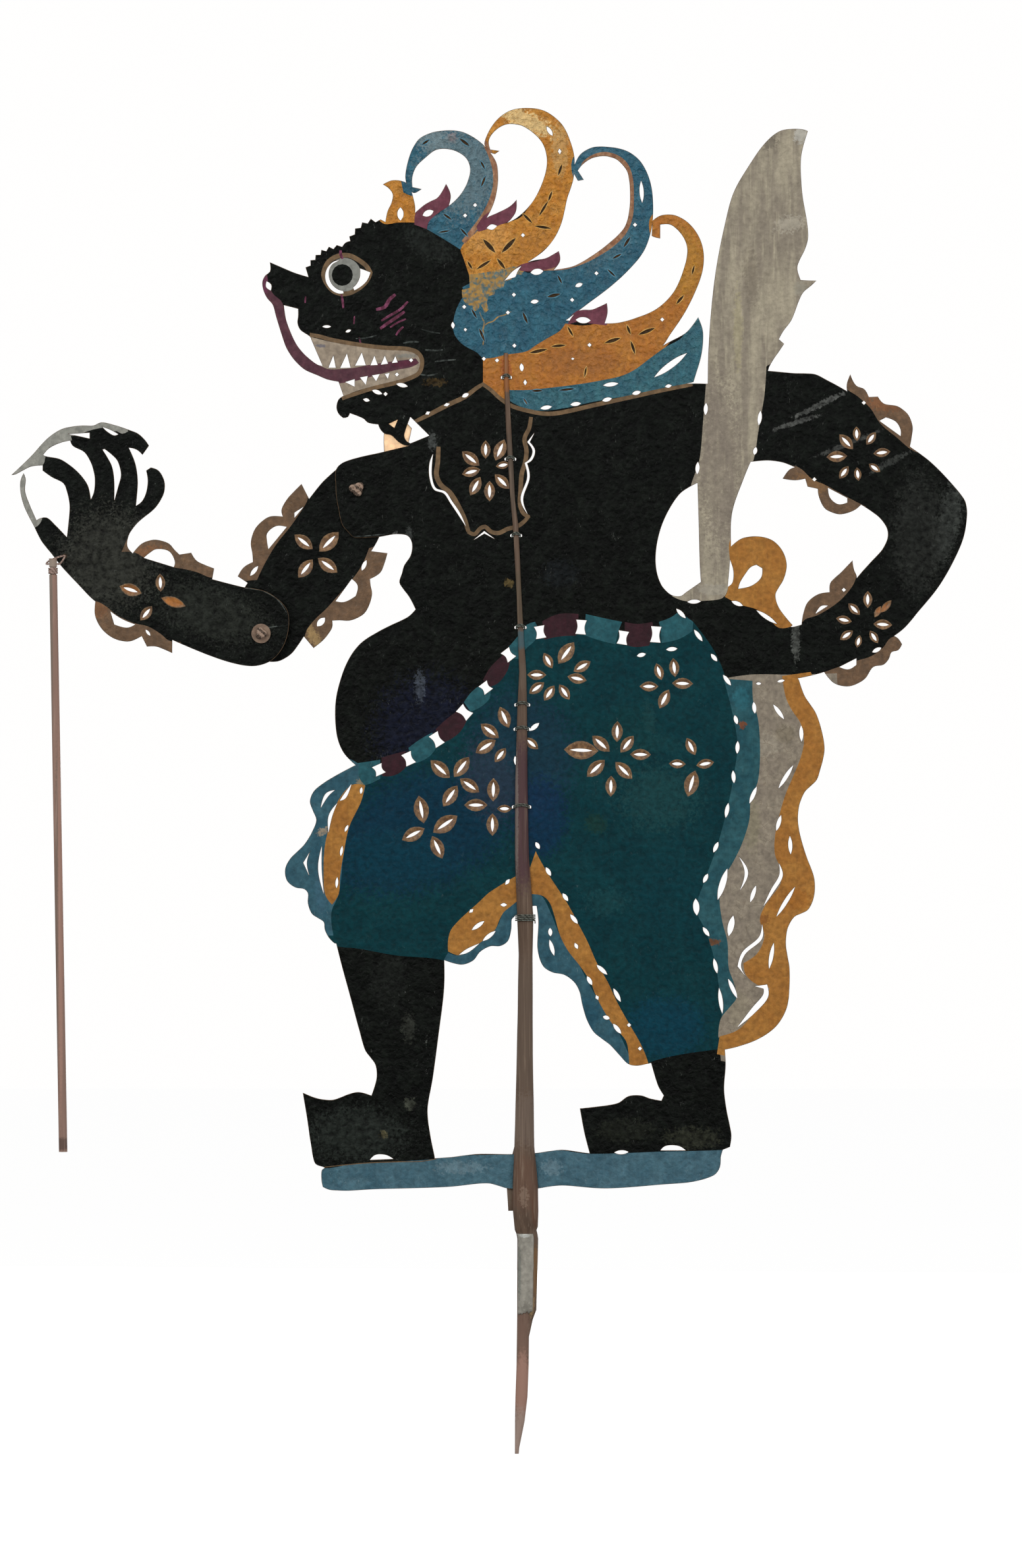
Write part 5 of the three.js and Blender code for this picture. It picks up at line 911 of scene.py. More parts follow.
BODY_FIELDS: tuple[Field | Line, ...] = (
    # crown, from the front curl to the band
    Field(Finish.GOLD, ((570, 262), (612, 264), (616, 276), (623, 288), (629, 299), (634, 312),
        (633, 330), (629, 338), (604, 338), (583, 340), (572, 330), (580, 300))),
    Field(Finish.GOLD, ((699, 379), (705, 368), (722, 352), (745, 345), (770, 338), (790, 330),
        (800, 318), (815, 295), (820, 260), (815, 225), (790, 205), (765, 215), (762, 240), (740, 240),
        (722, 215), (735, 165), (790, 148), (845, 158), (888, 215), (874, 245), (869, 262), (876, 280),
        (872, 305), (855, 338), (835, 370), (815, 388), (800, 400), (785, 406), (765, 409), (740, 414),
        (712, 418), (703, 391))),
    Field(Finish.BLUE, ((612, 292), (600, 230), (640, 185), (700, 185), (733, 207), (741, 222),
        (747, 234), (757, 252), (760, 285), (750, 310), (735, 338), (720, 355), (703, 371), (699, 379),
        (688, 372), (675, 364), (648, 348), (652, 335), (668, 322), (684, 311), (650, 292), (628, 298))),
    Line(Finish.COPPER, ((734, 214), (745, 236), (752, 260), (752, 285), (745, 308), (733, 330),
        (718, 350), (703, 368)), 9.0),
    Field(Finish.PLUM, ((629, 341), (631, 322), (645, 303), (662, 293), (674, 272), (686, 290),
        (686, 304), (682, 312), (670, 320), (658, 329), (650, 338), (648, 348))),
    Field(Finish.PLUM, ((726, 352), (723, 344), (735, 327), (752, 317), (770, 307), (786, 298),
        (790, 322), (781, 332), (768, 338), (746, 346))),
    Field(Finish.BLUE, ((703, 450), (702, 436), (713, 430), (712, 418), (740, 414), (765, 409),
        (785, 406), (800, 414), (830, 411), (860, 408), (880, 400), (900, 391), (925, 377), (942, 360),
        (940, 320), (930, 270), (900, 260), (886, 276), (872, 274), (868, 262), (868, 244), (890, 215),
        (930, 212), (975, 235), (1003, 285), (1003, 322), (997, 356), (978, 393), (954, 419), (921, 447),
        (894, 468), (874, 484), (860, 493), (850, 502), (830, 514), (812, 525), (800, 533), (765, 539),
        (750, 543), (733, 544), (725, 536), (701, 522), (689, 506), (688, 490), (692, 471), (701, 453))),
    Field(Finish.CHIPPED, ((702, 452), (701, 440), (713, 437), (712, 417), (740, 413), (765, 408),
        (785, 404), (797, 408), (792, 417), (778, 416), (776, 424), (767, 427), (764, 436), (752, 440),
        (750, 447), (741, 450), (739, 461), (742, 470), (735, 476), (733, 468), (729, 462), (725, 470),
        (720, 473), (716, 464), (708, 462))),
    Line(Finish.CHIPPED, ((728, 474), (731, 482), (735, 490), (733, 500), (734, 512), (733, 524)),
        2.4, taper=0.3),
    Line(Finish.CHIPPED, ((733, 496), (741, 490), (748, 488), (756, 481), (766, 478), (776, 473)),
        1.9, taper=0.3),
    Line(Finish.COPPER, ((882, 264), (885, 250), (898, 239), (917, 234), (936, 239), (949, 250),
        (956, 268), (958, 300), (956, 330), (947, 352), (930, 370), (908, 385), (885, 397), (858, 406),
        (825, 409)), 8.0, taper=0.45),
    Field(Finish.PLUM, ((783, 407), (790, 402), (800, 399), (820, 395), (835, 387), (850, 374),
        (856, 395), (845, 404), (830, 409), (805, 412), (790, 411))),
    Field(Finish.ORANGE, ((733, 544), (750, 543), (765, 539), (800, 533), (812, 525), (830, 514),
        (850, 502), (858, 491), (890, 494), (925, 485), (960, 480), (990, 465), (1020, 440), (1032, 400),
        (1025, 365), (1008, 360), (1000, 366), (988, 362), (986, 333), (1000, 318), (1035, 315),
        (1065, 340), (1080, 390), (1072, 435), (1050, 475), (1028, 503), (1010, 527), (985, 545),
        (965, 560), (945, 570), (915, 577), (880, 583), (840, 588), (800, 592), (770, 592), (768, 608),
        (758, 601), (745, 592), (733, 584))),
    Field(Finish.PLUM, ((862, 493), (866, 480), (874, 473), (886, 468), (900, 470), (915, 462),
        (926, 452), (928, 480), (920, 494), (895, 491), (880, 488))),
    Field(Finish.TAIL_BLUE, ((770, 592), (800, 592), (840, 588), (880, 583), (915, 577), (945, 570),
        (965, 560), (985, 545), (1010, 527), (1035, 512), (1045, 490), (1056, 470), (1074, 490),
        (1072, 530), (1064, 560), (1053, 583), (1015, 590), (980, 597), (940, 603), (900, 610),
        (860, 619), (830, 623), (805, 622), (785, 615), (770, 606))),
    # head
    Line(Finish.TAN_LINE, ((494, 405), (500, 396), (514, 388.5), (530, 388), (546, 396), (556, 404),
        (562, 414), (556, 427), (541, 440), (525, 446), (508, 443), (497, 432), (491, 418)), 7.0, True),
    Field(Finish.IRIS, oval(522.5, 417, 25.5, 25.5)),
    Field(Finish.SKIN, oval(519.5, 417.5, 16, 16.5)),
    *lines(Finish.SCRATCH,
        (((517, 380), (517, 386), (520, 393)), 4.5), (((518, 447), (520, 457), (521, 468)), 3.6),
        (((538, 480), (537, 492)), 2.4), (((464, 450), (463, 460)), 2.4),
        (((600, 447), (591, 455), (584, 466), (571, 470)), 5.5),
        (((619, 458), (607, 470), (590, 480), (579, 487)), 4.0),
        (((614, 473), (600, 483), (588, 491), (577, 499)), 5.0),
        (((616, 484), (603, 490), (592, 497)), 3.0), (((612, 496), (605, 503), (601, 509)), 3.4),
        (((545, 512), (549, 527)), 2.6)),
    *lines(Finish.WORN,
        (((612, 521), (622, 519), (636, 519)), 2.6), (((645, 531), (656, 532), (672, 531)), 2.8),
        (((660, 549), (676, 547), (692, 546)), 2.4), (((636, 568), (650, 570), (664, 567)), 2.4),
        (((540, 514), (556, 513), (572, 509)), 2.0), (((640, 500), (655, 504), (668, 506)), 2.0)),
    Field(Finish.TEETH, ((470, 511), (502, 519), (543, 526), (584, 531), (619, 533), (634, 540),
        (639, 551), (633, 565), (604, 577), (563, 587), (532, 597), (522, 603), (510, 590), (512, 577),
        (488, 557), (476, 545))),
    Field(Finish.TONGUE, ((405, 412), (396, 420), (394, 440), (400, 462), (412, 480), (418, 505),
        (426, 528), (440, 555), (458, 570), (490, 582), (514, 582), (545, 577), (570, 570), (600, 562),
        (625, 557), (636, 551), (631, 544), (618, 546), (600, 548), (560, 554), (540, 558), (520, 560),
        (497, 560), (478, 550), (458, 534), (446, 516), (436, 492), (430, 464), (426, 456), (416, 448),
        (411, 440), (407, 428))),
    Line(Finish.TAN_LINE, ((470, 508), (486, 511), (502, 515.5), (543, 523), (584, 528), (619, 530),
        (634, 535.5), (640, 545), (640, 556), (635, 567), (622, 574), (604.5, 580), (564, 590),
        (533, 600), (519, 605)), 6.5, taper=0.85),
    # collar and bib
    Line(Finish.TAN_LINE, ((630, 640), (650, 630), (679, 615), (706, 602), (722, 590), (732, 583.5)), 7.0),
    Line(Finish.TAN_LINE, ((731, 582), (745, 592), (758, 604), (776, 616), (805, 624.5), (826, 628),
        (843.5, 627.5), (870, 622.5), (893, 617), (952, 604), (1000, 593.5), (1051, 583.5)),
        6.5, taper=0.8),
    Line(Finish.TAN_LINE, ((665.5, 678), (664.5, 700), (662.5, 722), (669, 736), (683, 748), (695, 767),
        (705, 788), (711, 807)), 7.5, taper=0.8),
    Line(Finish.TAN_LINE, ((710, 807), (720, 811), (729, 802), (736, 799.5), (745, 807), (757, 809),
        (770, 803), (785, 799), (795, 792), (803, 783)), 6.5, taper=0.8),
    Line(Finish.TAN_LINE, ((806, 633), (803, 650), (796, 666), (799, 684), (797, 702), (792, 718),
        (790, 745), (789, 765), (794, 779), (803, 785)), 6.8, taper=0.8),
    Line(Finish.WORN, ((522, 700), (504, 716), (499, 740), (504, 768), (512, 800), (524, 816)),
        2.4, taper=0.4),
    Line(Finish.WORN, ((536, 815), (560, 813), (584, 811)), 1.8, taper=0.4),
    # sword and rear scarf knot
    Field(Finish.BLADE, ((1110, 150), (1260, 150), (1260, 500), (1163, 556), (1160, 600), (1155, 630),
        (1150, 660), (1145, 692), (1130, 740), (1115, 800), (1109, 850), (1103, 899), (1096, 908),
        (1068, 912), (1038, 912), (1020, 905), (1045, 893), (1050, 860), (1046, 800), (1048, 740),
        (1061, 700), (1067, 640), (1070, 600), (1073, 555), (1071, 500), (1074, 440), (1078, 390),
        (1092, 300))),
    Field(Finish.CLOTH_GOLD, ((1108, 820), (1130, 800), (1180, 800), (1210, 840), (1200, 890),
        (1190, 912), (1204, 950), (1182, 953), (1166, 938), (1148, 925), (1124, 918), (1100, 906),
        (1104, 897), (1108, 860))),
    # armbands of the rear arm
    Field(Finish.BAND, ((1275, 560), (1310, 560), (1400, 600), (1400, 690), (1382, 682), (1362, 665),
        (1336, 643), (1321, 620), (1302, 602), (1284, 589))),
    Field(Finish.BAND, ((1178, 746), (1180, 718), (1203, 707), (1216, 712), (1232, 727), (1252, 736),
        (1272, 747), (1296, 760), (1314, 769), (1300, 800), (1240, 800), (1220, 750))),
    Field(Finish.BAND, ((1215, 948), (1222, 940), (1240, 934), (1268, 917), (1284, 902), (1298, 880),
        (1298, 845), (1280, 840), (1250, 870), (1205, 900), (1205, 940))),
    Field(Finish.BAND, ((1246, 1022), (1268, 1014), (1300, 1003), (1322, 996), (1340, 983), (1352, 968),
        (1380, 965), (1380, 1000), (1330, 1050), (1260, 1050))),
    # trousers, belt and drapes
    Field(Finish.TROUSER, ((546, 1192), (572, 1172), (597, 1163), (620, 1152), (640, 1138), (663, 1120),
        (690, 1097), (712, 1076), (731, 1052), (750, 1026), (766, 1000), (788, 975), (822, 955),
        (850, 952), (880, 950), (905, 955), (935, 961), (955, 962), (985, 962), (1005, 960), (1030, 952),
        (1044, 944), (1052, 944), (1085, 990), (1103, 1035), (1112, 1085), (1119, 1130), (1113, 1180),
        (1103, 1230), (1088, 1285), (1072, 1330), (1057, 1380), (1072, 1415), (1085, 1460), (1090, 1490),
        (1095, 1540), (1094, 1592), (984, 1613), (940, 1640), (760, 1500), (678, 1459), (600, 1450),
        (545, 1440), (507, 1435), (480, 1420), (470, 1300), (515, 1225))),
    Field(Finish.BEAD_BLUE, ((545, 1193), (530, 1190), (528, 1160), (552, 1157), (577, 1153), (577, 1182),
        (560, 1190))),
    Field(Finish.BEAD_PLUM, ((579, 1150), (596, 1145), (615, 1140), (619, 1158), (608, 1172), (594, 1178),
        (580, 1178))),
    Field(Finish.BEAD_BLUE, ((620, 1135), (638, 1122), (656, 1112), (663, 1130), (654, 1146), (638, 1156),
        (624, 1160))),
    Field(Finish.BEAD_PLUM, ((661, 1107), (677, 1092), (696, 1078), (709, 1092), (699, 1110), (684, 1122),
        (670, 1128))),
    Field(Finish.BEAD_BLUE, ((704, 1066), (716, 1050), (732, 1038), (744, 1046), (743, 1060), (728, 1074),
        (714, 1080))),
    Field(Finish.BEAD_PLUM, ((733, 1032), (745, 1012), (764, 994), (774, 1004), (770, 1018), (757, 1036),
        (742, 1043))),
    Field(Finish.BEAD_BLUE, ((770, 984), (784, 968), (800, 948), (812, 944), (819, 958), (812, 972),
        (799, 984), (787, 1000), (777, 1000))),
    Field(Finish.BEAD_PLUM, ((823, 943), (848, 932), (878, 932), (877, 950), (874, 965), (850, 966),
        (826, 971))),
    Field(Finish.BEAD_BLUE, ((889, 932), (915, 938), (944, 944), (938, 960), (934, 978), (910, 972),
        (886, 964))),
    Field(Finish.BEAD_PLUM, ((948, 944), (968, 947), (990, 944), (991, 962), (985, 980), (962, 982),
        (948, 978))),
    Field(Finish.BEAD_BLUE, ((1000, 944), (1020, 936), (1030, 928), (1052, 944), (1051, 958), (1030, 970),
        (1004, 976), (1003, 960))),
    Field(Finish.DRAPE, ((545, 1160), (520, 1150), (440, 1180), (420, 1300), (440, 1420), (506, 1420),
        (503, 1385), (514, 1357), (522, 1293), (530, 1255), (548, 1216), (555, 1193), (545, 1180))),
    Field(Finish.CLOTH_GOLD, ((535, 1191), (554, 1192), (548, 1216.5), (530, 1255), (522, 1293),
        (516, 1331), (514, 1357), (504, 1373), (494, 1359), (491, 1319), (494, 1278), (504, 1242),
        (514, 1214))),
    Field(Finish.DRAPE, ((785, 1352), (764, 1385), (752, 1410), (726, 1433), (698, 1450), (680, 1446),
        (673, 1458), (700, 1480), (760, 1470), (800, 1420), (800, 1352))),
    Field(Finish.CLOTH_GOLD, ((790, 1326), (772, 1336), (759, 1344), (742, 1355), (726, 1370),
        (708, 1386), (695.5, 1398), (684, 1412), (680, 1428), (680, 1444), (698, 1450), (714, 1442),
        (726, 1433), (742, 1420), (752, 1410), (758, 1396), (764, 1385), (776, 1375), (792, 1362))),
    Field(Finish.DRAPE, ((806, 1352), (822, 1360), (836, 1386), (850, 1420), (872, 1452), (892, 1490),
        (912, 1525), (936, 1562), (952, 1595), (962, 1620), (940, 1640), (860, 1580), (820, 1500),
        (790, 1440), (796, 1370))),
    Field(Finish.CLOTH_GOLD, ((813, 1292), (820, 1306), (834, 1330), (848, 1351), (865, 1378),
        (878, 1403), (892, 1430), (906, 1462), (922, 1490), (936, 1520), (956, 1556), (970, 1580),
        (980, 1602), (984, 1614), (975, 1626), (955, 1626), (954, 1600), (950, 1580), (932, 1558),
        (914, 1530), (903, 1508), (896, 1490), (880, 1466), (862, 1443), (850, 1420), (842, 1392),
        (834, 1370), (824, 1360), (805, 1357), (796, 1340), (804, 1318))),
    # rear scarf, over a first coat of its grey
    Field(Finish.SCARF_GREY, ((1098, 1030), (1140, 1024), (1200, 1024), (1270, 1022), (1276, 1300),
        (1270, 1500), (1180, 1610), (1094, 1610), (1092, 1575), (1095, 1540), (1090, 1490), (1085, 1460),
        (1072, 1415), (1057, 1380), (1072, 1330), (1088, 1285), (1103, 1230), (1113, 1180), (1119, 1130),
        (1112, 1085))),
    Field(Finish.SCARF_TEAL, ((1098, 1030), (1150, 1034), (1160, 1090), (1158, 1150), (1155, 1195),
        (1145, 1240), (1130, 1290), (1110, 1330), (1102, 1370), (1108, 1420), (1114, 1470), (1122, 1500),
        (1118, 1530), (1100, 1548), (1093, 1560), (1095, 1540), (1090, 1490), (1085, 1460), (1072, 1415),
        (1057, 1380), (1072, 1330), (1088, 1285), (1103, 1230), (1113, 1180), (1119, 1130),
        (1112, 1085))),
    Field(Finish.SCARF_GREY, ((1142, 1030), (1143, 1064), (1150, 1090), (1153, 1120), (1153, 1160),
        (1149, 1190), (1140, 1208), (1137, 1245), (1125, 1283), (1110, 1313), (1098, 1332), (1092, 1360),
        (1096, 1398), (1104, 1430), (1106, 1470), (1113, 1490), (1118, 1514), (1108, 1528), (1094, 1546),
        (1090, 1575), (1118, 1562), (1140, 1535), (1153, 1508), (1146, 1497), (1128, 1484), (1124, 1462),
        (1146, 1448), (1157, 1420), (1155, 1400), (1158, 1380), (1170, 1362), (1185, 1340), (1185, 1320),
        (1176, 1297), (1176, 1270), (1182, 1240), (1192, 1206), (1205, 1175), (1215, 1150), (1220, 1125),
        (1215, 1098), (1203, 1080), (1193, 1060), (1188, 1028))),
    Field(Finish.CLOTH_GOLD, ((1187, 1026), (1193, 1060), (1203, 1080), (1215, 1098), (1220, 1125),
        (1215, 1150), (1205, 1175), (1192, 1206), (1182, 1240), (1176, 1270), (1176, 1297), (1185, 1320),
        (1185, 1340), (1170, 1362), (1158, 1380), (1153, 1396), (1160, 1420), (1150, 1446), (1128, 1462),
        (1132, 1480), (1148, 1494), (1168, 1500), (1158, 1520), (1138, 1545), (1120, 1563), (1092, 1573),
        (1088, 1600), (1180, 1600), (1260, 1500), (1270, 1380), (1260, 1200), (1270, 1120),
        (1230, 1020))),
    # base bar
    Field(Finish.BASE_BLUE, ((470, 1772), (498, 1773), (540, 1766), (600, 1763), (650, 1760), (700, 1754),
        (740, 1753), (780, 1752), (815, 1749), (850, 1746), (890, 1751), (950, 1750), (1000, 1748),
        (1050, 1747), (1110, 1745), (1110, 1830), (470, 1830))),
    Line(Finish.TAN_LINE, ((488, 1772), (520, 1768.5), (560, 1765), (600, 1763.5), (640, 1762.5),
        (662, 1759)), 1.4),
)

# the crown's cuts, each with a lip in the lighter lip paint, a painted highlight round the cut
CURL_CUTS = (
    (Finish.LIP_BLUE, (  # curl 1
        (640, 220, 652, 212, 3.4), (697, 210, 713, 222, 4.6), (729, 244, 736, 257, 3.2),
        (737, 267, 730, 284, 3.6), (672, 324, 686, 334, 3.4), (665, 353, 684, 350, 2.8),
        (698, 346, 710, 359, 3.2),
    )),
    (Finish.LIP_GOLD, (  # curl 2
        (853, 249, 847, 267, 3.6), (838, 290, 832, 306, 3.4), (832, 305, 818, 328, 3.6),
        (793, 324, 808, 339, 3.8), (811, 343, 837, 347, 4.0), (733, 363, 752, 384, 6.6),
        (761, 384, 783, 361, 6.6), (723, 409, 745, 395, 4.4), (709, 396, 717, 409, 3.2),
        (754, 392, 767, 409, 4.6),
    )),
    (Finish.LIP_BLUE, (  # curl 3
        (846, 417, 853, 431, 3.0), (946, 376, 957, 359, 4.2), (929, 393, 944, 385, 3.4),
        (830, 451, 851, 446, 5.2), (793, 473, 801, 492, 4.0), (715, 468, 724, 484, 3.0),
        (727, 498, 736, 519, 4.0), (921, 408, 935, 421, 2.8),
    )),
    (Finish.LIP_GOLD, (  # curl 4
        (861, 495, 870, 511, 3.2), (803, 536, 831, 530, 5.0), (836, 526, 859, 524, 4.0),
        (917, 521, 942, 513, 5.4), (951, 493, 957, 508, 3.6), (969, 508, 994, 498, 5.4),
        (957, 517, 964, 538, 4.0), (890, 556, 887, 573, 2.8), (1054, 402, 1050, 417, 2.8),
        (1026, 462, 1038, 448, 4.0),
    )),
    (Finish.LIP_BLUE, (
        (806, 593.5, 824, 593, 3.4), (848, 592.5, 873, 590, 3.6), (794, 604, 801, 615, 2.6),
    )),
)
BODY_CUTS = (
    *(Cut((a, b), (c, d), width, lip) for lip, rows in CURL_CUTS for a, b, c, d, width in rows),
    # petals that don't go through
    Cut((1337, 929), (1352, 912), 7.5, Finish.PETAL_LIP, Finish.PETAL),
    Cut((1328, 936), (1336, 921), 6.5, Finish.PETAL_LIP, Finish.PETAL),
)

FOREARM_FIELDS: tuple[Field | Line, ...] = (
    Field(Finish.BAND, ((185, 838), (205, 839), (220, 847), (240, 853), (262, 861), (280, 864),
        (300, 869), (322, 877), (335, 870), (330, 840), (250, 810), (195, 815))),
    Field(Finish.BAND, ((138, 912), (150, 914), (162, 921), (178, 934), (204, 946), (225, 951),
        (245, 963), (256, 972), (275, 975), (275, 1000), (190, 990), (130, 940))),
    Field(Finish.NAIL, ((0, 640), (90, 640), (108, 662), (110, 669), (95, 672), (80, 680), (70, 691),
        (68, 702), (60, 712), (10, 730))),
    Field(Finish.NAIL, ((88, 650), (110, 640), (160, 635), (192, 648), (195, 655), (186, 659), (178, 655),
        (168, 655), (160, 650), (140, 653), (128, 657), (108, 662))),
    Field(Finish.NAIL, ((20, 715), (45, 715), (50, 730), (46, 760), (65, 784), (62, 794), (52, 802),
        (40, 800), (20, 750))),
    Line(Finish.WORN, ((372, 893), (396, 896), (415, 905), (428, 918), (435, 930)), 2.2, taper=0.4),
    Line(Finish.WORN, ((405, 953), (420, 951), (434, 950)), 1.6, taper=0.4),
)

FOREARM_CUTS = (Cut((246, 908), (281, 920), 13.0, Finish.PETAL_LIP, Finish.PETAL),)

UPPER_ARM_FIELDS: tuple[Field | Line, ...] = (
    Field(Finish.BAND, ((470, 730), (466, 760), (452, 783), (440, 800), (420, 825), (402, 855),
        (390, 880), (340, 885), (340, 830), (390, 760), (440, 720))),
    Field(Finish.BAND, ((560, 832), (553, 850), (545, 865), (528, 887), (512, 905), (494, 925),
        (478, 940), (464, 960), (462, 1000), (520, 1000), (600, 900), (600, 820))),
)


@dataclass
class Plan:
    """What cuts a sheet: its borders with their finishes, its rim lines and the depths of its places."""

    borders: list[list[Vector]] = field(default_factory=list)
    meaning: list[Finish | None] = field(default_factory=list)
    rims: list[list[Vector]] = field(default_factory=list)
    depths: dict[tuple[int, int], float] = field(default_factory=dict)

    def lay(self, border: list[Vector], finish: Finish | None) -> None:
        """Lay one more border over the ones before, or cut a hole where it has no finish."""
        self.borders.append(border)
        self.meaning.append(finish)


@dataclass(frozen=True)
class HideSheet:
    """One sheet of hide, cut from its CAD node's outline and painted in fields."""

    name: str
    node: str
    body: str
    slot: str
    ground: Finish
    fields: tuple[Field | Line, ...] = ()
    cuts: tuple[Cut, ...] = ()
    outline_spacing: float = 1.5 * MM
    hole_spacing: float = 0.8 * MM
    rim_width: float = 0.25 * MM
    rim_reach: float = 3 * MM
    rim_slope: float = 0.78
    cut_lip: float = 1.1 * MM
    cut_overrun: float = 0.5 * MM
    petal_slit: float = 2.4 * MM
    petal_depth: float = 0.55 * MM
    petal_share: float = 0.64
    petal_roundness: float = 0.54
    petal_narrowing: float = 0.28
    petal_floor_reach: float = 0.9
    petal_floor_width: float = 0.8
    petal_slack: float = 0.06 * MM

    def loops(self) -> list[list[Vector]]:
        """The outline and the holes of the node's front.

        Returns:
            Each border as points in the plane of the hide.
        """
        mesh = bmesh.new()
        mesh.from_mesh(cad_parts[self.node].data)
        bmesh.ops.remove_doubles(mesh, verts=mesh.verts, dist=MERGE)
        nearest = min(v.co.y for v in mesh.verts)
        front = [f for f in mesh.faces if all(abs(v.co.y - nearest) < LEVEL for v in f.verts)]
        known = set(front)
        follow = {}
        for face in front:
            for corner in face.loops:
                if not any(f in known and f is not face for f in corner.edge.link_faces):
                    follow[corner.vert] = corner.link_loop_next.vert
        result = []
        while follow:
            start, here = follow.popitem()
            path = [start]
            while here is not start:
                path.append(here)
                here = follow.pop(here)
            result.append([Vector((v.co.x, v.co.z)) for v in path])
        mesh.free()
        return sorted(result, key=len, reverse=True)

    def make(self, materials: dict[Finish, Material]) -> Object:
        """Cut the sheet, paint it and hang it on its body.

        Args:
            materials: the material of each finish.

        Returns:
            The finished piece.
        """
        low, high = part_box(self.node)
        front, back = low[1], high[1]
        loops = self.loops()
        plan = Plan()
        outline = rounded(loops[0], self.outline_spacing)
        plan.lay(outline, self.ground)
        plan.rims.append(self.rim_line(outline))
        for painted in self.fields:
            for border in painted.borders():
                plan.lay(border, painted.finish)
        for cut in self.cuts:
            self.add_cut(cut, plan)
        for hole in loops[1:]:
            self.add_hole(hole, plan)
        mesh, used = self.fill(plan, front)
        rims = self.thicken(mesh, front, back)
        return self.dress(mesh, rims, used, materials)

    def rim_line(self, border: list[Vector]) -> list[Vector]:
        """The line along a border where its soft rim starts, on the side of the hide."""
        return [p + side(border, i, True) * self.rim_width for i, p in enumerate(border)]

    def add_cut(self, cut: Cut, plan: Plan) -> None:
        """Add a cut that doesn't go through: its lip, its sloped walls and its floor line.

        Args:
            cut: the cut.
            plan: the sheet's plan, which grows.
        """
        start, end = on_sheet(cut.start), on_sheet(cut.end)
        along = (end - start).normalized() * self.cut_overrun
        width = cut.width * METRES_PER_PIXEL
        plan.lay(almond(start - along, end + along, width + self.cut_lip), cut.lip)
        plan.lay(almond(start, end, width), cut.floor)
        for share in CUT_SHARES:
            plan.depths[key(start.lerp(end, share))] = cut.depth * math.sin(math.pi * share)

    def add_hole(self, hole: list[Vector], plan: Plan) -> None:
        """Add a hole, and round a petal's slit its sloped wall and its lip.

        Args:
            hole: the hole's points.
            plan: the sheet's plan, which grows.
        """
        line = rounded(hole, self.hole_spacing, SLIT_CORNER if len(hole) == 4 else CORNER)
        tips = max(((a, b) for a in hole for b in hole), key=lambda pair: (pair[0] - pair[1]).length)
        along = (tips[1] - tips[0]).normalized()
        apart = [along.cross(p - tips[0]) for p in hole]
        if len(hole) <= 6 and abs(max(apart) - min(apart) - self.petal_slit) < self.petal_slack:
            middle = (tips[0] + tips[1]) / 2
            reach = (tips[1] - tips[0]) / 2 / self.petal_share
            width = 2 * reach.length * self.petal_roundness
            line = [p - (p - middle).project(reach.orthogonal()) * self.petal_narrowing for p in line]
            plan.lay(almond(middle - reach, middle + reach, width), Finish.PETAL_LIP)
            floor = reach * self.petal_floor_reach
            plan.lay(almond(middle - floor, middle + floor, width * self.petal_floor_width), Finish.PETAL)
            for spot in line:
                plan.depths[key(spot)] = self.petal_depth
        else:
            plan.rims.append(self.rim_line(line))
        plan.lay(line, None)

    def fill(self, plan: Plan, front: float) -> tuple[bmesh.types.BMesh, list[Finish]]:
        """Fill the outline with faces that follow every border.

        Args:
            plan: the outline first, then the fields, cuts and holes, in the order of painting.
            front: where the front of the sheet is, along y.

        Returns:
            The flat mesh and the finishes in the order of its material numbers.
        """
        spots: list[Vector] = []
        rings: list[list[int]] = []
        for border in plan.borders:
            turned = border if area(border) > 0 else border[::-1]
            rings.append(list(range(len(spots), len(spots) + len(turned))))
            spots.extend(turned)
        known = {key(s) for s in spots}
        spots.extend(Vector((k[0] * TICK, k[1] * TICK)) for k in plan.depths if k not in known)
        ties: list[tuple[int, int]] = []
        for rim in plan.rims:
            first, count = len(spots), len(rim)
            ties.extend((first + i, first + (i + 1) % count) for i in range(count))
            spots.extend(rim)
        points, _, faces, _, _, origins = delaunay_2d_cdt(spots, ties, rings, 0, TICK)
        used = sorted({m for m in plan.meaning if m}, key=lambda m: m.value)
        mesh = bmesh.new()
        verts = [mesh.verts.new((p.x, front + near(plan.depths, p), p.y)) for p in points]
        for face, origin in zip(faces, origins):
            if 0 not in origin or any(plan.meaning[i] is None for i in origin):
                continue
            made = mesh.faces.new([verts[i] for i in face])
            made.material_index = used.index(plan.meaning[max(origin)])
        bmesh.ops.delete(mesh, geom=[v for v in mesh.verts if not v.link_faces], context="VERTS")
        mesh.normal_update()
        return mesh, used

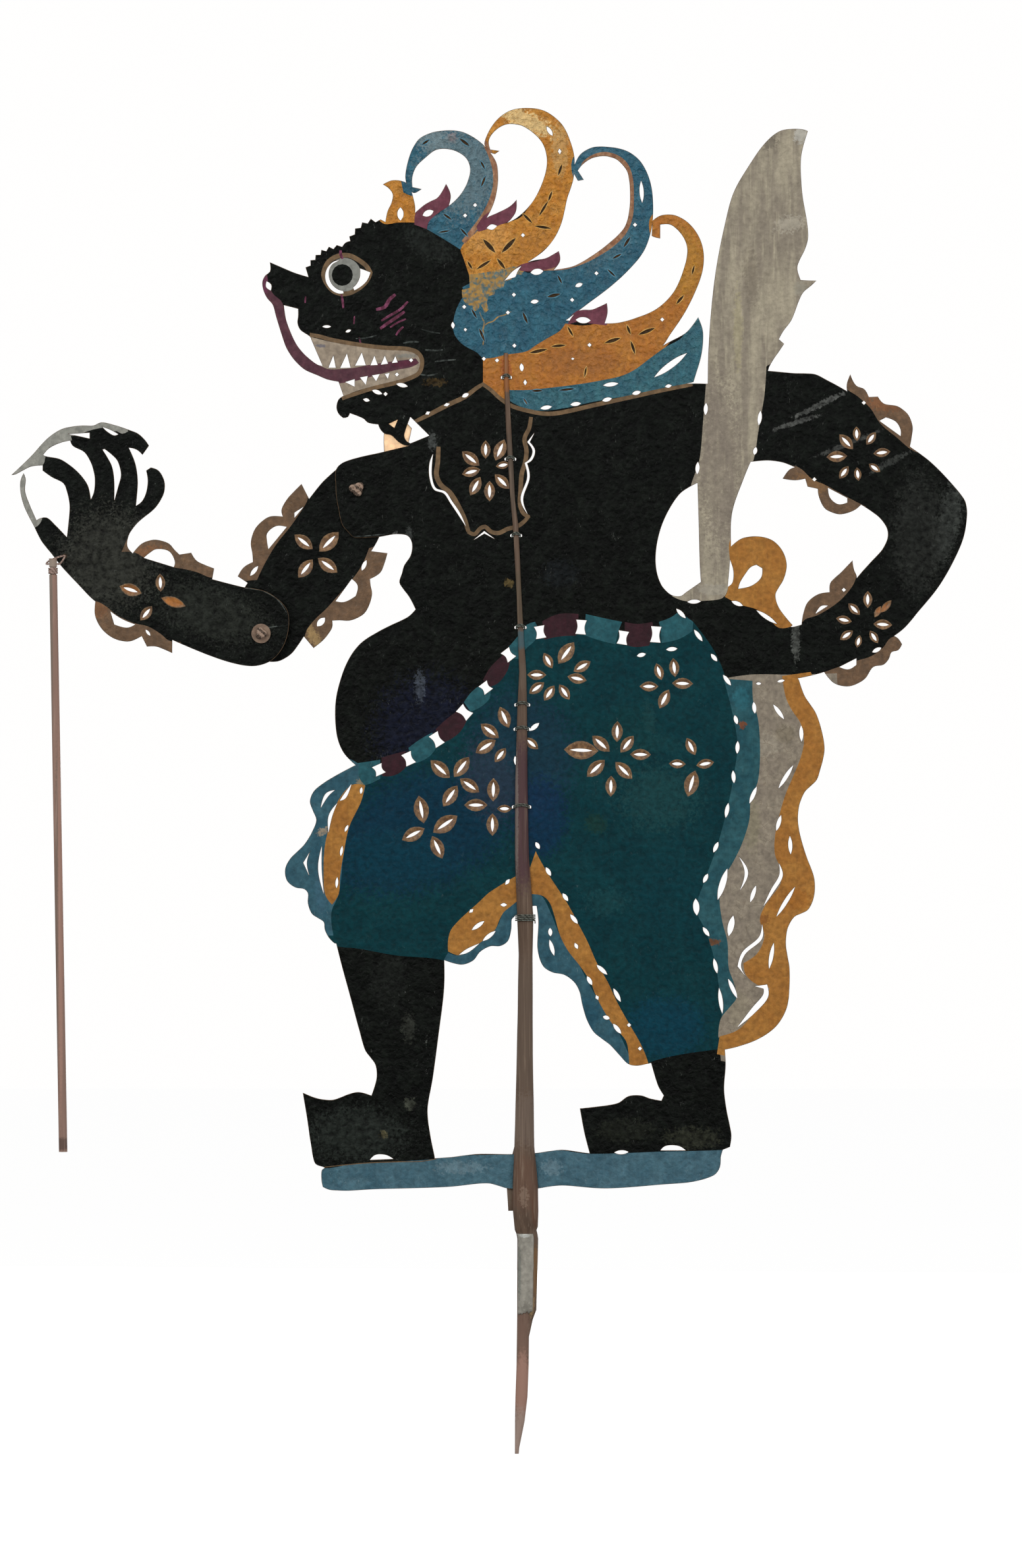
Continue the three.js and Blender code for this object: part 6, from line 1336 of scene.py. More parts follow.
    def thicken(self, mesh: bmesh.types.BMesh, front: float, back: float) -> list[bmesh.types.BMFace]:
        """Give the flat mesh soft rims, walls and a painted back.

        Args:
            mesh: the flat mesh, which is changed.
            front: where the front of the sheet is, along y.
            back: where the back of the sheet is, along y.

        Returns:
            The faces of the rims and walls.
        """
        open_edges = [e for e in mesh.edges if e.is_boundary]
        for vert in {v for e in open_edges for v in e.verts}:
            if max(e.calc_length() for e in vert.link_edges) < self.rim_reach:
                vert.co.y = max(vert.co.y, front + self.rim_width)
        half = mesh.faces[:]
        copy = bmesh.ops.duplicate(mesh, geom=half + mesh.edges[:] + mesh.verts[:])["geom"]
        behind = [g for g in copy if isinstance(g, bmesh.types.BMFace)]
        for vert in (g for g in copy if isinstance(g, bmesh.types.BMVert)):
            vert.co.y = front + back - vert.co.y
        bmesh.ops.reverse_faces(mesh, faces=behind)
        walls = bmesh.ops.extrude_edge_only(mesh, edges=open_edges)["geom"]
        for vert in (g for g in walls if isinstance(g, bmesh.types.BMVert)):
            vert.co.y = front + back - vert.co.y
        bmesh.ops.remove_doubles(mesh, verts=mesh.verts, dist=2 * MERGE)
        mesh.normal_update()
        return [f for f in mesh.faces if abs(f.normal.y) < self.rim_slope]

    def dress(
        self,
        mesh: bmesh.types.BMesh,
        rims: list[bmesh.types.BMFace],
        used: list[Finish],
        materials: dict[Finish, Material],
    ) -> Object:
        """Turn the mesh into a piece with its materials.

        Args:
            mesh: the finished mesh, which is freed.
            rims: the faces that show the cut edge of the hide.
            used: the finishes in the order of the mesh's material numbers.
            materials: the material of each finish.

        Returns:
            The piece, on its body.
        """
        for face in rims:
            face.material_index = len(used)
            face.smooth = True
        bmesh.ops.recalc_face_normals(mesh, faces=mesh.faces)
        piece = as_piece(mesh, self.name)
        for finish in [*used, Finish.RIM]:
            piece.data.materials.append(materials[finish])
        return placed(piece, self.body, self.slot, self.node)


def key(spot: Vector) -> tuple[int, int]:
    """A place in the plane of the hide, counted in tenths of a micrometre."""
    return round(spot.x * TICKS_PER_METRE), round(spot.y * TICKS_PER_METRE)


def near(depths: dict[tuple[int, int], float], spot: Vector) -> float:
    """The depth that is named for a place, or 0.

    Args:
        depths: the depths by place.
        spot: the place.

    Returns:
        The depth in metres.
    """
    across, up = key(spot)
    found = (depths.get((across + i, up + j)) for i in (0, -1, 1) for j in (0, -1, 1))
    return next((d for d in found if d is not None), 0.0)


def area(border: Sequence[Vector]) -> float:
    """The area inside a border, above 0 if it runs anticlockwise."""
    return sum(border[i - 1].x * p.y - p.x * border[i - 1].y for i, p in enumerate(border)) / 2


def as_piece(mesh: bmesh.types.BMesh, name: str) -> Object:
    """A named object of a mesh, in the scene; the mesh is freed.

    Args:
        mesh: the mesh.
        name: the object's name.

    Returns:
        The object.
    """
    data = bpy.data.meshes.new(name)
    mesh.to_mesh(data)
    mesh.free()
    piece = bpy.data.objects.new(name, data)
    bpy.context.scene.collection.objects.link(piece)
    return piece


def placed(piece: Object, body: str, slot: str, *nodes: str) -> Object:
    """Hang a piece on its body in place of its CAD nodes.

    Args:
        piece: the piece, already where it belongs.
        body: the CAD body that it rides on.
        slot: the material slot that it takes its finish from; not used.
        nodes: the CAD nodes that it stands for.

    Returns:
        The same piece.
    """
    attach(piece, body)
    if nodes:
        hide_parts(*nodes)
    LOG.info("%s: %d faces on %s", piece.name, len(piece.data.polygons), body)
    return piece


@dataclass(frozen=True)
class Wood:
    """Split cane or wood: grain that runs along z, fine dark pores and bands of other tones by height."""

    name: str
    base: str
    dark: str
    pale: str
    grain: float = 0.6
    pores: float = 0.4
    rough: float = 0.6
    specular: float = 0.2
    bands: tuple[Blush, ...] = ()

    def make(self) -> Material:
        """Make the wood's material.

        Returns:
            The finished material.
        """
        g = Graph(self.name)
        fibre = g.clouds(g.stretched(1.0, 1.0, 0.02), FIBRE_WAVES, 4.0, 0.5)
        broad = g.clouds(g.stretched(1.0, 1.0, 0.06), BROAD_WAVES, 3.0, 0.8)
        tone = g.mix(g.step(broad, 0.35, 0.65, self.grain), linear(self.base), linear(self.dark))
        tone = g.blushed(tone, self.bands)
        tone = g.mix(g.step(fibre, 0.52, 0.72, self.grain), tone, linear(self.pale))
        tone = g.mix(g.step(fibre, 0.42, 0.28, self.pores), tone, linear(self.dark))
        g.link(tone, g.shader.inputs["Base Color"])
        g.link(g.sum("ADD", g.step(fibre, 0.3, 0.7, 0.2), self.rough - 0.1), g.shader.inputs["Roughness"])
        g.shader.inputs["Specular IOR Level"].default_value = self.specular
        g.bump(g.sum("ADD", fibre, g.sum("MULTIPLY", broad, 1.5)), 0.6, WOOD_DEPTH)
        return g.material


@dataclass(frozen=True)
class Twine:
    """Thread or cord: fibres twisted round, lighter on the turns and darker between them, a painted shade in
    the grooves.
    """

    name: str
    base: str
    dark: str
    pale: str
    twist: float = 1400.0

    def make(self) -> Material:
        """Make the twine's material.

        Returns:
            The finished material.
        """
        g = Graph(self.name)
        wave = g.add("ShaderNodeTexWave")
        wave.bands_direction = "DIAGONAL"
        g.link(g.place, wave.inputs["Vector"])
        wave.inputs["Scale"].default_value = self.twist / 6.0
        wave.inputs["Distortion"].default_value = 3.0
        wave.inputs["Detail"].default_value = 2.0
        turn = wave.outputs["Fac"]
        # the dark tone between the turns is a painted shade in the grooves of the twist
        tone = g.mix(g.step(turn, 0.15, 0.75), linear(self.dark), linear(self.base))
        fluff = g.clouds(g.place, FLUFF_WAVES, 3.0)
        tone = g.mix(g.step(fluff, 0.5, 0.72, 0.8), tone, linear(self.pale))
        g.link(tone, g.shader.inputs["Base Color"])
        g.shader.inputs["Roughness"].default_value = 0.7
        g.shader.inputs["Specular IOR Level"].default_value = 0.2
        g.bump(g.sum("ADD", turn, fluff), 0.7, TWINE_DEPTH)
        return g.material


ROD_WOOD = Wood(
    "split_rod_wood", "6e5a4b", "4a3a30", "9a8674", 0.5, 0.5,
    bands=spots(
        (768, 566, 40, 42, "a8662f", 0.7, 0.3), (776, 720, 40, 90, "5c5247", 0.6, 0.3),
        (790, 905, 40, 60, "59503f", 0.6, 0.3), (790, 971, 40, 20, "3f6670", 0.75, 0.4),
        (790, 1025, 40, 30, "6f6052", 0.6, 0.4), (793, 1235, 40, 170, "533a3e", 0.9, 0.3),
        (784, 1235, 4, 150, "8a7f78", 0.7, 0.5), (797, 1560, 40, 160, "6a5a4d", 0.8, 0.3),
        (797, 1700, 40, 60, "7a6a5e", 0.7, 0.5), (796, 1795, 50, 60, "6e5242", 0.7, 0.4),
        (772, 1800, 10, 50, "7d6d5c", 0.8, 0.3), (795, 1815, 10, 22, "a08a78", 0.5, 0.95),
        (812, 1835, 8, 40, "6a4a38", 0.7, 0.4), (812, 1930, 8, 60, "8a6842", 0.8, 0.5),
        (806, 1980, 7, 26, "b09468", 0.8, 0.6), (794, 2026, 20, 60, "866b5d", 0.9, 0.3),
        (793, 2105, 20, 80, "b28a7a", 0.95, 0.3), (790, 2190, 20, 80, "b0988c", 0.95, 0.3),
        (784, 2170, 3, 40, "b09a8e", 0.7, 0.3),
    ),
)

CANE = Wood(
    "arm_rod_cane", "a08072", "8a7366", "c0a294", 0.5, 0.35,
    bands=spots(
        (79, 1000, 5, 300, "82776a", 0.75, 0.3), (88, 1400, 5, 380, "7c6c60", 0.7, 0.3),
        (94, 1300, 6, 560, "b48c7c", 0.7, 0.3), (97, 1735, 20, 14, "5c4a42", 0.8, 0.3),
        (82, 858, 14, 14, "a39a8c", 0.6, 0.4),
    ),
)

# the second colour of each twine is the painted shade between its turns
KNOT_CORD = Twine("knot_cord", "a48a78", "3a2c22", "d0baa8", 700.0)
TIE_THREAD = Twine("tie_thread", "676b62", "363a34", "a9ada4")
PINK_THREAD = Twine("wrist_thread", "ae9488", "7a6258", "d8c4b8")
WASHER_HIDE = Paint(
    "806a5a", "98826f", "c0aa98", 0.6, 3 * MM, 0.3, 30.0, 0.5,
    rough=0.6, specular=0.2, relief=0.7,
)
LABEL_PAPER = Paint(
    "989489", "b0ab9f", "cfcac0", 0.6, 7 * MM, 0.4, 0.0, 0.5,
    rough=0.4, specular=0.35, relief=0.5,
    blushes=spots(
        (800, 1985, 10, 14, "7a766c", 0.7, 0.8), (788, 1930, 4, 60, "787c74", 0.7, 0.5),
        (796, 1875, 12, 4, "d8dad4", 0.7, 0.4),
    ),
)


ROD_SHAFT = (
    (536, 764.6, 771), (576, 764.8, 772.3), (650, 767.8, 776), (697, 770.4, 778.7), (760, 774.7, 781.8),
    (800, 778.3, 787), (905, 784, 791.7), (950, 785.3, 794.2), (1020, 787.8, 798.7), (1075, 785, 800),
    (1190, 781.5, 800.8), (1300, 781.2, 802.9), (1393, 784.5, 810), (1450, 786.8, 808.5),
    (1600, 784, 809), (1740, 780.3, 811.4),
)
ROD_HANDLE = (
    (1790, 778.2, 816), (1800, 777.8, 817), (1838, 778, 817.5), (1862, 780.4, 816.5), (1867, 781, 814.5),
    (1873, 783.5, 816), (1880, 784.7, 817), (1988, 784.5, 814.6), (2003, 784.4, 808.9), (2029, 784.2, 803),
    (2072, 783.5, 802.6), (2120, 782, 800.8), (2157, 781.3, 796.3), (2197, 781.25, 788.2),
    (2206.5, 781.25, 787.35),
)
ROD_BACK_END = ((1790, 768, 806), (1838, 771, 804))
ROD_FACE = 1.05 * MM
ROD_DEPTH_SHARE = 0.85
ROD_SPLIT_END = 1844
ROD_WHOLE_START = 1866
TIE_HEIGHTS = (573, 697, 813, 952.5, 1070, 1107, 1225, 1393)


@dataclass(frozen=True)
class SplitRod:
    """The main rod: a front half that goes on down as handle and foot, and a back half that ends square."""

    sides: int = 28
    ring_spacing: float = 4 * MM
    unevenness: float = 0.04

    def build(self, wood: Material) -> None:
        """Build both halves.

        Args:
            wood: the rod's material.
        """
        front = self.half("rod_front_half", (*ROD_SHAFT, *ROD_HANDLE), -1)
        front.data.materials.append(wood)
        placed(front, "body", "main_rod_wood", "main_rod_front")
        back = self.half("rod_back_half", (*ROD_SHAFT, *ROD_BACK_END), 1)
        back.data.materials.append(wood)
        placed(back, "body", "main_rod_wood", "main_rod_back")

    def heights(self, stations: Sequence[Triple]) -> list[Triple]:
        """Finer stations between the given ones: height, left edge and right edge in pixels.

        Args:
            stations: the given ones, from the top down.

        Returns:
            The finer ones, with both ends.
        """
        finer = []
        step = self.ring_spacing / METRES_PER_PIXEL
        for low, high in zip(stations, stations[1:]):
            count = max(1, round((high[0] - low[0]) / step))
            finer.extend(tuple(a + (b - a) * k / count for a, b in zip(low, high)) for k in range(count))
        return [*finer, stations[-1]]

    def half(self, name: str, stations: Sequence[Triple], outward: int) -> Object:
        """Shape one half of the rod from a round bar.

        Args:
            name: the piece's name.
            stations: height, left edge and right edge of the rod, from the top down, in pixels.
            outward: -1 for the front half and 1 for the back half.

        Returns:
            The half, without its material.
        """
        rings = self.heights(stations)
        last = len(rings) - 1
        mesh = bmesh.new()
        bmesh.ops.create_cone(mesh, cap_ends=True, segments=self.sides, radius1=1.0, radius2=1.0, depth=1.0)
        upright = [e for e in mesh.edges if abs(e.verts[0].co.z - e.verts[1].co.z) > 0.5]
        bmesh.ops.subdivide_edges(mesh, edges=upright, cuts=last - 1, use_grid_fill=True)
        for vert in mesh.verts:
            height, left, right = rings[round((0.5 - vert.co.z) * last)]
            vert.co = self.place(height, left, right, math.atan2(vert.co.y, vert.co.x), outward)
        for face in mesh.faces:
            face.smooth = len(face.verts) == 4
        ends = [e for f in mesh.faces if len(f.verts) > 4 for e in f.edges]
        bmesh.ops.bevel(
            mesh, geom=ends, offset=0.25 * MM, segments=2, profile=0.5, affect="EDGES", material=-1,
            clamp_overlap=True,
        )
        bmesh.ops.recalc_face_normals(mesh, faces=mesh.faces)
        return as_piece(mesh, name)

    def place(self, height: float, left: float, right: float, angle: float, outward: int) -> Vector:
        """Where a point of the rod's skin is.

        Args:
            height: the height in pixels of the picture.
            left: the rod's left edge there, in pixels.
            right: its right edge.
            angle: the point's angle round the rod, in radians.
            outward: -1 for the front half and 1 for the back half.

        Returns:
            The place in metres.
        """
        middle = on_sheet(((left + right) / 2, height))
        half = (right - left) / 2 * METRES_PER_PIXEL
        share = min(1.0, max(0.0, (height - ROD_SPLIT_END) / (ROD_WHOLE_START - ROD_SPLIT_END)))
        whole = share * share * (3 - 2 * share) if outward < 0 else 0.0
        reach = half * ROD_DEPTH_SHARE * math.sin(angle)
        out = reach if reach * outward > 0 else whole * reach
        uneven = noise.noise(Vector((math.cos(angle) * 1.3, math.sin(angle) * 1.3, middle.y * 45)))
        keep = 1 - self.unevenness * (1 + uneven) / 2
        y = outward * ROD_FACE * (1 - whole) + out * keep
        return Vector((middle.x + half * math.cos(angle) * keep, y, middle.y))


def rod_at(height: float) -> tuple[float, float]:
    """The rod's middle in pixels and half its width in metres, at a height of the picture.

    Args:
        height: the height in pixels.

    Returns:
        The middle and the half width.
    """
    stations = (*ROD_SHAFT, *ROD_HANDLE)
    below = next(i for i, s in enumerate(stations) if s[0] >= height)
    low, high = stations[below - 1], stations[below]
    share = (height - low[0]) / (high[0] - low[0])
    left, right = (low[k] + (high[k] - low[k]) * share for k in (1, 2))
    return (left + right) / 2, (right - left) / 2 * METRES_PER_PIXEL


def strand(points: Iterable[Vector], radius: float, closed: bool, sides: int = 2) -> bmesh.types.BMesh:
    """A round strand along a smooth line.

    Args:
        points: the points that the line passes near.
        radius: the strand's radius.
        closed: whether its ends meet.
        sides: the roundness of its section.

    Returns:
        The strand's mesh.
    """
    data = bpy.data.curves.new("strand", "CURVE")
    data.dimensions = "3D"
    data.bevel_depth = radius
    data.bevel_resolution = sides
    data.resolution_u = 4
    data.use_fill_caps = not closed
    line = data.splines.new("NURBS")
    spots = list(points)
    line.points.add(len(spots) - 1)
    for knot, spot in zip(line.points, spots):
        knot.co = (*spot, 1.0)
    line.use_cyclic_u = closed
    line.use_endpoint_u = not closed
    line.order_u = 3
    holder = bpy.data.objects.new("strand", data)
    bpy.context.scene.collection.objects.link(holder)
    made = bpy.data.meshes.new_from_object(holder.evaluated_get(bpy.context.evaluated_depsgraph_get()))
    mesh = bmesh.new()
    mesh.from_mesh(made)
    bpy.data.objects.remove(holder)
    bpy.data.curves.remove(data)
    bpy.data.meshes.remove(made)
    return mesh


def joined(parts: Sequence[bmesh.types.BMesh]) -> bmesh.types.BMesh:
    """One mesh of several, which are freed.

    Args:
        parts: the meshes.

    Returns:
        The whole, smooth all over.
    """
    whole = bmesh.new()
    for part in parts:
        data = bpy.data.meshes.new("part")
        part.to_mesh(data)
        part.free()
        whole.from_mesh(data)
        bpy.data.meshes.remove(data)
    for face in whole.faces:
        face.smooth = True
    return whole


@dataclass(frozen=True)
class RodTies:
    """The eight ties of two thin threads each, which clamp the hide between the halves of the rod."""

    gap: float = 0.9 * MM
    radius: float = 0.42 * MM
    spread: float = 0.55 * MM
    arch: float = 2.2 * MM
    lowest_arch: float = 0.2 * MM
    steps: int = 20
    ridge_turns: int = 4
    end_share: float = 0.8
    end_front: float = -2.6 * MM
    end_drop: float = 1.0 * MM
    end_steps: tuple[Triple, ...] = ((-3, -2.2, 0.2), (0, -0.6, 0), (1.0, 0, -1.0), (0.8, 0.2, -2.6))

    def build(self, thread: Material) -> None:
        """Tie every tie, the lowest with more turns and a loose end.

        Args:
            thread: the thread's material.
        """
        for number, height in enumerate(TIE_HEIGHTS, start=1):
            lowest = number == len(TIE_HEIGHTS)
            turns = self.ridge_turns if lowest else 2
            arch = self.lowest_arch if lowest else self.arch
            rise = [(k - (turns - 1) / 2) * self.spread * 2 for k in range(turns)]
            parts = [strand(self.loop(height, up, arch), self.radius, True) for up in rise]
            if lowest:
                parts.append(strand(self.loose_end(height), self.radius * self.end_share, False))
            piece = as_piece(joined(parts), f"tie_threads_{number}")
            piece.data.materials.append(thread)
            placed(piece, "body", "thread", f"rod_tie_{number}")

    def loop(self, height: float, up: float, arch: float) -> list[Vector]:
        """One thread's way round both halves of the rod.

        Args:
            height: the tie's height in pixels.
            up: how far the thread is above it.
            arch: how far its front rises.

        Returns:
            The points of the way round.
        """
        middle_px, half = rod_at(height)
        middle = on_sheet((middle_px, height))
        points = []
        for step in range(self.steps):
            angle = 2 * math.pi * step / self.steps
            out = -math.sin(angle)
            y = math.copysign(ROD_FACE, out) + out * (half * ROD_DEPTH_SHARE + self.gap)
            lift = up + arch * max(0.0, math.sin(angle)) * 0.9 - arch * 0.25
            points.append(Vector((middle.x + (half + self.gap) * math.cos(angle), y, middle.y + lift)))
        return points

    def loose_end(self, height: float) -> list[Vector]:
        """The frayed end that hangs from the lowest tie.

        Args:
            height: the tie's height in pixels.

        Returns:
            The points of the end.
        """
        middle_px, half = rod_at(height)
        middle = on_sheet((middle_px, height))
        start = Vector((middle.x + half, self.end_front, middle.y - self.end_drop))
        return [start + Vector(step) * MM for step in self.end_steps]


@dataclass(frozen=True)
class Pivots:
    """The two knotted cords that the arm turns on, with the washer of the elbow."""

    shoulder: Spot = (541.7, 742.3)
    elbow: Spot = (396.6, 961.8)
    cord_radius: float = 1.2 * MM
    back_knot: float = 3.95 * MM
    back_knot_radius: float = 2.5 * MM
    core_back_mm: float = 4.6
    spacer_radius: float = 2.5 * MM
    spacer_mm: Triple = (-2.65, -1.0, 0.7)
    knot_points: int = 30
    washer_radius: float = 6.2 * MM
    washer_bore: float = 1.5 * MM
    washer_thickness: float = 0.9 * MM
    washer_front: float = -5.75 * MM

    def build(self, cord: Material, washer: Material) -> None:
        """Knot both cords and lay the washer.

        Args:
            cord: the cords' material.
            washer: the washer's material.
        """
        reach, radius, turn = (-4.0, -1.1), 5.2 * MM, 0.3
        self.knotted("shoulder_knot", self.shoulder, radius, reach, "body", "shoulder_cord", cord, turn)
        reach, radius, turn = (-8.6, -6.1), 4.1 * MM, 1.4
        self.knotted("elbow_knot", self.elbow, radius, reach, "upper_arm", "elbow_cord", cord, turn)
        self.lay_washer(washer)

    def knotted(
        self, name: str, spot: Spot, radius: float, reach: tuple[float, float], body: str, node: str,
        cord: Material, turn: float,
    ) -> None:
        """Knot one cord in front of the hide and behind the arm.

        Args:
            name: the piece's name.
            spot: the pivot in pixels of the picture.
            radius: how far the front knot reaches from the pivot.
            reach: the front and back of the front knot along y, in millimetres.
            body: the CAD body that it rides on.
            node: the CAD node that it stands for.
            cord: the cord's material.
            turn: how far the knot is turned, in radians.
        """
        middle = on_sheet(spot)
        thick = self.cord_radius * 1.05
        front = (reach[0] + reach[1]) / 2 * MM
        swing = (reach[1] - reach[0]) / 2 * MM - thick
        front_knot = self.trefoil(middle, front, radius - thick, swing, turn)
        back_knot = self.trefoil(middle, self.back_knot, self.back_knot_radius, 0.05 * MM, turn)
        parts = [strand(front_knot, thick, True), strand(back_knot, 1.0 * MM, True)]
        core = [Vector((middle.x, y * MM, middle.y)) for y in (reach[0] + 1.2, 0.0, self.core_back_mm)]
        parts.append(strand(core, self.cord_radius, False))
        if body == "upper_arm":
            spacer = [Vector((middle.x, y * MM, middle.y)) for y in self.spacer_mm]
            parts.append(strand(spacer, self.spacer_radius, False, 4))
        piece = as_piece(joined(parts), name)
        piece.data.materials.append(cord)
        placed(piece, body, "cord", node)

    def trefoil(self, middle: Vector, front: float, radius: float, swing: float, turn: float) -> list[Vector]:
        """The flattened line of a simple knot.

        Args:
            middle: the pivot, as (x, z).
            front: where the knot's middle is along y.
            radius: how far it reaches.
            swing: how far it goes to either side along y.
            turn: how far it is turned, in radians.

        Returns:
            The points of the line.
        """
        points = []
        for step in range(self.knot_points):
            angle = 2 * math.pi * step / self.knot_points
            x = math.sin(angle) + 2 * math.sin(2 * angle)
            z = math.cos(angle) - 2 * math.cos(2 * angle)
            flat = Matrix.Rotation(turn, 2) @ Vector((x, z * 0.92)) * (radius / 3)
            points.append(Vector((middle.x + flat.x, front - swing * math.sin(3 * angle), middle.y + flat.y)))
        return points

    def lay_washer(self, washer: Material) -> None:
        """Cut the slightly uneven washer under the elbow's knot.

        Args:
            washer: the washer's material.
        """
        middle = on_sheet(self.elbow)
        mesh = bmesh.new()
        bmesh.ops.create_circle(mesh, cap_ends=False, segments=40, radius=self.washer_radius)
        upright = Matrix.Rotation(math.radians(90), 3, "X")
        bmesh.ops.rotate(mesh, verts=mesh.verts, cent=(0, 0, 0), matrix=upright)
        rim = mesh.edges[:]
        inner = bmesh.ops.extrude_edge_only(mesh, edges=rim)["geom"]
        for vert in (g for g in inner if isinstance(g, bmesh.types.BMVert)):
            vert.co *= self.washer_bore / self.washer_radius
        for vert in mesh.verts:
            vert.co *= 1 - 0.05 * abs(noise.noise(vert.co * 260))
        bmesh.ops.recalc_face_normals(mesh, faces=mesh.faces)
        bmesh.ops.solidify(mesh, geom=mesh.faces[:], thickness=self.washer_thickness)
        corners = [e for e in mesh.edges if e.calc_face_angle(0.0) > 0.8]
        bmesh.ops.bevel(
            mesh, geom=corners, offset=0.2 * MM, segments=2, profile=0.5, affect="EDGES", material=-1,
            clamp_overlap=True,
        )
        lowest = min(v.co.y for v in mesh.verts)
        bmesh.ops.translate(mesh, verts=mesh.verts, vec=(middle.x, self.washer_front - lowest, middle.y))
        bmesh.ops.recalc_face_normals(mesh, faces=mesh.faces)
        piece = as_piece(mesh, "elbow_washer_hide")
        piece.data.materials.append(washer)
        placed(piece, "upper_arm", "washer_hide", "elbow_washer")


@dataclass(frozen=True)
class PaperLabel:
    """The blank strip of paper on the handle, torn at its lower end.

    top, bottom and tear are in pixels of the picture, start, end and fray in degrees round the rod.
    """

    top: float = 1872.0
    bottom: float = 1994.0
    start: float = 56.0
    end: float = 150.0
    lift: float = 0.3 * MM
    thickness: float = 0.3 * MM
    crease: float = 0.12 * MM
    tear: float = 8.0
    fray: float = 1.6
    columns: int = 18
    rows: int = 46

    def build(self, paper: Material) -> None:
        """Lay the strip round the handle's front.

        Args:
            paper: the strip's material.
        """
        mesh = bmesh.new()
        bmesh.ops.create_grid(mesh, x_segments=self.columns, y_segments=self.rows, size=0.5)
        for vert in mesh.verts:
            across, along = vert.co.x + 0.5, vert.co.y + 0.5
            torn = self.tear * (1 - along) ** 8 * (noise.noise(Vector((across * 6, 2.7, 0.4))) - 0.3)
            height = self.bottom + (self.top - self.bottom) * along + torn
            middle_px, half = rod_at(height)
            middle = on_sheet((middle_px, height))
            edge = across > 0.97 or across < 0.03
            frayed = self.fray * noise.noise(Vector((along * 9, 0.0, 5.2))) * edge
            angle = math.radians(self.end + (self.start - self.end) * across + frayed)
            reach = self.lift + self.crease * abs(noise.noise(Vector((across * 3, along * 14, 1.0))))
            vert.co = (
                middle.x + (half + reach) * math.cos(angle),
                -(half * ROD_DEPTH_SHARE + reach) * math.sin(angle),
                middle.y,
            )
        bmesh.ops.recalc_face_normals(mesh, faces=mesh.faces)
        if sum(f.normal.y for f in mesh.faces) > 0:
            bmesh.ops.reverse_faces(mesh, faces=mesh.faces)
        bmesh.ops.solidify(mesh, geom=mesh.faces[:], thickness=self.thickness)
        bmesh.ops.recalc_face_normals(mesh, faces=mesh.faces)
        for face in mesh.faces:
            face.smooth = True
        piece = as_piece(mesh, "label_strip")
        piece.data.materials.append(paper)
        placed(piece, "body", "paper", "blank_label")


def repaint(node: str, material: Material) -> None:
    """Give a CAD node that keeps its shape a finer finish.

    Args:
        node: the node's name.
        material: the finish.
    """
    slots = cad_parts[node].material_slots
    for slot in slots:
        slot.link = "OBJECT"
        slot.material = material
    LOG.info("%s: repainted with %s", node, material.name)


SHEETS = (
    HideSheet("body_sheet", "body_hide", "body", "body_paint", Finish.SKIN, BODY_FIELDS, BODY_CUTS),
    HideSheet(
        "upper_arm_sheet", "upper_arm_hide", "upper_arm", "arm_paint", Finish.SKIN, UPPER_ARM_FIELDS
    ),
    HideSheet(
        "forearm_sheet", "forearm_hide", "forearm", "arm_paint", Finish.SKIN, FOREARM_FIELDS, FOREARM_CUTS
    ),
    HideSheet("chin_patch_sheet", "chin_patch", "body", "raw_hide", Finish.PATCH),
)


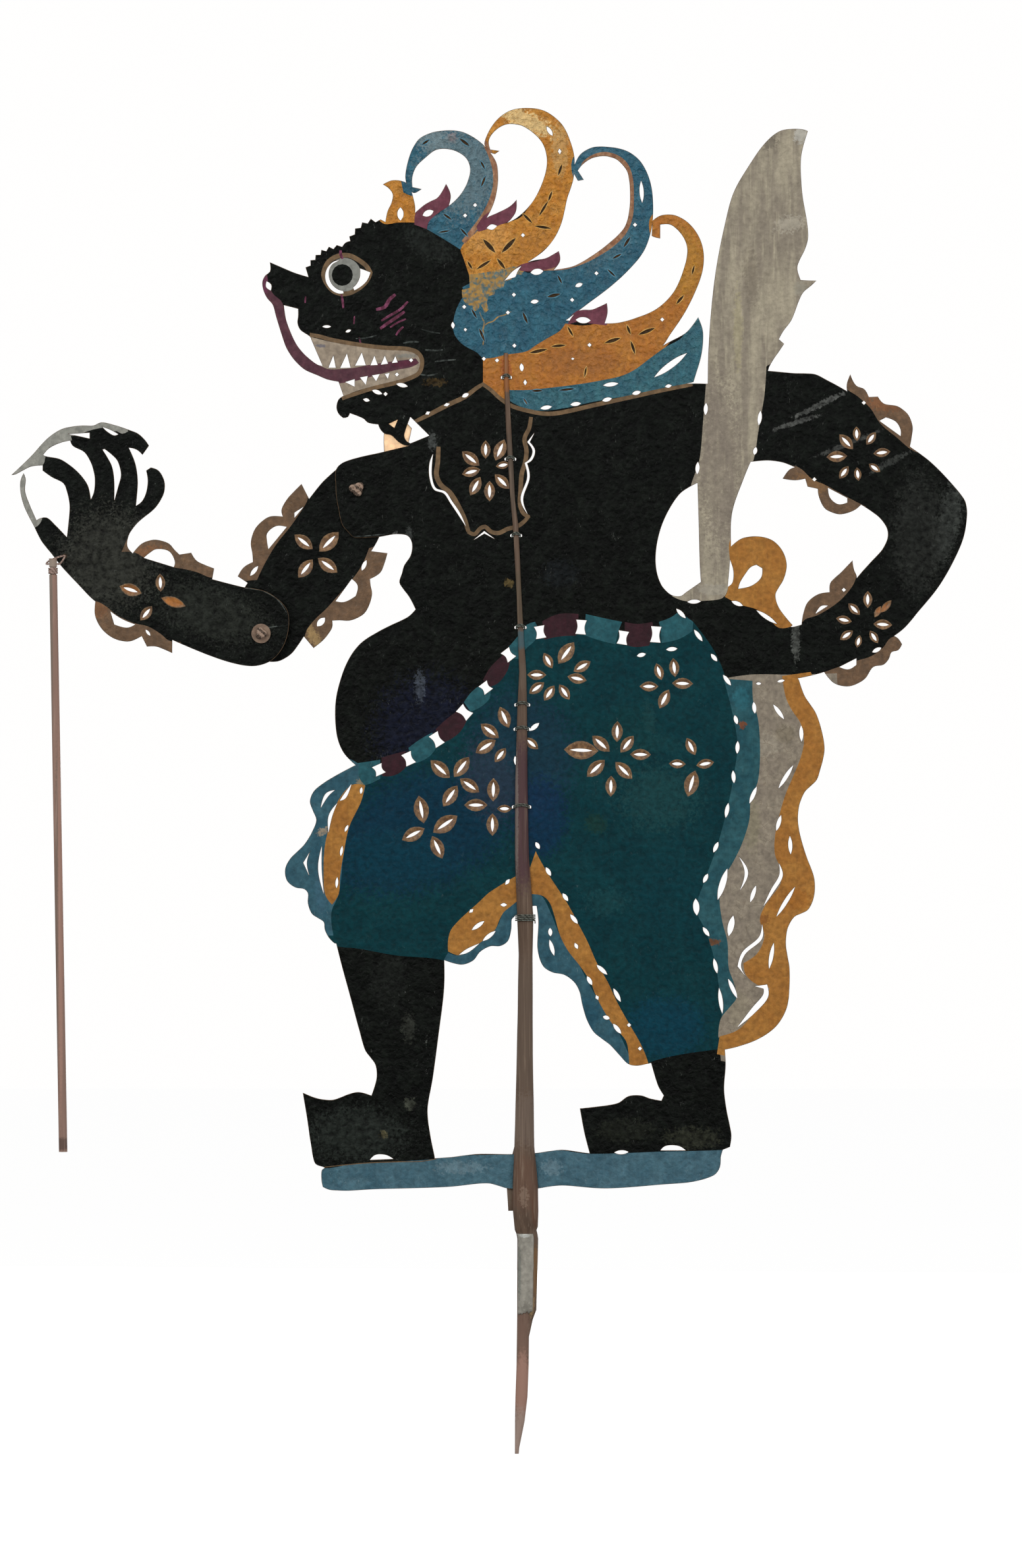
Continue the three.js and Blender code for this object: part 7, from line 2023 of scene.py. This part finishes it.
@dataclass(frozen=True)
class Studio:
    """The plain stage: white all round, soft lamps, a pale floor and the camera."""

    distance: float = 5.0
    fill_level: float = 0.55
    floor_size: float = 6.0
    floor_gap: float = 0.5 * MM
    floor_tone: float = 0.3
    floor_glow: float = 0.82
    sensor: float = 36.0
    lamp_target: Triple = (0.0, 0.0, 0.5)
    lamps: tuple[tuple[str, Triple, float, float], ...] = (
        ("key_lamp", (-1.1, -1.9, 1.5), 1.0, 17.0),
        ("fill_lamp", (1.4, -1.6, 0.6), 1.2, 8.0),
        ("back_lamp", (0.2, 1.8, 0.7), 1.4, 16.0),
    )

    def build(self, floor_height: float) -> None:
        """Set the world, the lamps, the floor and the camera.

        Args:
            floor_height: where the lowest point of the puppet is.
        """
        scene = bpy.context.scene
        scene.view_settings.view_transform = "Standard"
        self.light_world(scene)
        for name, place, size, power in self.lamps:
            self.hang_lamp(name, place, size, power)
        self.lay_floor(floor_height)
        self.set_camera(scene)

    def light_world(self, scene: bpy.types.Scene) -> None:
        """A white world for the eye and for gloss, and a plain level of light for the rest.

        Args:
            scene: the scene.
        """
        world = bpy.data.worlds.new("studio_world")
        scene.world = world
        world.use_nodes = True
        tree = world.node_tree
        tree.nodes.clear()
        ray = tree.nodes.new("ShaderNodeLightPath")
        seen = self.either(tree, ray.outputs["Is Camera Ray"], ray.outputs["Is Glossy Ray"])
        seen = self.either(tree, seen, ray.outputs["Is Transmission Ray"])
        level = tree.nodes.new("ShaderNodeMapRange")
        tree.links.new(seen, level.inputs["Value"])
        level.inputs["To Min"].default_value = self.fill_level
        level.inputs["To Max"].default_value = 1.0
        shade = tree.nodes.new("ShaderNodeBackground")
        shade.inputs["Color"].default_value = (1.0, 0.995, 0.99, 1.0)
        tree.links.new(level.outputs["Result"], shade.inputs["Strength"])
        output = tree.nodes.new("ShaderNodeOutputWorld")
        tree.links.new(shade.outputs[0], output.inputs["Surface"])

    def either(self, tree: bpy.types.NodeTree, first: NodeSocket, second: NodeSocket) -> NodeSocket:
        """The larger of two sockets.

        Args:
            tree: the nodes that hold them.
            first: one socket.
            second: the other.

        Returns:
            The larger value.
        """
        node = tree.nodes.new("ShaderNodeMath")
        node.operation = "MAXIMUM"
        tree.links.new(first, node.inputs[0])
        tree.links.new(second, node.inputs[1])
        return node.outputs[0]

    def hang_lamp(self, name: str, place: Triple, size: float, power: float) -> None:
        """Hang a large soft lamp that looks at the puppet's middle.

        Args:
            name: the lamp's name.
            place: where it hangs.
            size: its width in metres.
            power: its power in watts.
        """
        data = bpy.data.lights.new(name, "AREA")
        data.size = size
        data.energy = power
        lamp = bpy.data.objects.new(name, data)
        bpy.context.scene.collection.objects.link(lamp)
        lamp.location = place
        aim = Vector(self.lamp_target) - Vector(place)
        lamp.rotation_euler = aim.to_track_quat("-Z", "Y").to_euler()

    def lay_floor(self, height: float) -> None:
        """Lay a pale floor just under the puppet.

        Args:
            height: where the puppet's lowest point is.
        """
        mesh = bmesh.new()
        bmesh.ops.create_grid(mesh, x_segments=1, y_segments=1, size=self.floor_size)
        bmesh.ops.translate(mesh, verts=mesh.verts, vec=(0.0, 0.0, height - self.floor_gap))
        floor = as_piece(mesh, "floor")
        g = Graph("floor_pale")
        g.shader.inputs["Base Color"].default_value = (*[self.floor_tone] * 3, 1.0)
        g.shader.inputs["Roughness"].default_value = 1.0
        g.shader.inputs["Specular IOR Level"].default_value = 0.0
        g.shader.inputs["Emission Color"].default_value = (1.0, 1.0, 1.0, 1.0)
        ray = g.add("ShaderNodeLightPath")
        glow = g.sum("MULTIPLY", ray.outputs["Is Camera Ray"], self.floor_glow)
        g.link(glow, g.shader.inputs["Emission Strength"])
        floor.data.materials.append(g.material)
        floor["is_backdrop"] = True

    def set_camera(self, scene: bpy.types.Scene) -> None:
        """Set the camera square to the hide, at the picture's framing.

        Args:
            scene: the scene.
        """
        data = bpy.data.cameras.new("camera")
        camera = bpy.data.objects.new("camera", data)
        scene.collection.objects.link(camera)
        middle = on_sheet(PICTURE_CENTRE_PX)
        camera.location = (middle.x, -self.distance, middle.y)
        camera.rotation_euler = (math.radians(90), 0.0, 0.0)
        data.sensor_fit = "AUTO"
        data.sensor_width = self.sensor
        data.lens = data.sensor_width * self.distance / (PICTURE_HEIGHT_PX * METRES_PER_PIXEL)
        data.clip_start = 0.05
        data.clip_end = 30.0
        scene.camera = camera


def main() -> None:
    """Build every piece of the puppet and the stage round it."""
    logging.basicConfig(level=logging.INFO)
    cad_box = [list(corner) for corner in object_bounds()]
    materials = {finish: paint.make(finish.value) for finish, paint in PAINTS.items()}
    for sheet in SHEETS:
        sheet.make(materials)
    SplitRod().build(ROD_WOOD.make())
    RodTies().build(TIE_THREAD.make())
    Pivots().build(KNOT_CORD.make(), WASHER_HIDE.make("washer_hide"))
    PaperLabel().build(LABEL_PAPER.make("label_paper"))
    repaint("arm_rod", CANE.make())
    pink = PINK_THREAD.make()
    repaint("arm_rod_lashing", pink)
    repaint("wrist_loop", pink)
    Studio().build(cad_box[0][2])


if __name__ == "__main__":
    main()
